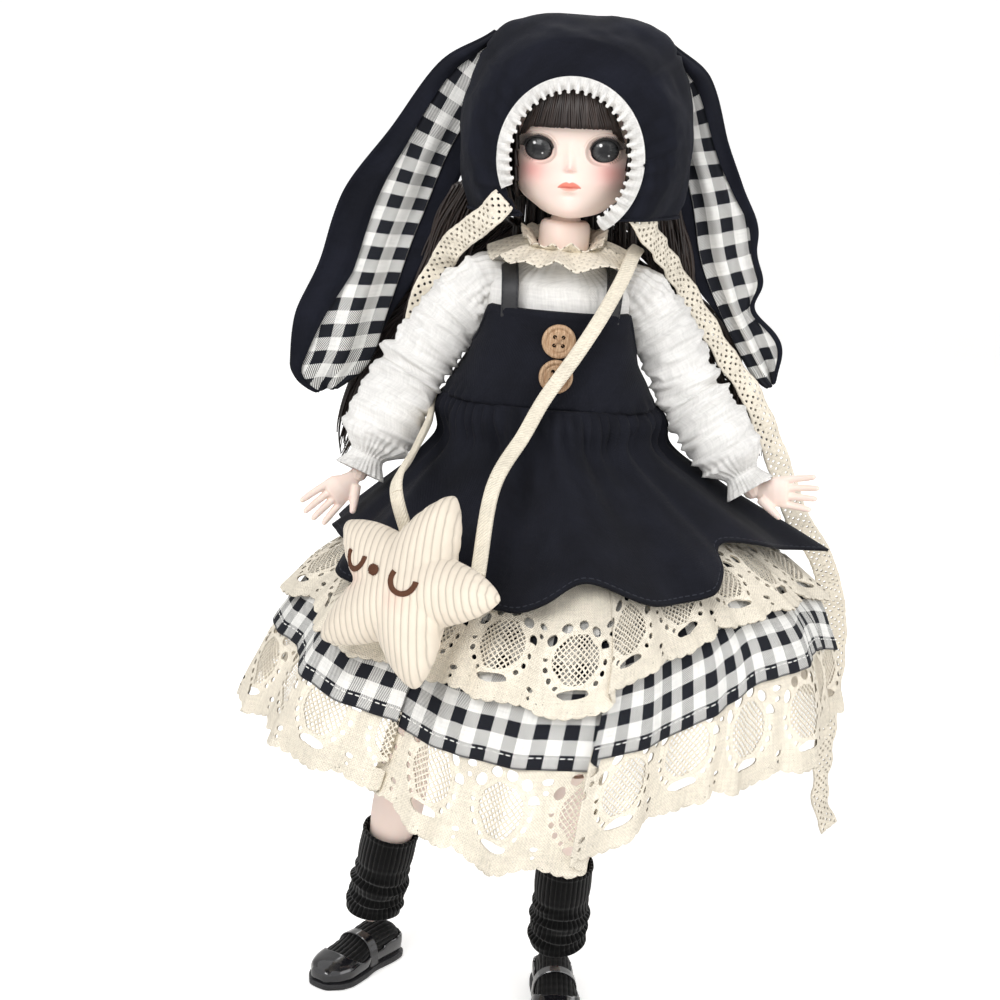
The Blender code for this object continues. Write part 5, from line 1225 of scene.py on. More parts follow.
def makeSockLeg(side):
    leg = legs[side]
    frame = frameOn(world(leg["knee"]), leg["shinDown"], leg["shinForward"])
    rows, cols = 90, 120
    down = np.linspace(0, 1, rows)
    top, low = -72.5 + sockLeg["top"], -72.5 + sockLeg["low"]
    angles = turnAngles(cols)
    slouch = ease(0.30, 0.62, down)[:, None]
    radius = hermite([0, 0.05, 0.26, 0.46, 0.64, 0.82, 1.0], [8.75, 9.0, 9.15, 8.75, 9.2, 8.9, 9.2],
                     down)[:, None]
    folds = 0.55 * np.sin(down[:, None] * 42 + 1.1 * np.sin(angles + 0.6) + 0.5 * np.sin(2 * angles)) * slouch
    folds += 0.30 * np.sin(down[:, None] * 71 + 2.0 * np.sin(angles + 2.0)) * slouch
    hem = 0.35 * ease(0.05, 0.035, down)[:, None]
    spread = radius + folds + hem
    heights = (top + (low - top) * down)[:, None] + 0 * angles[None] + 0.5 * np.sin(angles * 2
            + down[:, None] * 9) * slouch
    points = np.stack([np.cos(angles) * spread, np.sin(angles) * spread + 0.4, heights], -1)
    uv = np.stack([np.broadcast_to(np.linspace(0, 0.0561, cols + 1), (rows, cols + 1)),
                   np.broadcast_to((down * 0.036)[:, None], (rows, cols + 1))], -1)
    sock = gridObject(f"sock_leg_{side}", place(points, frame), [knit], uv, around=True,
                      wall=sockLeg["wall"], offset=-1)
    applyAll(sock)
    finishObject(sock, f"shin_{side}", [f"sock_{side}"])


for side in legs:
    makeShoe(side)
    makeSockLeg(side)
print("feet, shoes and socks ready")


# Head: face with lids and lips, glass eyes, lashes

headShares = ((0.0, 0.22, 0.62, 0.02), (0.02, 0.40, 0.80, 0.12), (0.07, 0.58, 0.87, 0.34),
              (0.13, 0.76, 0.90, 0.55), (0.19, 0.86, 0.92, 0.70), (0.24, 0.91, 0.93, 0.78),
              (0.29, 0.92, 0.93, 0.84), (0.34, 0.95, 0.93, 0.89), (0.40, 0.97, 0.92, 0.93),
              (0.48, 0.99, 0.93, 0.97), (0.57, 1.0, 0.97, 1.0), (0.66, 0.98, 0.97, 1.0),
              (0.75, 0.91, 0.91, 0.95), (0.84, 0.78, 0.78, 0.83), (0.92, 0.58, 0.58, 0.62),
              (0.975, 0.33, 0.34, 0.36), (1.0, 0.03, 0.03, 0.03))
face = dict(eyeX=9.65, eyeZ=22.9, ballX=8.9, ballY=-8.2, ball=6.35, lid=6.9, half=4.1, above=3.45, below=3.3)
# place across and up, how far it stands out, half width and half height, in mm
faceBumps = ((0, 22.0, 0.75, 1.7, 3.4), (0, 19.2, 0.85, 1.25, 1.9), (0, 17.7, 1.15, 1.1, 0.95),
             (1.15, 17.2, 0.45, 0.65, 0.55), (-1.15, 17.2, 0.45, 0.65, 0.55), (0, 16.2, -0.3, 1.1, 0.5),
             (0, 14.6, -0.22, 0.5, 0.9), (0, 12.4, 0.9, 4.4, 3.4), (0.9, 12.95, 0.50, 1.0, 0.55),
             (-0.9, 12.95, 0.50, 1.0, 0.55), (0, 12.8, 0.28, 0.5, 0.45), (0, 12.15, -0.40, 2.4, 0.26),
             (0, 11.15, 0.62, 1.6, 0.62), (0, 9.7, -0.4, 1.9, 0.7), (0, 5.8, 1.0, 3.8, 2.5),
             (10.6, 13.2, 0.8, 4.6, 4.4), (-10.6, 13.2, 0.8, 4.6, 4.4), (9.9, 28.6, 0.35, 5.0, 2.2),
             (-9.9, 28.6, 0.35, 5.0, 2.2),)


# how far a place is from the eye opening's middle, 1 on its rim
def eyeReach(x, z):
    across = (np.abs(x) - face["eyeX"]) / face["half"]
    up = z - face["eyeZ"] - 0.25 * across
    high = np.where(up > 0, face["above"], face["below"])
    return np.sqrt(np.abs(across) ** 2.15 + np.abs(up / high) ** 2.15)


# rows of points in the head's frame, in mm
def headSurface(ups, angles, grow=0.0, bumps=True):
    wide = readShares(headShares, 1, ups)[:, None]
    front = readShares(headShares, 2, ups)[:, None]
    back = readShares(headShares, 3, ups)[:, None]
    across, ahead = np.sin(angles)[None], np.cos(angles)[None]
    blend = ease(-0.12, 0.12, ahead)
    deep = 18.2 * front * blend + 20.5 * back * (1 - blend)
    x = across * (19.7 * wide + grow)
    z = 3.0 + 46.0 * ups[:, None] + grow * (2 * ups[:, None] - 1) + 0 * x
    y = -ahead * (deep + grow)
    if bumps:
        shown = ease(0.0, 0.25, ahead)
        for placeX, placeZ, out, halfX, halfZ in faceBumps:
            y = y - shown * out * np.exp(-((x - placeX) / halfX) ** 2 - ((z - placeZ) / halfZ) ** 2)
        near = eyeReach(x, z)
        dx, dz = np.abs(x) - face["ballX"], z - face["eyeZ"]
        ball = face["ballY"] - np.sqrt(np.maximum(face["lid"] ** 2 - dx**2 - dz**2, 1.0))
        share = (1 - ease(1.02, 1.42, near)) * (ahead > 0)
        y = y + (ball - y) * share
        crease = np.exp(-((near - 1.50) / 0.07) ** 2) * (z > face["eyeZ"] + 1.0) * (ahead > 0)
        y = y + 0.16 * crease
    return np.stack([x, y, z], -1)


# one layer of paint over what is there
def over(base, color, amount):
    amount = amount[..., None]
    alpha = amount[..., 0] + base[..., 3] * (1 - amount[..., 0])
    mixed = (np.array(color) * amount + base[..., :3] * base[..., 3:] * (1 - amount)) / np.maximum(alpha,
            1e-6)[..., None]
    return np.concatenate([mixed, alpha[..., None]], -1)


def facePaint(points):
    x, y, z = points[:, 0], points[:, 1], points[:, 2]
    paint = np.concatenate([np.tile(tones["skin"], (len(x), 1)), np.zeros((len(x), 1))], 1)
    shown = (y < -3).astype(float)
    for sign in (-1, 1):
        blush = np.exp(-((x - sign * 11.6) / 5.0) ** 2 - ((z - 16.8) / 3.9) ** 2)
        paint = over(paint, (0.86, 0.36, 0.33), 0.68 * blush * shown)
    paint = over(paint, (0.88, 0.42, 0.38), 0.30 * np.exp(-(x / 1.6) ** 2 - ((z - 17.4) / 1.0) ** 2) * shown)
    paint = over(paint, (0.88, 0.47, 0.42), 0.16 * np.exp(-(x / 3.4) ** 2 - ((z - 5.2) / 2.0) ** 2) * shown)
    near = eyeReach(x, z)
    paint = over(paint, (0.70, 0.36, 0.32), 0.12 * (1 - ease(1.0, 1.45, near)) * shown)
    high = ease(face["eyeZ"] + 0.2, face["eyeZ"] + 1.6, z)
    paint = over(paint, (0.48, 0.24, 0.20), 0.34 * np.exp(-((near - 1.50) / 0.04) ** 2) * high * shown)
    paint = over(paint, (0.055, 0.03, 0.03), (1 - ease(1.03, 1.10, near)) * (0.25 + 0.72 * high) * shown)
    reach = np.clip(1 - (np.abs(x) / 3.45) ** 2, 0, 1)
    lower = np.clip(1 - (np.abs(x) / 2.7) ** 2, 0, 1)
    top = 12.15 + 1.75 * reach**0.9 * (1 - 0.24 * np.exp(-((x / 0.6) ** 2)))
    low = 12.15 - 0.95 * lower**0.7
    upper = ease(0.22, -0.12, z - top) * ease(-0.1, 0.1, z - 12.12) * (reach > 0)
    under = ease(0.1, -0.1, z - 12.12) * ease(-0.3, 0.25, z - low) * (lower > 0)
    paint = over(paint, (0.80, 0.165, 0.10), 0.86 * upper * shown)
    paint = over(paint, (0.84, 0.26, 0.18), 0.66 * under * shown)
    line = np.exp(-((z - 12.12) / 0.14) ** 2) * (reach > 0.02)
    return over(paint, (0.42, 0.06, 0.05), 0.65 * line * shown)


# a closed bmesh from rows of points, joined round
def closedBody(rows):
    body = bmesh.new()
    verts = [[body.verts.new(p) for p in row] for row in rows]
    for low, high in zip(verts, verts[1:]):
        for index in range(len(low)):
            body.faces.new((low[index - 1], low[index], high[index], high[index - 1]))
    body.faces.new(verts[0])
    body.faces.new(verts[-1])
    bmesh.ops.recalc_face_normals(body, faces=body.faces)
    return body


def cutWith(target, body, name):
    mesh = bpy.data.meshes.new(name)
    writeBody(body, mesh)
    cutter = newObject(name, mesh)
    step = target.modifiers.new(name, "BOOLEAN")
    step.operation, step.solver, step.object = "DIFFERENCE", "EXACT", cutter
    applyAll(target)
    bpy.data.objects.remove(cutter)


def ballRows(centre, radius, rows=26, cols=40):
    angles = np.radians(np.linspace(3, 177, rows))
    around = turnAngles(cols)
    return [[(centre[0] + radius * math.sin(a) * math.cos(t), centre[1] + radius * math.sin(a) * math.sin(t),
              centre[2] + radius * math.cos(a)) for t in around] for a in angles]


def makeFace():
    even = turnAngles(280)
    ups = np.concatenate([np.linspace(0, 0.12, 24)[:-1], np.linspace(0.12, 0.62, 190)[:-1],
                          np.linspace(0.62, 1, 50)])
    rows = headSurface(ups, even - 0.5 * np.sin(even))
    body = closedBody(rows)
    slope = math.radians(32)
    normal = Vector((0, math.sin(slope), math.cos(slope)))
    geometry = body.verts[:] + body.edges[:] + body.faces[:]
    cut = bmesh.ops.bisect_plane(body, geom=geometry, plane_co=(0, -18.2, 40), plane_no=normal,
                                 clear_outer=True)
    rim = [item for item in cut["geom_cut"] if isinstance(item, bmesh.types.BMEdge)]
    bmesh.ops.contextual_create(body, geom=rim)
    bmesh.ops.recalc_face_normals(body, faces=body.faces)
    mesh = bpy.data.meshes.new("face")
    writeBody(body, mesh)
    obj = newObject("face", mesh, [faceVinyl])
    for sign in (-1, 1):
        cutWith(obj, closedBody(ballRows((sign * face["ballX"], face["ballY"], face["eyeZ"]),
                                         face["ball"] + 0.16)), "socket")
        outline = []
        for t in turnAngles(72):
            c, s = math.cos(t), math.sin(t)
            across = math.copysign(abs(c) ** (2 / 2.15), c)
            up = math.copysign(abs(s) ** (2 / 2.15),
                               s) * (face["above"] if s > 0 else face["below"]) + 0.25 * across
            outline.append((sign * (face["eyeX"] + face["half"] * across), up + face["eyeZ"]))
        cutWith(obj, closedBody([[(x, depth, z) for x, z in outline] for depth in (-24, -8)]), "opening")
    cutWith(obj, closedBody(ballRows((0, 0, 0), 5.5)), "neck seat")
    mesh = obj.data
    paintOn(mesh, facePaint(pointsOf(mesh)))
    mesh.transform(Matrix.Scale(mm, 4))
    mesh.transform(onHead)
    mesh.shade_smooth()
    mesh.set_sharp_from_angle(angle=math.radians(48))
    finishObject(obj, "head", ["head"])


# how far forward the lid's surface is at a place on it
def lidDepth(x, z):
    dx, dz = abs(x) - face["ballX"], z - face["eyeZ"]
    return face["ballY"] - math.sqrt(max(face["lid"] ** 2 - dx * dx - dz * dz, 1))


def makeEyes():
    for side, sign in (("right", -1), ("left", 1)):
        centre = np.array([sign * face["ballX"], face["ballY"], face["eyeZ"]])
        angles = np.radians(np.linspace(1, 179, 60))
        around = turnAngles(72)
        points = np.array([[centre + face["ball"]
                            * np.array([math.sin(a) * math.cos(t), -math.cos(a),
                                        math.sin(a) * math.sin(t)]) for t in around] for a in angles])
        closed = np.concatenate([points, points[:, :1]], 1)
        uv = np.stack([(closed[..., 0] - sign * face["eyeX"]) * mm, (closed[..., 2] - face["eyeZ"]) * mm], -1)
        uv[30:] = (0.006, 0.006)
        obj = gridObject(f"eye_glass_{side}", place(points, onHead), [glassEye], uv, around=True)
        closeEnds(obj, 72)
        finishObject(obj, "head", [f"eye_{side}"])
        lashes = []
        random.seed(4)
        for t in np.linspace(0.04, 0.96, 34):
            angle = math.pi * (1 - t) if sign > 0 else math.pi * t
            c, s = math.cos(angle), math.sin(angle)
            x = sign * face["eyeX"] + c * face["half"]
            z = face["eyeZ"] + s * face["above"] + 0.25 * sign * c
            y = lidDepth(x, z)
            outer = ease(0.1, 1.0, sign * c)
            long = 0.8 + 2.3 * float(outer) ** 1.5 + random.uniform(-0.2, 0.2)
            lean = Vector((c * 1.15, -0.75, 0.25 + 0.40 * s - 0.35 * float(outer))).normalized()
            root = Vector((x, y + 0.15, z))
            route = [root + lean * long * k + Vector((0, 0, 0.35 * long * k * k)) for k in (0, 0.35, 0.7, 1)]
            lashes.append(strand([onHead @ (p * mm) for p in route],
                                 np.array([0.17, 0.14, 0.10, 0.04]) * mm, 5))
        for t in np.linspace(0.62, 0.95, 7):
            angle = -math.pi * t if sign < 0 else -math.pi * (1 - t)
            c, s = math.cos(angle), math.sin(angle)
            x, z = sign * face["eyeX"] + c * face["half"], face["eyeZ"] + s * face["below"]
            y = lidDepth(x, z)
            root = Vector((x, y + 0.1, z))
            lean = Vector((c * 0.7, -0.5, -0.5)).normalized()
            route = [root + lean * 0.9 * k for k in (0, 0.4, 0.8, 1)]
            lashes.append(strand([onHead @ (p * mm) for p in route],
                                 np.array([0.05, 0.045, 0.03, 0.015]) * mm, 4))
        rim = []
        for t in np.linspace(0.0, 1.0, 40):
            angle = math.pi * t
            c, s = math.cos(angle), math.sin(angle)
            x, z = sign * face["eyeX"] + c * face["half"], face["eyeZ"] + s * face["above"] + 0.25 * sign * c
            rim.append(head(x, lidDepth(x, z) - 0.02, z))
        lashes.append(strand(rim, 0.00030 * np.sin(np.linspace(0.5, math.pi - 0.4, 40)), 6, (0, -1, 0), 0.7))
        obj = joinMeshes(f"lashes_{side}", lashes, [lashInk])
        finishObject(obj, "head", ["head"])


lashInk, _, _ = material("lash fibre", {"Base Color": (0.010, 0.008, 0.008), "Roughness": 0.5})
makeFace()
makeEyes()
print("face and eyes ready")


# Wig: cap, fringe, side strands and two long wavy locks

# strands as one mesh, each with its own tone and a UV along it
def hairObject(name, strands, strandTones):
    verts, faces, tone, uvs, start = [], [], [], [], 0
    for index, (points, faceList) in enumerate(strands):
        verts.append(points)
        tone += [strandTones[index]] * len(points)
        for f in faceList:
            faces.append([i + start for i in f])
            uvs += [(0.0003 * (i % 5) + index * 0.0017, (i // 5) * 0.002) for i in f]
        start += len(points)
    mesh = bpy.data.meshes.new(name)
    mesh.from_pydata(np.concatenate(verts).tolist(), [], faces)
    layer = mesh.uv_layers.new(name="cloth")
    layer.data.foreach_set("uv", np.array(uvs, np.float32).ravel())
    attribute = mesh.attributes.new("tone", "FLOAT", "POINT")
    attribute.data.foreach_set("value", np.array(tone, np.float32))
    mesh.shade_smooth()
    return newObject(name, mesh, [hair])


def makeWig():
    ups = np.linspace(0.13, 1.0, 60)
    angles = turnAngles(120)
    rows = headSurface(ups, angles, 1.7, bumps=False)
    keep = []
    for r in range(len(ups) - 1):
        for c in range(120):
            x, y, z = (rows[r, c] + rows[r + 1, (c + 1) % 120]) / 2
            keep.append(not (abs(x) < 16.6 and y < -4 and z < 34))
    obj = gridObject("wig_cap", place(rows, onHead), [hair], around=True)
    uvLayer = obj.data.uv_layers.new(name="cloth")
    body = bmesh.new()
    body.from_mesh(obj.data)
    body.faces.ensure_lookup_table()
    layer = body.loops.layers.uv.active
    for f in body.faces:
        for loop in f.loops:
            index = loop.vert.index
            loop[layer].uv = ((index % 120) * 0.001, (index // 120) * 0.0008)
    bmesh.ops.delete(body, geom=[f for f, k in zip(body.faces, keep) if not k], context="FACES")
    writeBody(body, obj.data)
    addWall(obj, 0.0011, 1)
    applyAll(obj)
    finishObject(obj, "head", ["wig"])
    random.seed(11)
    strands, tone = [], []
    # fringe: from the crown over the forehead, cut nearly straight
    surfaceUps = np.linspace(0.5, 0.97, 60)
    for layer2, count in ((0, 64), (1, 72), (2, 58)):
        for index in range(count):
            x = -14.9 + 29.8 * (index + random.uniform(-0.3, 0.3)) / (count - 1)
            lower = 29.2 + random.uniform(-0.15,
                                          0.2) - 2.6 * float(ease(11.5, 15, abs(x))) - (0.9 if x > 12
                    else 0)
            upper = 44.5 + random.uniform(-1, 1)
            route = []
            for t in np.linspace(0, 1, 12):
                z = upper + (lower - upper) * t
                up = min(0.97, (z - 3) / 46)
                wide = float(readShares(headShares, 1, [up])[0]) * 19.7 + 1.6
                front = float(readShares(headShares, 2, [up])[0]) * 18.2
                bent = x * (0.55 + 0.45 * t) + 0.25 * math.sin(t * 5 + index)
                across = min(0.96, abs(bent) / wide)
                y = -math.sqrt(1 - across**2) * (front + 1.7 + 0.35 * layer2 + 0.5 * t)
                route.append(head(bent, y, z))
            strands.append(strand(route, np.linspace(0.36, 0.27, 12) * mm, 5, (0, -1, 0), 0.55))
            tone.append(random.uniform(0.0, 1.0))
    # strands beside the cheeks, down behind the jaw
    for sign in (-1, 1):
        for index in range(46):
            spread = random.uniform(0, 1)
            start = (sign * (14.4 + 2.2 * spread), -10.5 + 5 * spread, 36)
            points = [start, (sign * (17.6 + 2.0 * spread), -9.2 + 5 * spread, 27),
                      (sign * (18.9 + 1.6 * spread), -8.0 + 6 * spread, 17),
                      (sign * (17.8 + 2.2 * spread), -5.6 + 7 * spread, 8),
                      (sign * (15.6 + 3 * spread), -0.5 + 7 * spread, 1.5)]
            wave = random.uniform(0, 6)
            route = smoothRoute([head(*p) for p in points], 16)
            route += np.array([[0.0004 * math.sin(wave + k * 0.9), 0.0003 * math.cos(wave + k * 0.7), 0]
                               for k in range(16)])
            strands.append(strand(route, np.linspace(0.42, 0.22, 16) * mm, 5, (sign, -0.4, 0), 0.6))
            tone.append(random.uniform(0.0, 0.8))
    finishObject(hairObject("fringe", strands, tone), "head", ["wig"])
    strands, tone = [], []
    for index in range(170):
        x, depth = random.uniform(-19, 19), random.uniform(0, 4)
        points = [(x * 0.9, 9.5 + depth, 22), (x * 0.98, 10.5 + depth, 12), (x, 11.5 + depth, 3),
                  (x * 1.03, 12.0 + depth, -7 - random.uniform(0, 3))]
        strands.append(strand(smoothRoute([head(*p) for p in points], 14),
                              np.linspace(0.62, 0.26, 14) * mm, 5, (0, -1, 0), 0.6))
        tone.append(random.uniform(0, 0.6))
    finishObject(hairObject("nape", strands, tone), "head", ["wig"])


lockShares = dict(
    right=((0, 0, 0), (0.02, 0.095, 0.004), (0.07, 0.165, 0.05), (0.28, 0.17, 0.25), (0.47, 0.165, 0.52),
           (0.53, 0.165, 0.79), (0.55, 0.155, 0.94)),
    left=((0, 0, 0), (0.02, 0.095, 0.004), (0.07, 0.165, 0.05), (0.28, 0.17, 0.25), (0.46, 0.165, 0.49),
          (0.58, 0.165, 0.66), (0.66, 0.155, 0.83)),
)


lock = dict(strands=190, fan=150, clumps=17, half=0.011, rows=46)


def makeLock(side):
    sign = -1 if side == "right" else 1
    random.seed(21 if sign > 0 else 33)
    neck = at(0, 0, 251)
    route = smoothRoute([neck + Vector((sign * (11.8 + 85 * o), 12 + 85 * b, -2.5 - 85 * d)) * mm for o, b,
                         d in lockShares[side]], lock["rows"])
    along = alongRoute(route)
    faceWay = np.array([0, 0.857, 0.514])
    across = unit(np.cross(along, faceWay))
    share = np.linspace(0, 1, lock["rows"])
    half = lock["half"] * (0.55 + 0.42 * np.sin(math.pi * share) + 0.06 * np.cos(9 * share))
    strands, tone = [], []
    clumps = [(random.uniform(-0.9, 0.9), random.uniform(0, 6.28), random.uniform(0.8, 1.25))
              for _ in range(lock["clumps"])]
    for index in range(lock["fan"]):
        across2, depth, wave = random.uniform(0, 1), random.uniform(-3, 4), random.uniform(0, 6)
        top = Vector((sign * (20 + 14 * across2), 10 + depth, 16 - 8 * across2))
        points = [neck + p * mm for p in (top, Vector((sign * (26 + 13 * across2), 13.5 + depth * 0.6,
                                                       -4)), Vector((sign * (31 + 13 * across2),
                15.5 + depth * 0.4, -24)), Vector((sign * (36 + 13 * across2), 17 + depth * 0.3,
                                                   -46 - 8 * random.random())))]
        line = smoothRoute(points, 24) + np.array([[0.0007 * math.sin(wave + k * 0.5),
                                                    0.0005 * math.cos(wave + k * 0.4), 0]
                                                   for k in range(24)])
        strands.append(strand(line, 0.00048 * np.clip(np.linspace(1.2, 0.2, 24), 0, 1), 5, (0, 1, 0.3), 0.7))
        tone.append(random.uniform(0, 0.7))
    for index in range(lock["strands"]):
        clump, phase, pace = clumps[index % len(clumps)]
        across2 = clump + random.gauss(0, 0.075) * (1 + 1.0 * share)
        depth = (random.uniform(-1.7, 2.0) + 0.6 * math.sin(phase)) * mm
        curl = (0.0006 + 0.0022 * share**1.3) * (1.5 if sign > 0 else 1.0)
        wave = np.sin(share * 13 * pace + phase)
        turn = np.cos(share * 13 * pace + phase)
        length = random.uniform(0.86, 1.02)
        line = (route + across * ((np.clip(across2, -1.02, 1.02) * half * 0.92 + curl * wave)[:, None])
                + faceWay * (depth * (0.4 + 0.6 * np.sin(math.pi * np.clip(share + 0.15, 0, 1)))
                             + 0.6 * curl * turn)[:, None])
        count = max(10, int(lock["rows"] * length))
        radii = 0.00036 * np.clip(np.minimum(share * 12 + 0.5, (1 - share) * 5 + 0.25), 0, 1)
        strands.append(strand(line[:count], radii[:count], 5, (0, 1, 0.6), 0.7))
        tone.append(random.uniform(0, 1) * (0.8 if sign < 0 else 1.1))
    obj = hairObject(f"lock_{side}", strands, tone)
    finishObject(obj, None, [f"hair_{side}"],
                 ("neck_ball", "head", tuple(route[14]), tuple(route[0])))


makeWig()
makeLock("right")
makeLock("left")
print("wig ready")


# Bonnet: crown, scrolled ruffle, lined ears and lace ties

bonnetShares = ((0.0, 0), (0.66, 0.07), (0.86, 0.22), (1.0, 0.42), (0.96, 0.62), (0.78, 0.82),
                (0.46, 0.95), (0.02, 1.0))


def bonnetPoint(back, angles):
    grown = hermite([s[1] for s in bonnetShares], [s[0] for s in bonnetShares], [back])[0]
    if back > 0.42:
        wide, high, middle = 35 * grown, 34.5 * grown, 26
    else:
        wide, high, middle = 20.8 + 14.2 * grown, 22.6 + 11.9 * grown, 20.5 + 5.5 * grown
    c, s = np.cos(angles), np.sin(angles)
    grown2 = ease(0.05, 0.45, back)
    square = np.where(s < 0, 1 - 0.62 * grown2 * ease(0, -0.35, s), 1 - 0.40 * grown2 * ease(0, 0.5, s))
    crown = 1 + grown2 * (0.02 * ease(0.6, 1.0, s) + 0.07 * np.exp(-((s - 0.78) / 0.16) ** 2))
    x = np.sign(c) * np.abs(c) ** square * wide
    return np.stack([x, np.full(len(angles), -17.5 + 50.5 * back), middle + high * crown * s], 1)


def makeBonnet():
    cols = 180
    angles = turnAngles(cols)
    backs = 0.42 * (1 - np.cos(np.linspace(0, math.pi / 2, 40)))
    backs = np.concatenate([backs, 0.42 + 0.58 * np.sin(np.linspace(0.03, math.pi / 2, 60))])
    rows = np.array([bonnetPoint(b, angles) for b in backs])
    centre = np.array([0, 8.0, 24.0])
    outward = unit(rows - centre)
    degrees = np.degrees(angles)
    top = np.abs((degrees - 90 + 180) % 360 - 180)[None]
    backMm = -17.5 + 50.5 * backs[:, None]
    seamAt = 47 - 10 * ease(0, 25, backMm)
    seam = np.exp(-((top - seamAt) / 1.1) ** 2) * ease(-16, -12, backMm) * (backMm < 30)
    ridge = np.exp(-((top - seamAt - 2.6) / 1.6) ** 2) * ease(-16, -12, backMm) * (backMm < 30)
    crownSeam = np.exp(-((backMm - 13.5) / 0.5) ** 2)
    crumple = waves(rows, 0.09, 3) * 0.8 + waves(rows, 0.22, 5) * 0.35
    gathers = 0.35 * np.sin(angles * 46)[None] * ease(22, 31, backMm) * ease(33, 31.5, backMm)
    pull = 0.5 * np.sin(angles * 26 + 2 * np.sin(angles * 5))[None] * ease(-9, -16.5, backMm) * (top > 38)
    rows = rows + outward * (crumple * ease(-17, -10, backMm) - 0.9 * seam + 0.5 * ridge - 0.7 * crownSeam
                             + gathers + pull)[..., None]
    lengths = arcLengths(rows * mm)
    depthWay = stepsOf(rows[:, cols // 4]) * mm
    uv = uvRows(lengths, depthWay)
    obj = gridObject("bonnet_crown", rows, [black], uv, around=True)
    body = bmesh.new()
    body.from_mesh(obj.data)
    geometry = body.verts[:] + body.edges[:] + body.faces[:]
    bmesh.ops.bisect_plane(body, geom=geometry, plane_co=(0, 0, 3.5), plane_no=(0, 0, 1), clear_inner=True)
    writeBody(body, obj.data)
    obj.data.transform(Matrix.Scale(mm, 4))
    obj.data.transform(onHead)
    obj.data.shade_smooth()
    addWall(obj, 0.0009, -1)
    applyAll(obj)
    finishObject(obj, "head", ["bonnet"])
    # binding over the bonnet's hem
    rim = []
    for back in np.linspace(0.0, 0.90, 60):
        sample = bonnetPoint(back, np.linspace(-math.pi / 2, math.pi / 2, 400))
        best = sample[np.argmin(np.abs(sample[:, 2] - 3.7))]
        rim.append(best)
    rim = np.array(rim)
    rim = rim[np.abs(rim[:, 2] - 3.7) < 0.6]
    for sign in (-1, 1):
        line = place((rim * [sign, 1, 1])[None], onHead)[0]
        hem = tube(f"bonnet_hem_{sign + 2}", smoothRoute([tuple(p) for p in line[::3]], 50), 0.0007, black,
                   10, 0.8)
        finishObject(hem, "head", ["bonnet"])


ruffle = dict(pleats=33, steps=16, start=-60, sweep=264, deep=3.5, rows=14)


# a narrow frill sewn round the opening down to the jaw, laid in rounded scroll pleats
def makeRuffle():
    pleats, per, start = ruffle["pleats"], ruffle["steps"], ruffle["start"]
    cols = pleats * per + 1
    phase = np.arange(cols) / per
    middle = np.radians(start + ruffle["sweep"] * phase / pleats)
    random.seed(8)
    sizes = np.interp(phase, np.arange(pleats + 1), [random.uniform(0.8, 1.2) for _ in range(pleats + 1)])
    lean = np.interp(phase, np.arange(pleats + 1), [random.uniform(-0.5, 0.5) for _ in range(pleats + 1)])
    depth = np.linspace(0, 1, ruffle["rows"])
    wave = np.sin(math.tau * phase + lean)
    slide = np.sin(2 * (math.tau * phase + lean))
    rows = []
    for d in depth:
        swing = 0.50 + 0.50 * float(ease(0.0, 0.6, d))
        inward = ruffle["deep"] * d + 0.95 * swing * wave * d
        ahead = 0.9 * math.sin(math.pi * min(1, d)) + 2.3 * wave * sizes * swing * (0.62 + 0.38 * d) + 1.2 * d
        angle = middle + 0.040 * swing * slide
        rows.append(np.stack([(21.0 - inward) * np.cos(angle), -18.3 - ahead,
                              20.5 + (22.9 - inward) * np.sin(angle)], 1))
    rows = np.array(rows)
    u = np.broadcast_to(np.arange(cols) * 0.0007, (ruffle["rows"], cols))
    uv = np.stack([u, np.broadcast_to((depth * 0.0045)[:, None], u.shape)], -1)
    obj = gridObject("ruffle", place(rows, onHead), [whiteCotton], uv, wall=0.0004, offset=0, fine=1)
    finishObject(obj, "head", ["bonnet_ruffle"])
    band = [head(21.0 * math.cos(a), -18.0, 20.5 + 22.8 * math.sin(a))
            for a in np.radians(np.linspace(start, start + ruffle["sweep"], 90))]
    finishObject(tube("ruffle_cord", band, 0.0005, whiteCotton, 8), "head", ["bonnet_ruffle"])


earShares = dict(
    right=((0, 0.017, 0.07, -0.017, 0.1), (0.25, 0.17, 0.33, 0.10, 0.6), (0.35, 0.325, 0.55, 0.275, 0.85),
           (0.38, 0.475, 0.78, 0.46, 1.0), (0.45, 0.617, 0.87, 0.625, 1.0), (0.52, 0.75, 0.97, 0.78, 1.0),
           (0.58, 0.867, 1.0, 0.90, 1.0), (0.70, 0.95, 0.88, 0.975, 1.0)),
    left=((0, 0.017, 0.07, -0.017, 0.1), (0.25, 0.17, 0.32, 0.10, 0.6), (0.29, 0.28, 0.45, 0.26, 0.85),
          (0.32, 0.40, 0.55, 0.37, 1.0), (0.38, 0.55, 0.67, 0.51, 1.0), (0.50, 0.68, 0.68, 0.64, 1.0),
          (0.62, 0.78, 0.78, 0.74, 1.0), (0.77, 0.89, 0.89, 0.865, 1.0)),
)
# how much of an ear's width its black outer cloth rolls over, from the bonnet to the tip
earRoll = dict(right=((0, 0.30), (0.15, 0.30), (0.40, 0.40), (0.60, 0.42), (0.78, 0.22), (0.9, 0.08),
                      (1, 0.05)), left=((0, 0.30), (0.15, 0.35), (0.35, 0.30), (0.5, 0.12), (0.6, 0.05),
                                        (1, 0.04)))


# reads a sheet's widths and length from the mesh itself; nothing is done with them
def cutSheet(lengths, downs):
    widths = np.broadcast_to(lengths[:, -1], (len(lengths),))
    downs = np.asarray(downs)
    flat = (round(float(widths.max()), 4), round(float(downs[-1] - downs[0]), 4))


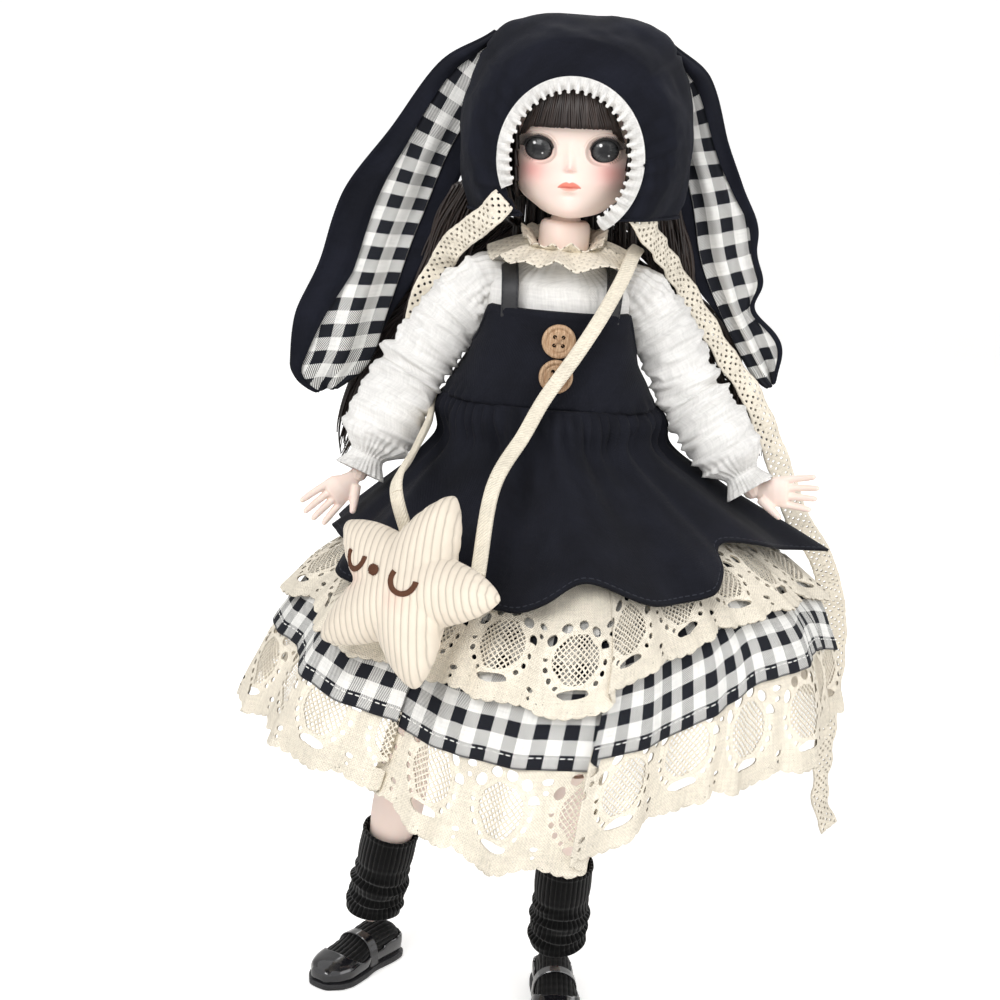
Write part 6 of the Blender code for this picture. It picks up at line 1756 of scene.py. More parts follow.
def makeEar(side):
    sign = -1 if side == "right" else 1
    neck = at(0, 0, 251)
    start = np.array(head(sign * 20.6, 4.0, 58.2) - neck) / mm
    rows, cols = 110, 64
    table = np.array(earShares[side])
    down = np.linspace(0, len(table) - 1, rows)
    inner, outer, hang = [], [], []
    for k in range(5):
        column = hermite(np.arange(len(table)), table[:, k], down)
        (inner if k < 2 else outer if k < 4 else hang).append(column)
    inner, outer, hang = np.array(inner).T, np.array(outer).T, hang[0]
    share = down / down[-1]
    t = np.linspace(0, 1, cols)
    tipRound = np.sqrt(np.clip(1 - ((share - 0.93) / 0.075).clip(0, 1) ** 2, 0, 1))
    middle = (inner + outer) / 2
    inner, outer = middle + (inner - middle) * (0.25 + 0.75 * tipRound[:, None]), middle + (outer
            - middle) * (0.25 + 0.75 * tipRound[:, None])
    spots = inner[:, None] + (outer - inner)[:, None] * t[None, :, None]
    edgeWave = 0.030 * np.sin(share * (30 if sign > 0 else 20)) * ease(0.45, 0.7,
            share) * (1 if sign > 0 else 0.35)
    joined = 0.13 * ease(0.52, 0.12, share) * ease(-0.02, 0.10, share)
    spots[..., 0] -= joined[:, None] * (1 - t[None]) ** 1.5
    spots[..., 0] += edgeWave[:, None] * ease(0.55, 1.0, t)[None]
    spots[..., 1] += (0.016 * (1 - ease(0.05, 0.45, share)))[:,
                                                             None] + 0.024 * (1 - ease(0.0, 0.15,
            share))[:, None] * t[None]
    x = start[0] + sign * 60 * spots[..., 0]
    z = start[2] - 120 * spots[..., 1]
    y = start[1] + (15.2 - start[1]) * hang[:, None] + 0 * x
    big = ease(0.06, 0.35, share)[:, None]
    folds = (1.5 * np.sin(math.pi * (2.4 * t[None] + 0.9 * share[:, None]))
             + 0.7 * np.sin(math.pi * (5.2 * t[None] - 1.2 * share[:, None] + 0.4))
             + 0.5 * np.sin(9 * share[:, None] + 7 * t[None]))
    y = y + folds * big + (0.7 * waves(np.stack([x, z, 0 * x], -1), 0.07, 9)) * big
    sheetPoints = np.stack([x, y, z], -1)
    across = np.linalg.norm(np.diff(sheetPoints, axis=1), axis=2)
    u = np.concatenate([np.zeros((rows, 1)), np.cumsum(across, 1)], 1) * mm
    v = stepsOf(sheetPoints[:, cols // 2]) * mm
    uv = uvRows(u, v)
    rollAt = np.interp(share, [p[0] for p in earRoll[side]], [p[1] for p in earRoll[side]])
    ends = (tuple(neck + Vector(sheetPoints[int(rows * 0.5), cols // 2]) * mm),
            tuple(neck + Vector(sheetPoints[6, cols // 2]) * mm))
    blend = ("neck_ball", "head", ends[0], ends[1])
    lining = gridObject(f"ear_lining_{side}", sheetPoints * mm + np.array(neck), [gingham], uv,
                        wall=0.0004, offset=0)
    # the black outer cloth: behind the lining, round its outer edge and back over the front of it
    pathRows = []
    for r in range(rows):
        row = sheetPoints[r]
        width = np.linalg.norm(row[-1] - row[0]) + 1e-6
        behind = row + np.array([0, 1.0, 0])
        tuck = 6.5 * float(ease(0.04, 0.16, share[r]) * ease(0.80, 0.55, share[r]))
        inward = (row[0] - row[8]) / np.linalg.norm(row[0] - row[8])
        tucked = [behind[0] + inward * tuck * k + np.array([0, 0.6 * k, 0]) for k in (1.0, 0.75, 0.5, 0.25)]
        behind = np.concatenate([tucked, behind])
        count = 30
        reach = rollAt[r]
        edge = row[-1]
        way = (row[-1] - row[-6]) / np.linalg.norm(row[-1] - row[-6])
        turn = [edge + way * (0.9 * math.sin(a)) + np.array([0, 1.0, 0]) * (1.0 * math.cos(a))
                for a in np.linspace(0.3, math.pi - 0.3, 7)]
        back = 1 - np.linspace(0.0, reach, count)
        columnPlace = back * (cols - 1)
        low = np.clip(np.floor(columnPlace).astype(int), 0, cols - 2)
        part = (columnPlace - low)[:, None]
        front = row[low] * (1 - part) + row[low + 1] * part
        swell = 1.1 + 1.6 * np.sin(np.linspace(0, math.pi, count)) * min(1, reach * 3)
        front = front - np.array([0, 1, 0]) * swell[:, None]
        pathRows.append(np.concatenate([behind, turn, front]))
    pathRows = np.array(pathRows)
    across2 = np.linalg.norm(np.diff(pathRows, axis=1), axis=2)
    u2 = np.concatenate([np.zeros((rows, 1)), np.cumsum(across2, 1)], 1) * mm
    uv2 = uvRows(u2, v)
    outerCloth = gridObject(f"ear_outer_{side}", pathRows * mm + np.array(neck), [black], uv2, wall=0.0005,
                            offset=0)
    for obj, lengths in ((lining, u), (outerCloth, u2)):
        applyAll(obj)
        cutSheet(lengths, v)
        finishObject(obj, None, [f"bonnet_ear_{side}"], blend)


tieShares = dict(right=((0, 0, 0), (0.045, 0.075, 0.05), (0.065, 0.118, 0.095), (0.085, 0.118, 0.135),
                        (0.095, 0.118, 0.20), (0.105, 0.118, 0.30)),
                 left=((0, 0, 0), (0.05, 0.09, 0.06), (0.085, 0.118, 0.105), (0.155, 0.118, 0.20),
                       (0.20, 0.118, 0.255), (0.25, 0.125, 0.35), (0.295, 0.14, 0.445),
                       (0.352, 0.17, 0.525), (0.398, 0.22, 0.65), (0.41, 0.24, 0.85), (0.415, 0.25, 0.96),
                       (0.44, 0.26, 1.02)),)


def ribbon(name, route, outward, width, finish, wall, cols=9, twist=0.0, wave=0.0, scallop=0.0):
    count = len(route)
    along = alongRoute(route)
    side = unit(np.cross(along, np.asarray(outward, float)))
    normal = np.cross(side, along)
    steps = stepsOf(route)
    lean = twist * np.sin(steps / 0.031)
    side, normal = side * np.cos(lean)[:, None] + normal * np.sin(lean)[:, None], normal * np.cos(lean)[:,
            None] - side * np.sin(lean)[:, None]
    t = np.linspace(-0.5, 0.5, cols)
    wide = width * (1 + scallop * np.abs(np.sin(steps / 0.0024 * math.pi)))
    points = (route[:, None] + side[:, None] * (wide[:, None] * t[None])[..., None]
              + normal[:, None] * (wave * np.sin(steps / 0.006 * math.pi)[:,
            None] * np.sin(math.pi * t)[None])[..., None])
    uv = np.stack([np.broadcast_to((t + 0.5) * width, (count, cols)),
                   np.broadcast_to(steps[:, None], (count, cols))], -1)
    return gridObject(name, points, [finish], uv, wall=wall, offset=0)


# the ribbon is 7.5 mm wide; a sheet is declared at least 10 mm wide, so its true area is given
tie = dict(width=0.0075, declaredWidth=0.010, wall=0.0005)


def makeTie(side):
    sign = -1 if side == "right" else 1
    neck = at(0, 0, 251)
    places = [neck + Vector((sign * (23.7 + 200 * o), -12.5 + 200 * b, 1.5 - 200 * d)) * mm for o, b,
              d in tieShares[side]]
    places = [neck + Vector((sign * 19.2, -16.0, 7.5)) * mm] + places
    route = smoothRoute(places, 170 if sign > 0 else 60)
    obj = ribbon(f"tie_{side}", route, (0.3 * sign, -1, 0.2), tie["width"], ribbonLace, tie["wall"], 11,
                 0.35, 0.0006, 0.05)
    applyAll(obj)
    finishObject(obj, None, [f"bonnet_tie_{side}"],
                 ("neck_ball", "head", tuple(route[int(len(route) * (0.2 if sign > 0 else 0.5))]),
                  tuple(route[0])))


makeBonnet()
makeRuffle()
for side in ("right", "left"):
    makeEar(side)
    makeTie(side)
print("bonnet ready")


# Skirts: gathered overskirt, lace tier, gingham tier and wide hem lace

underShares = ((0.0, 0.215, 0.190, 0.0, 0.0), (0.12, 0.40, 0.38, 0.3, 0.30), (0.31, 0.68, 0.66, 1.0, 0.75),
               (0.48, 0.86, 0.84, 0.9, 1.0), (0.72, 0.96, 0.95, 0.6, 1.2), (1.0, 1.0, 1.0, 0.25, 1.35))
overShares = ((0.0, 0.410, 0.330, 0.0, 0.0), (0.22, 0.430, 0.41, 0.1, 0.4), (0.50, 0.60, 0.575, 0.40, 0.8),
              (0.76, 0.81, 0.80, 0.75, 1.15), (1.0, 1.0, 1.0, 1.0, 1.9))
under = dict(shares=underShares, top=183, length=96, wide=91.5, deep=84, shift=10.5)
above = dict(shares=overShares, top=198.5, length=46, wide=76.5, deep=67, shift=12.5)
# the hems as they hang: degrees round from the doll's left, -90 in front, and height in mm
overHem = ((180, 154), (-164, 154), (-133, 148), (-106, 149), (-90, 158.7), (-74, 153), (-61, 154.6),
           (-40, 165), (-15, 160), (0, 157), (30, 152), (90, 151), (140, 152))
tierHem = ((180, 131), (-160, 135), (-140, 131), (-119, 126.7), (-103, 125.8), (-91, 124.3), (-77, 132.7),
           (-54, 144), (-20, 146), (20, 134), (90, 129), (140, 130))
ginghamHem = ((180, 123), (-150, 121), (-130, 115.5), (-112, 109.6), (-90, 110), (-68, 116.7),
              (-47, 128.8), (-20, 131), (8, 122), (90, 112), (140, 116))
laceHem = ((180, 96), (-150, 97), (-130, 95), (-105, 82), (-88, 81), (-70, 94), (-45, 100), (-20, 104),
           (0, 106), (40, 98), (90, 92), (140, 94))
# sharp pleats in the under layers: where, which way the upper side lies, how far it stands out, and how wide it is
pleats = ((-83, 1, 3.0, 20), (-124, -1, 1.8, 16), (-14, -1, 2.6, 18), (62, 1, 2.0, 20), (118, -1, 2.0, 20),
          (168, 1, 1.8, 16))


def turnFrom(angles, degrees):
    return (np.degrees(angles) - degrees + 180) % 360 - 180


def foldShape(angles):
    return (0.55 * np.cos(8 * angles + 0.9 * np.sin(2 * angles)) + 0.35 * np.cos(5 * angles + 1.1)
            + 0.25 * np.cos(13 * angles + 0.4))


# a skirt's points in mm from the doll's middle; frill adds small waves, sharp the overlapping pleats
def skirtRows(cut, heights, angles, grow=0.0, frill=0.0, sharp=0.0):
    shares = cut["shares"]
    down = (cut["top"] - heights) / cut["length"]
    inside = np.clip(down, 0, 1)
    past = down - inside
    read = []
    for column in range(1, 5):
        values = readShares(shares, column, inside.ravel()).reshape(down.shape)
        slope = (shares[-1][column] - shares[-2][column]) / (shares[-1][0] - shares[-2][0])
        read.append(values + past * slope)
    step = np.zeros_like(down + angles)
    bent = angles + step
    for degrees, way, out, reach in pleats:
        turn = turnFrom(angles, degrees) * way
        grown = sharp * ease(0.15, 0.8, inside)
        upper = np.exp(-(np.clip(turn, 0, 90) / reach) ** 2) * ease(-0.9, 0.9, turn)
        lower = np.exp(-(np.clip(-turn, 0, 90) / (reach * 0.6)) ** 2) * ease(0.9, -0.9, turn)
        step = step + grown * out * (upper - 0.5 * lower)
        slide = np.exp(-((turn - 1.8) / 3.2) ** 2) * ease(-0.9, 0.9,
                                                          turn) * 3.0 - np.exp(-((turn + 1.8)
                / 3.2) ** 2) * ease(0.9, -0.9, turn) * 2.4
        bent = bent - np.radians(slide * way * grown)
    stand = 4.6 * read[3] * foldShape(angles) + step + grow
    small = (0.7 * np.cos(19 * angles + 1.3 * np.sin(3 * angles))
             + 0.45 * np.cos(31 * angles + 2 + np.sin(7 * angles))) * inside
    stand = stand + small + frill * (np.sin(angles * 41 + 2 * np.sin(angles * 6))
                                     + 0.6 * np.sin(angles * 67 + 1))
    x = cut["shift"] * read[2] + (cut["wide"] * read[0] + stand) * np.cos(bent)
    y = (cut["deep"] * read[1] + stand) * np.sin(bent)
    return np.stack([x, y, heights + 0 * x], -1)


# places round a skirt from the middle of the back, closer together at the pleats
def skirtAngles(count):
    even = np.linspace(0, math.tau, count, endpoint=False) + math.pi / 2
    close = [math.radians(p[0]) + k * math.radians(0.28) for p in pleats for k in range(-7, 8)]
    close = [(a - math.pi / 2) % math.tau + math.pi / 2 for a in close]
    return np.array(sorted(list(even) + close))


def outwardOf(spots):
    return unit(np.stack([spots[..., 0], spots[..., 1], np.zeros_like(spots[..., 0])], -1))


# lengths round each row, heights above the hem, and the cloth's UV, whose V starts at the hem
def skirtUv(points):
    lengths = arcLengths(points)
    steps = np.linalg.norm(np.diff(points, axis=0), axis=2)
    up = np.concatenate([np.cumsum(steps[::-1], 0)[::-1], np.zeros((1, points.shape[1]))])
    up = np.concatenate([up, up[:, :1]], 1)
    return lengths, up, np.stack([np.broadcast_to(lengths[-1][None], up.shape), up], -1)


def makeTier(name, node, finish, cut, topHeights, hem, rows, angles, grow=0.0, frill=0.0,
             sharp=1.0, wall=0.0004, crumple=0.4, flare=0.0, jump=0.0):
    share = np.linspace(0, 1, rows)[:, None]
    degrees = np.degrees(angles)
    low = ringSpline(hem, degrees)
    for place, way, _, reach in pleats[:1]:
        turn = turnFrom(angles, place) * way
        low = low + jump * (ease(-0.6, 0.9, turn) * np.exp(-(turn / reach) ** 2))
    heights = topHeights + (low[None] - topHeights) * share
    spots = skirtRows(cut, heights, angles[None], grow + flare * share**2, frill * share**1.5, sharp)
    around = outwardOf(spots)
    spots += around * (crumple * share * waves(spots, 0.075, 4) * 2.2)[..., None]
    points = spots * mm + np.array(dollPlace)
    lengths, up, uv = skirtUv(points)
    obj = gridObject(name, points, [finish], uv, around=True, wall=wall)
    applyAll(obj)
    cutSheet(lengths, up[0].max() - up.mean(1))
    return finishObject(obj, "pelvis", [node])


# short threads laid along routes of world points
def stitches(name, routes, finish, body, nodes, length=1.3, gap=0.7, radius=0.16):
    parts = []
    for route in routes:
        route = np.asarray(route)
        steps = stepsOf(route) / mm
        spot = 0.2
        while spot + length < steps[-1]:
            want = np.linspace(spot, spot + length, 4)
            line = np.stack([np.interp(want, steps, route[:, k]) for k in range(3)], 1)
            parts.append(strand(line, np.array([0.5, 1, 1, 0.5]) * radius * mm, 5, (0, -1, 0), 0.8))
            spot += length + gap
    return finishObject(joinMeshes(name, parts, [finish]), body, nodes)


def makeSkirts():
    angles = skirtAngles(520)
    makeTier("gingham_tier", "underskirt", ginghamHemmed, under, 182.5, ginghamHem, 46, angles,
             frill=0.25, jump=3.0)
    low = ringSpline(ginghamHem, np.degrees(angles))
    turn = turnFrom(angles, -83)
    joined = low + 2.6 + 3.0 * ease(-0.6, 0.9, turn) * np.exp(-(turn / 20) ** 2)
    makeTier("hem_lace", "underskirt", hemLace, under, joined[None], laceHem, 22, angles,
             grow=-0.9, frill=0.9, flare=1.6, wall=0.0005, crumple=0.7)
    makeTier("lace_tier_cloth", "lace_tier", tierLace, under, 171.0, tierHem, 34, angles,
             grow=2.0, frill=0.7, flare=2.2, wall=0.0005, crumple=0.5, jump=3.0)
    wide = np.linspace(0, math.tau, 480, endpoint=False) + math.pi / 2
    share = np.linspace(0, 1, 90)[:, None]
    low = ringSpline(overHem, np.degrees(wide))
    heights = 198.6 + (low[None] - 198.6) * share
    spots = skirtRows(above, heights, wide[None], 0.4, 0.0, 0.0)
    around = outwardOf(spots)
    degrees = np.degrees(wide)[None]
    gathers = 0.55 * np.sin(wide * 58 + 3 * np.sin(wide * 5))[None] * ease(0.0, 0.04, share) * ease(0.42,
            0.08, share)
    middle = 0.9 * np.sin(wide * 27 + 2.0 * np.sin(wide * 4))[None] * ease(0.03, 0.20, share) * ease(0.85,
            0.25, share)
    broad = 2.4 * np.sin(wide * 11 + 1.1 * np.sin(wide * 3) + 0.6)[None] * ease(0.25, 1.0, share)
    puff = 2.2 * np.exp(-((share - 0.10) / 0.10) ** 2)
    spots += around * (gathers + middle + broad + puff + 1.2 * share * waves(spots, 0.06, 6))[..., None]
    points = spots * mm + np.array(dollPlace)
    lengths, up, uv = skirtUv(points)
    obj = gridObject("overskirt_cloth", points, [twillHemmed], uv, around=True, wall=0.0007)
    applyAll(obj)
    cutSheet(lengths, up[0].max() - up.mean(1))
    front = tuple(at(0, -21, 186))
    top = tuple(at(0, -21, 197.5))
    finishObject(obj, None, ["overskirt"], ("pelvis", "waist_ball", front, top))


# a turned hem on a cloth whose V is metres up from it: a folded edge darkened with painted shade, and a row of
# stitches
def hemmed(made, edge, stitchAt, paintedShade, thread, dash=0.0022):
    tree = made.node_tree
    surface = tree.nodes["Principled BSDF"]
    u, v, _ = xyOf(tree, clothUv(tree))
    base = surface.inputs["Base Color"].links[0].from_socket
    line = (v - stitchAt).math("ABSOLUTE")
    gaps = (u / dash * math.tau).math("SINE").between(-0.6, -0.2)
    # painted shade: the colour darkens towards the folded edge at the bottom
    base = mixColor(tree, v.between(edge, edge * 0.6) * 0.7, base, paintedShade)
    base = mixColor(tree, line.between(0.00022, 0.00012) * gaps, base, thread)
    plug(tree, base, surface.inputs["Base Color"])
    height = (line.between(0.0, 0.0006) + v.between(stitchAt + 0.0006, stitchAt) * 0.6)
    bump(tree, surface, height, 0.6, 0.0003)
    return made


ginghamHemmed = hemmed(ginghamMaterial(), 0.0007, 0.0034, (0.02, 0.02, 0.025), (0.80, 0.79, 0.76))
twillHemmed = hemmed(wovenMaterial("black twill with hem", tones["twill"], 0.78, 0.00085, 1.0, 0.7,
                                   (0.75, 1.3), 0.02), 0.0004, 0.0017, (0.006, 0.006, 0.008),
                     (0.03, 0.032, 0.042))
makeSkirts()
print("skirts ready")


# Blouse, sleeves, pinafore top, straps, buttons and lace collar

chestShares = ((0.0, 0.74, 0.84, 0), (0.16, 0.72, 0.84, 0), (0.34, 0.82, 0.95, 0.02),
               (0.50, 0.93, 1.05, 0.06), (0.63, 1.0, 1.0, 0.04), (0.72, 0.98, 0.86, 0.0),
               (0.785, 0.77, 0.70, 0.0), (0.845, 0.46, 0.54, 0.0), (0.90, 0.33, 0.45, 0.0))


def makeBlouse():
    ups = np.linspace(0.06, 0.885, 70)
    table = [readShares(chestShares, k, ups)[:, None] for k in (1, 2, 3)]
    angles = turnAngles(160)[None]
    c, s = np.cos(angles), np.sin(angles)
    x = (19.5 * table[0] + 2.0) * np.sign(c) * np.abs(c) ** (2 / 2.3)
    y = (13 * table[1] + 2.0) * np.sign(s) * np.abs(s) ** (2 / 2.3) - 13 * table[2]
    z = 193.5 + 55 * ups[:, None] + 0 * x
    rows = np.stack([x, y, z], -1)
    out = np.stack([c + 0 * x, s + 0 * x, 0 * x], -1)
    gathers = 0.35 * np.sin(angles * 44 + 2 * np.sin(angles * 5)) * ease(0.55, 0.8, ups[:, None])
    rows += out * (gathers + 0.8 * waves(rows, 0.16, 7))[..., None]
    lengths = arcLengths(rows * mm)
    downs = ups * 55 * mm
    uv = uvRows(lengths, downs)
    obj = gridObject("blouse_cloth", rows * mm + np.array(dollPlace), [whiteCotton], uv, around=True,
                     wall=0.0004)
    applyAll(obj)
    cutSheet(lengths, downs)
    finishObject(obj, "chest", ["blouse"])


def routeFrames(route, forward):
    along = alongRoute(route)
    side = unit(np.cross(along, forward))
    return side, np.cross(side, along)


def makeSleeve(side):
    sign = -1 if side == "right" else 1
    arm = arms[side]
    shoulder, elbow, wrist = (np.array(arm[key]) for key in ("shoulder", "elbow", "wrist"))
    middle = np.array((-12.565, 4.3, 232.0))
    start = middle + [sign * 14.5, 0, 1.6]
    crown = middle + [sign * 22.0, 0, 0.4]
    cuff = elbow + (wrist - elbow) * 0.985
    bend = elbow + [sign * -0.8, 0.6, 0]
    route = smoothRoute([tuple(p) for p in (start, crown, shoulder + [sign * 2.6, -0.3, -5.0],
                                            shoulder + (elbow - shoulder) * 0.58, bend,
                                            elbow + (wrist - elbow) * 0.48, elbow + (wrist - elbow) * 0.80,
                                            cuff)], 190)
    steps = stepsOf(route)
    share = steps / steps[-1]
    radii = hermite([0, 0.10, 0.20, 0.40, 0.60, 0.78, 0.865, 0.905, 0.925, 0.945, 1.0],
                    [5.5, 8.4, 9.6, 9.8, 10.4, 11.4, 10.2, 6.6, 5.1, 5.3, 7.2], share)
    across, ahead = routeFrames(route, (0, -1, 0))
    count = 110
    angles = turnAngles(count)[None]
    inner = np.cos(angles) * -sign
    flat = hermite([0, 0.3, 0.85, 0.93, 1.0], [0.98, 0.86, 0.84, 0.94, 0.95], share)[:, None]
    seed = 3 if sign < 0 else 8
    grid = np.stack([np.cos(angles) * 9 + 0 * share[:, None], np.sin(angles) * 9 + 0 * share[:, None],
                     steps[:, None] + 0 * angles], -1)
    creased = waves(grid * [0.55, 0.55, 2.6], 0.10, seed)
    fine = waves(grid * [0.8, 0.8, 3.4], 0.19, seed + 2)
    large = waves(grid, 0.055, seed + 5)
    calm = ease(0.02, 0.14, share)[:, None] * ease(0.93, 0.86, share)[:, None]
    ridge = (1 - np.abs(creased) * 2.6).clip(0, 1) ** 2
    puckers = np.sin(angles * 26 + 2.2 * np.sin(angles * 4)) * (0.55 * ease(0.80, 0.90,
            share) * ease(0.935, 0.92, share) + 0.75 * ease(0.93, 1.0, share))[:, None]
    elbowPull = 1.2 * np.sin(steps[:, None] * 0.95 + 1.2 * np.sin(angles)) * ease(0.0, 0.9,
            inner) * np.exp(-((share[:, None] - 0.55) / 0.09) ** 2)
    gathered = 0.45 * np.sin(angles * 18 + np.sin(angles * 3)) * ease(0.30, 0.10, share)[:, None] * ease(0,
            0.05, share)[:, None]
    swell = calm * (1.35 * ridge - 0.5 + 0.9 * fine + 1.5 * large) + puckers + elbowPull * calm + gathered
    radius = radii[:, None] + swell
    points = (route[:, None] + across[:, None] * (np.cos(angles) * radius)[..., None]
              + ahead[:, None] * (np.sin(angles) * radius * flat)[..., None])
    points[..., 1] = np.minimum(points[..., 1], 12.4 + 0.12 * (points[..., 1] - 12.4))
    cut = int(np.argmin(np.linalg.norm(route - bend, axis=1)))
    blends = dict(upper=("upper_arm", "elbow_joint", shoulder + (elbow - shoulder) * 0.72, elbow),
                  lower=("elbow_joint", "forearm", elbow, elbow + (wrist - elbow) * 0.30))
    for part, rows in (("upper", slice(0, cut + 2)), ("lower", slice(cut - 1, None))):
        worldPoints = points[rows] * mm
        lengths = arcLengths(worldPoints)
        downs = (steps[rows] - steps[rows][0]) * mm
        uv = uvRows(lengths, downs)
        obj = gridObject(f"sleeve_cloth_{part}_{side}", worldPoints, [whiteCotton], uv, around=True,
                         wall=0.00035)
        applyAll(obj)
        cutSheet(lengths, downs)
        a, b, near, far = blends[part]
        finishObject(obj, None, [f"sleeve_{part}_{side}"],
                     (f"{a}_{side}", f"{b}_{side}", tuple(near * mm), tuple(far * mm)))
    band = [tuple(p) for p in (points[int(np.argmin(np.abs(share - 0.926)))] * mm)]
    band.append(band[0])
    line = tube(f"cuff_band_{side}", np.array(band), 0.00032, whiteCotton, 8, caps=False)
    finishObject(line, f"forearm_{side}", [f"sleeve_lower_{side}"])


# points of the pinafore's top, flatter in front than an oval
def bodice(heights, angles, grow=0.0):
    up = np.clip((heights - 198.8) / (226.5 - 198.8), 0, 1)
    shares = ((0, 1.0, 1.0, 0.98), (0.18, 0.92, 0.98, 0.96), (0.42, 0.80, 0.95, 0.92),
              (0.70, 0.745, 0.93, 0.90), (1.0, 0.72, 0.92, 0.88))
    wide, front, back = (readShares(shares, k, up.ravel()).reshape(up.shape) for k in (1, 2, 3))
    c, s = np.cos(angles), np.sin(angles)
    x = np.sign(c) * np.abs(c) ** 0.8 * (31.5 * wide + grow)
    deep = np.where(s > 0, back, front) * 21.5 + grow
    return np.stack([x, np.sign(s) * np.abs(s) ** 0.66 * deep, heights + 0 * x], -1)


def makeBib():
    count = 260
    angles = np.linspace(0, math.tau, count, endpoint=False) + math.pi / 2
    probe = bodice(np.full((1, count), 218.0), angles[None])[0]
    across = np.abs(probe[:, 0]) * 0.965
    front = np.sin(angles) < 0
    top = np.where(front, 226.6 - 12.5 * ease(20.4, 23.2, across) ** 0.8, 214.6 - 0.6 * ease(14, 22, across))
    top = np.where(front, top, 215.2 - 1.1 * ease(12, 23, across))
    share = np.linspace(0, 1, 60)[:, None]
    heights = 198.6 + (top[None] - 198.6) * share
    rows = bodice(heights, angles[None])
    out = unit(rows * [1, 1, 0])
    creases = 0.45 * waves(rows * [1, 1, 0.5], 0.12,
                           2) + 0.30 * np.sin(angles * 30 + 2 * np.sin(angles * 5))[None] * ease(0.22, 0.0,
            share)
    seam = -0.5 * ease(0.035, 0.0, share)
    rolled = 0.25 * ease(0.93, 0.97, share)
    rows = rows + out * (creases + seam + rolled)[..., None]
    # the top edge turns in over itself
    lip = rows[-1:] - out[-1:] * 0.9 + [0, 0, -0.5]
    rows = np.concatenate([rows, rows[-1:] - out[-1:] * 0.45 + [0, 0, 0.15], lip, lip - [0, 0, 2.2]])
    worldPoints = rows * mm + np.array(dollPlace)
    lengths = arcLengths(worldPoints)
    downs = np.concatenate([share[:, 0] * 27.8, [28.0, 28.6, 30.8]]) * mm
    uv = uvRows(lengths, downs)
    obj = gridObject("bib_cloth", worldPoints, [twill], uv, around=True, wall=0.0008, offset=-1)
    applyAll(obj)
    cutSheet(lengths, downs)
    finishObject(obj, None, ["dress_bib"],
                 ("waist_ball", "chest", tuple(at(0, 0, 198.8)), tuple(at(0, 0, 206))))
    rowAt = 56
    line = [tuple(p) for p in worldPoints[rowAt] + out[rowAt] * 0.00005]
    routes = [np.array(line + line[:1])]
    waist = worldPoints[3] + out[3] * 0.0001
    stitches("bib_stitching", routes, thread, "chest", ["dress_bib"], 1.5, 0.7, 0.13)
    finishObject(tube("waist_seam", np.array([tuple(p) for p in waist] + [tuple(waist[0])]), 0.0004, twill,
                      8, 0.8, caps=False), None, ["dress_bib"],
                 ("waist_ball", "chest", tuple(at(0, 0, 198.8)), tuple(at(0, 0, 206))))


strapShares = ((1.0, 1.0, 0.90), (1.0, 1.0, 0.98), (1.03, 0.84, 1.22), (1.04, 0.064, 1.325),
               (0.95, -0.82, 1.20), (0.6, -1.07, 0.88), (0.22, -1.0, 0.68), (0.10, -1.0, 0.60))


def makeStraps():
    for side, sign in (("right", -1), ("left", 1)):
        places = []
        for index, (outShare, front, up) in enumerate(strapShares):
            x, z = 15 * outShare, 189 + 37.5 * up
            shares = bodice(np.full((1, 361), min(max(z, 198.8), 226.5)),
                            np.linspace(-math.pi, 0, 361)[None])[0]
            deep = -shares[np.argmin(np.abs(shares[:, 0] - x)), 1]
            stand = deep + (-0.9 if index == 0 else 0.1 if index == 1 else 1.45)
            places.append(at(sign * x, -front * stand, z))
        route = smoothRoute(places, 90)
        outward = route - np.array(at(0, 0, 224))
        outward[:, 0] *= 0.35
        strap = flatBand(f"strap_{side}", route, outward, 0.0052, 0.0009, leather)
        finishObject(strap, "chest", ["shoulder_straps"])
        along = alongRoute(route)
        cross = unit(np.cross(along, outward))
        face2 = np.cross(cross, along)
        edges = [(route + cross * 0.0021 * k + face2 * 0.0005)[4:-3] for k in (-1, 1)]
        stitches(f"strap_stitching_{side}", edges, thread, "chest", ["shoulder_straps"],
                 1.1, 0.6, 0.11)


# a strap with rounded edges laid along a route, its face to outward
def flatBand(name, route, outward, width, thick, finish):
    route = np.asarray(route, float)
    along = alongRoute(route)
    cross = unit(np.cross(along, outward))
    out = np.cross(cross, along)
    sides = 20
    angles = turnAngles(sides)
    c, s = np.cos(angles), np.sin(angles)
    acrossPart = np.sign(c) * np.abs(c) ** 0.45 * width / 2
    outPart = np.sign(s) * np.abs(s) ** 0.6 * thick / 2
    points = route[:, None] + cross[:, None] * acrossPart[None, :, None] + out[:, None] * outPart[None, :,
            None]
    steps = stepsOf(route)
    uv = np.zeros((len(route), sides + 1, 2))
    around = np.concatenate([[0], np.cumsum(np.hypot(np.diff(np.r_[acrossPart, acrossPart[0]]),
                                                     np.diff(np.r_[outPart, outPart[0]])))])
    uv[..., 0], uv[..., 1] = around[None], steps[:, None]
    obj = gridObject(name, points, [finish], uv, around=True)
    closeEnds(obj, sides)
    return obj


button = dict(up=30, apart=10.4, holeAt=1.25, holeRadius=0.62, thread=0.00012)


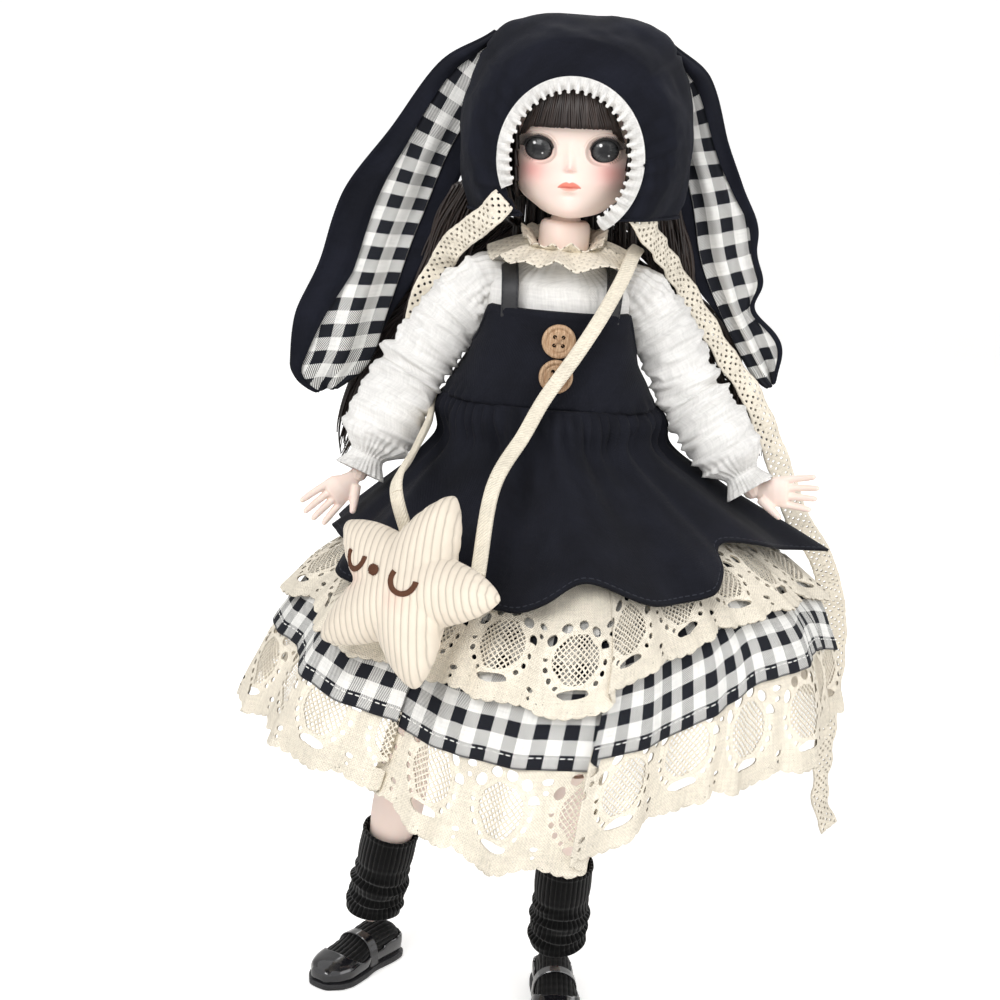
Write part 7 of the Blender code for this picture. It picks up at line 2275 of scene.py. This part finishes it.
def makeButtons():
    for index, name in enumerate(("button_upper", "button_lower")):
        profile = [(0.05, 0), (4.0, 0), (4.7, 0.15), (5.0, 0.6), (5.05, 1.2), (4.85, 1.65), (4.45, 1.85),
                   (4.05, 1.80), (3.75, 1.50), (3.45, 1.26), (3.2, 1.30), (3.0, 1.42), (2.0, 1.30),
                   (0.8, 1.22), (0.05, 1.20)]
        table = np.array(profile)
        fine = np.stack([np.interp(np.linspace(0, len(table) - 1, 57), np.arange(len(table)), table[:, k])
                         for k in (0, 1)], 1)
        around = turnAngles(72)
        front = -21.5 * (0.945 + 0.02 * index) - 0.35
        rows = [[(r * math.cos(a), -h, r * math.sin(a)) for a in around] for r, h in fine]
        body = closedBody(rows)
        mesh = bpy.data.meshes.new(name)
        writeBody(body, mesh)
        obj = newObject(f"wooden_{name}", mesh, [wood])
        holes = bmesh.new()
        for a in (-1, 1):
            for b in (-1, 1):
                spot = Matrix.Translation((a * button["holeAt"], -1,
                                           b * button["holeAt"])) @ Matrix.Rotation(math.pi / 2, 4, "X")
                bmesh.ops.create_cone(holes, segments=20, radius1=button["holeRadius"],
                                      radius2=button["holeRadius"], depth=8, cap_ends=True, matrix=spot)
        cutWith(obj, holes, "button holes")
        z = 189 + button["up"] - button["apart"] * index
        obj.data.transform(Matrix.Translation(at(0, front, z)) @ Matrix.Rotation(0.2 * index, 4,
                "Y") @ Matrix.Scale(mm, 4))
        obj.data.shade_smooth()
        obj.data.set_sharp_from_angle(angle=math.radians(42))
        finishObject(obj, "chest", [name])
        threads = []
        for a, b in (((-1, -1), (1, 1)), ((-1, 1), (1, -1))):
            for shift in (-0.17, 0.17):
                route = []
                for t in np.linspace(0, 1, 9):
                    x = (a[0] + (b[0] - a[0]) * t) * button["holeAt"] + shift * (1 if a[1] * a[0] > 0 else -1)
                    zz = (a[1] + (b[1] - a[1]) * t) * button["holeAt"] + shift
                    route.append(at(x, front - 0.7 - 0.95 * math.sin(math.pi * t) ** 0.5, z + zz))
                threads.append(strand(route, button["thread"], 6, (0, -1, 0), 1.0))
        finishObject(joinMeshes(f"{name}_thread", threads, [tanThread]), "chest", [name])


# a gathered lace frill at the neck: it lies on the shoulders, with a short frill that stands up
def makeCollar():
    count = 620
    angles = np.linspace(0, math.tau, count, endpoint=False) + math.pi / 2
    for name, profile, wave, folds in (("collar_frill",
                                        ((8.3, 246.2), (10.6, 247.0), (14.2, 246.0), (18.6, 244.0),
                                         (22.6, 242.0)), 1.35, 11), ("collar_stand",
            ((8.4, 245.8), (9.4, 247.4), (11.0, 248.8), (13.0, 249.8)), 1.0, 13),):
        t = np.linspace(0, 1, 22)
        keys = np.linspace(0, 1, len(profile))
        radius = hermite(keys, [p[0] for p in profile], t)[:, None]
        height = hermite(keys, [p[1] for p in profile], t)[:, None]
        turn = angles[None] + 0.018 * t[:, None] * np.sin(2 * folds * angles + 3.2 * np.sin(3 * angles))[None]
        front = ease(-0.2, 0.9, -np.sin(angles))[None]  # lower at the throat, where the neck shows
        if name == "collar_stand":
            height = height[0] + (height - height[0]) * (1 - 0.75 * front)
        height = height - 3.6 * front * (1 - 0.55 * t[:, None])
        swing = wave * (t[:, None] ** 1.1) * (np.sin(folds * angles + 1.6 * np.sin(3 * angles))
                                              * (0.8 + 0.4 * np.sin(4 * angles + 1)))[None]
        sag = 0.9 * np.cos(2 * angles)[None] * t[:, None]
        wide = radius * (1 + 0.03 * np.sin(5 * angles)[None])
        rows = np.stack([wide * np.cos(turn), wide * np.sin(turn) * 0.93,
                         height + swing - sag * 0.5 + 0 * wide], -1)
        worldPoints = rows * mm + np.array(dollPlace)
        lengths = arcLengths(worldPoints)
        steps = np.linalg.norm(np.diff(worldPoints, axis=0), axis=2).mean(1)
        down = np.concatenate([[0], np.cumsum(steps)])
        up = down[-1] - down
        uv = np.stack([np.broadcast_to(lengths[-1][None], lengths.shape),
                       np.broadcast_to(up[:, None], lengths.shape)], -1)
        obj = gridObject(name, worldPoints, [collarLace], uv, around=True, wall=0.0004)
        applyAll(obj)
        if name == "collar_frill":
            cutSheet(lengths, down)
        finishObject(obj, "chest", ["collar"])


# Neck: the real one is 15.4 mm across, and this skin goes round the chest's thinner neck, below the head's seat
neck = dict(radius=7.7, foot=9.2, low=239.5, top=252.4)


def makeNeck():
    r, low, top = neck["radius"], neck["low"], neck["top"]
    profile = [(neck["foot"], low, 0), (r + 0.5, low + 2.6, 0), (r, low + 5.0, 0), (r - 0.1, top - 2.6, 0),
               (r - 0.5, top - 0.8, 0), (6.4, top, 0)]
    rows = turnedPoints(profile, 48) + np.array(dollPlace)
    fine = np.stack([hermite(np.arange(len(rows)), rows[:, c, k], np.linspace(0, len(rows) - 1, 40))
                     for c in range(48) for k in range(3)])
    rows = fine.reshape(48, 3, 40).transpose(2, 0, 1)
    obj = gridObject("neck_skin", rows, [vinyl], around=True)
    closeEnds(obj, 48)
    finishObject(obj, "chest", [])


makeNeck()
makeBlouse()
for side in ("right", "left"):
    makeSleeve(side)
makeBib()
makeStraps()
makeButtons()
makeCollar()
print("dress ready")


# Star bag of ribbed cloth with a sleeping face, and its woven strap

star = dict(place=(-38.5, -69, 154.5), radius=29, thick=10, tilt=26, turn=30, spin=12)


def starFrame():
    turn = Matrix.Rotation(math.radians(-star["turn"]), 4,
                           "Z") @ Matrix.Rotation(math.radians(-star["tilt"]), 4, "X")
    spin = Matrix.Rotation(math.radians(star["spin"]), 4, "Y")
    return Matrix.Translation(at(*star["place"])) @ turn @ spin


def starEdge(angles):
    point = np.abs((angles / (math.tau / 5)) % 1 - 0.5) * 2
    point = (1 - np.sqrt((1 - point) ** 2 + 0.006)) / (1 - math.sqrt(0.006))  # rounded tips
    soft = 0.5 * (np.sqrt(point**2 + 0.012) + point) * 0.985
    return 0.555 + 0.44 * np.minimum(soft, 1) ** 1.3


def makeStar():
    count, rings = 200, 26
    angles = turnAngles(count)
    edge = starEdge(angles)
    levels = 1 - np.linspace(0, 1, rings) ** 1.35 * 0.985
    faces = []
    for way in (-1, 1):
        rows = []
        for level in levels:
            radius = star["radius"] * (edge * level * (1 - 0.35 * (1 - level))
                                       + 0.35 * (1 - level) * level * edge.mean())
            puff = (1 - level**2.2) ** 0.62
            high = way * (0.2 + star["thick"] * 0.94 * puff)
            rows.append(np.stack([radius * np.sin(angles), np.full(count, high), radius * np.cos(angles)], 1))
        faces.append(np.array(rows))
    front, back = faces
    rows = np.concatenate([front[::-1], back])
    obj = gridObject("star", rows * mm, [corduroy], around=True)
    closeEnds(obj, count)
    mesh = obj.data
    spots = pointsOf(mesh)
    # puckers where the two faces are sewn together
    x, z = spots[:, 0] / mm, spots[:, 2] / mm
    turn = np.arctan2(x, z)
    rim = np.clip(np.hypot(x, z) / (star["radius"] * starEdge(turn % math.tau)), 0, 1.2)
    pucker = np.sin(turn * 46 + 2 * np.sin(turn * 5)) * np.exp(-((rim - 0.93) / 0.07) ** 2) * 0.28
    spots[:, 1] += np.sign(spots[:, 1]) * pucker * mm
    mesh.vertices.foreach_set("co", spots.ravel())
    paint = np.concatenate([np.tile((0.83, 0.745, 0.63), (len(x), 1)), np.zeros((len(x), 1))], 1)
    inFront = (spots[:, 1] < 0).astype(float)
    for cheek in (-14.6, 3.4):
        blush = np.exp(-((x - cheek - starFace["x"]) / 4.2) ** 2 - ((z - starFace["z"] + 6.6) / 3.0) ** 2)
        paint = over(paint, (0.86, 0.50, 0.42), 0.34 * blush * inFront)
    paintOn(mesh, paint)
    uvLayer = mesh.uv_layers.new(name="cloth")
    index = np.empty(len(mesh.loops), np.int32)
    ribWay = math.cos(math.radians(24)), math.sin(math.radians(24))  # the ribs hang upright
    mesh.loops.foreach_get("vertex_index", index)
    uvLayer.data.foreach_set("uv", np.stack([spots[index, 0] * ribWay[0] + spots[index, 2] * ribWay[1],
                                             spots[index, 2] * ribWay[0] - spots[index, 0] * ribWay[1]],
                                            1).astype(np.float32).ravel())
    frameNow = starFrame()
    front = spots[(spots[:, 1] < 0)]
    mesh.transform(frameNow)
    mesh.shade_smooth()
    finishObject(obj, "star_bag", ["star_bag"])
    return front / mm, frameNow


starFace = dict(x=0.0, z=2.2)


# the star's front surface at a place, in world units
def onStar(front, frameNow, x, z, stand):
    near = np.argsort(np.hypot(front[:, 0] - x, front[:, 2] - z))[:6]
    depth = float(front[near, 1].mean())
    return frameNow @ (Vector((x, depth - stand, z)) * mm)


def makeStarFace(front, frameNow):
    threads = []
    random.seed(5)
    for middle, wide, high in ((-14.6 + starFace["x"], 3.3, 3.9), (3.4 + starFace["x"], 3.8, 4.3)):
        for lineIndex in range(5):
            shift = (lineIndex - 2) * 0.26
            route = []
            for t in np.linspace(-0.08, 1.08, 26):
                angle = math.pi * t
                x = middle - (wide + shift) * math.cos(angle)
                z = starFace["z"] - 0.6 - (high + shift) * math.sin(angle) * 0.92
                route.append(onStar(front, frameNow, x, z,
                                    0.15 + 0.25 * (1 - abs(lineIndex - 2) / 3)
                                    + 0.05 * math.sin(t * 60 + lineIndex)))
            threads.append(strand(route, 0.00030, 6, (0, -1, 0), 0.9))
    middle = -6.6 + starFace["x"]
    for row in range(-3, 4):
        half = 1.7 * math.sqrt(max(0.05, 1 - (row / 3.6) ** 2))
        route = [onStar(front, frameNow, middle + half * t, starFace["z"] - 1.9 + row * 0.42,
                        0.25 + 0.35 * (1 - t * t)) for t in np.linspace(-1, 1, 9)]
        threads.append(strand(route, 0.00030, 6, (0, -1, 0), 0.9))
    finishObject(joinMeshes("star_face", threads, [brownThread]), "star_bag", ["star_bag"])


strapBandShares = ((-0.524, 2.372, -0.210), (-0.270, 1.721, 0.111), (-0.095, 1.326, 0.346),
                   (0.143, 1.228, 0.642), (0.349, 1.140, 0.926), (0.533, 0.860, 1.198),
                   (0.651, 0.326, 1.363), (0.714, -0.349, 1.363), (0.492, -0.921, 1.099),
                   (0.127, -1.163, 0.716), (-0.381, -1.186, 0.395), (-0.857, -1.0, 0.198),
                   (-1.105, -0.186, 0.111), (-1.149, 0.558, 0.037), (-1.270, 1.581, -0.099),
                   (-1.390, 2.400, -0.25),)


bagStrap = dict(width=0.0043, thick=0.0019, waistLow=0.202, waistHigh=0.209)


def makeBagStrap():
    frameNow = starFrame()
    seams = []
    for share in (0.86, 0.11):
        angle = math.tau * share
        reach = star["radius"] * starEdge(np.array([angle]))[0] * 0.93
        seams.append(frameNow @ (Vector((-reach * math.sin(angle), 6.2, reach * math.cos(angle))) * mm))
    way = [at(31.5 * a, -21.5 * b, 189 + 40.5 * c) for a, b, c in strapBandShares]
    route = smoothRoute([seams[0]] + way + [seams[1]], 300)
    middle = np.array(at(0, 0, 197))
    outward = route - middle
    outward[:, 2] = np.maximum(0, outward[:, 2])
    heights = route[:, 2] / mm
    top = int(np.argmax(heights))
    cuts = [0, 14]
    for level in (182, 202):
        cuts.append(max(cuts[-1] + 4, int(np.argmin(np.abs(heights[:top] - level)))))
    for level in (202, 188):
        cuts.append(top + int(np.argmin(np.abs(heights[top:] - level))))
    cuts += [len(route) - 15, len(route) - 1]
    print("strap cuts", cuts, [round(float(heights[c]), 1) for c in cuts])
    spot = {key: tuple(route[c]) for key, c in zip("abcdefgh", cuts)}
    low, high = ((spot["d"][0], spot["d"][1], bagStrap[key]) for key in ("waistLow", "waistHigh"))
    parts = [("bag_end_front", ("star_bag", "pelvis", spot["a"], spot["b"])), ("over_skirt", None),
             ("at_waist_front", ("pelvis", "waist_ball", spot["c"], spot["d"])),
             ("over_shoulder", ("waist_ball", "chest", low, high)),
             ("at_waist_back", ("pelvis", "waist_ball", spot["f"], spot["e"])), ("past_skirt", None),
             ("bag_end_side", ("star_bag", "pelvis", spot["h"], spot["g"])),]
    steps = stepsOf(route)
    for (label, blend), first, last in zip(parts, cuts, cuts[1:]):
        rows = slice(first, last + 1)
        obj = flatBand(f"strap_{label}", route[rows], outward[rows], bagStrap["width"], bagStrap["thick"],
                       webbing)
        layer = obj.data.uv_layers.active
        values = np.empty(len(layer.data) * 2, np.float32)
        layer.data.foreach_get("uv", values)
        values[1::2] += float(steps[first])  # the weave runs on from one stretch to the next
        layer.data.foreach_set("uv", values)
        finishObject(obj, None if blend else "pelvis", ["bag_strap"], blend)
    print("strap length", round(float(steps[-1]), 3), "m")


brownThread = wovenMaterial("brown embroidery", (0.115, 0.050, 0.030), 0.75, 0.0005)
makeStarFace(*makeStar())
makeBagStrap()
keepCad(["pelvis", "chest", "head_cap"], vinyl)
keepCad(["waist_ball", "neck_ball"] + [f"{part}_{side}" for side in ("right", "left")
                                       for part in ("shoulder_joint", "elbow_joint", "wrist_ball",
                                                    "hip_joint", "knee_joint", "ankle_ball")], jointPlastic)
print("bag and body ready")
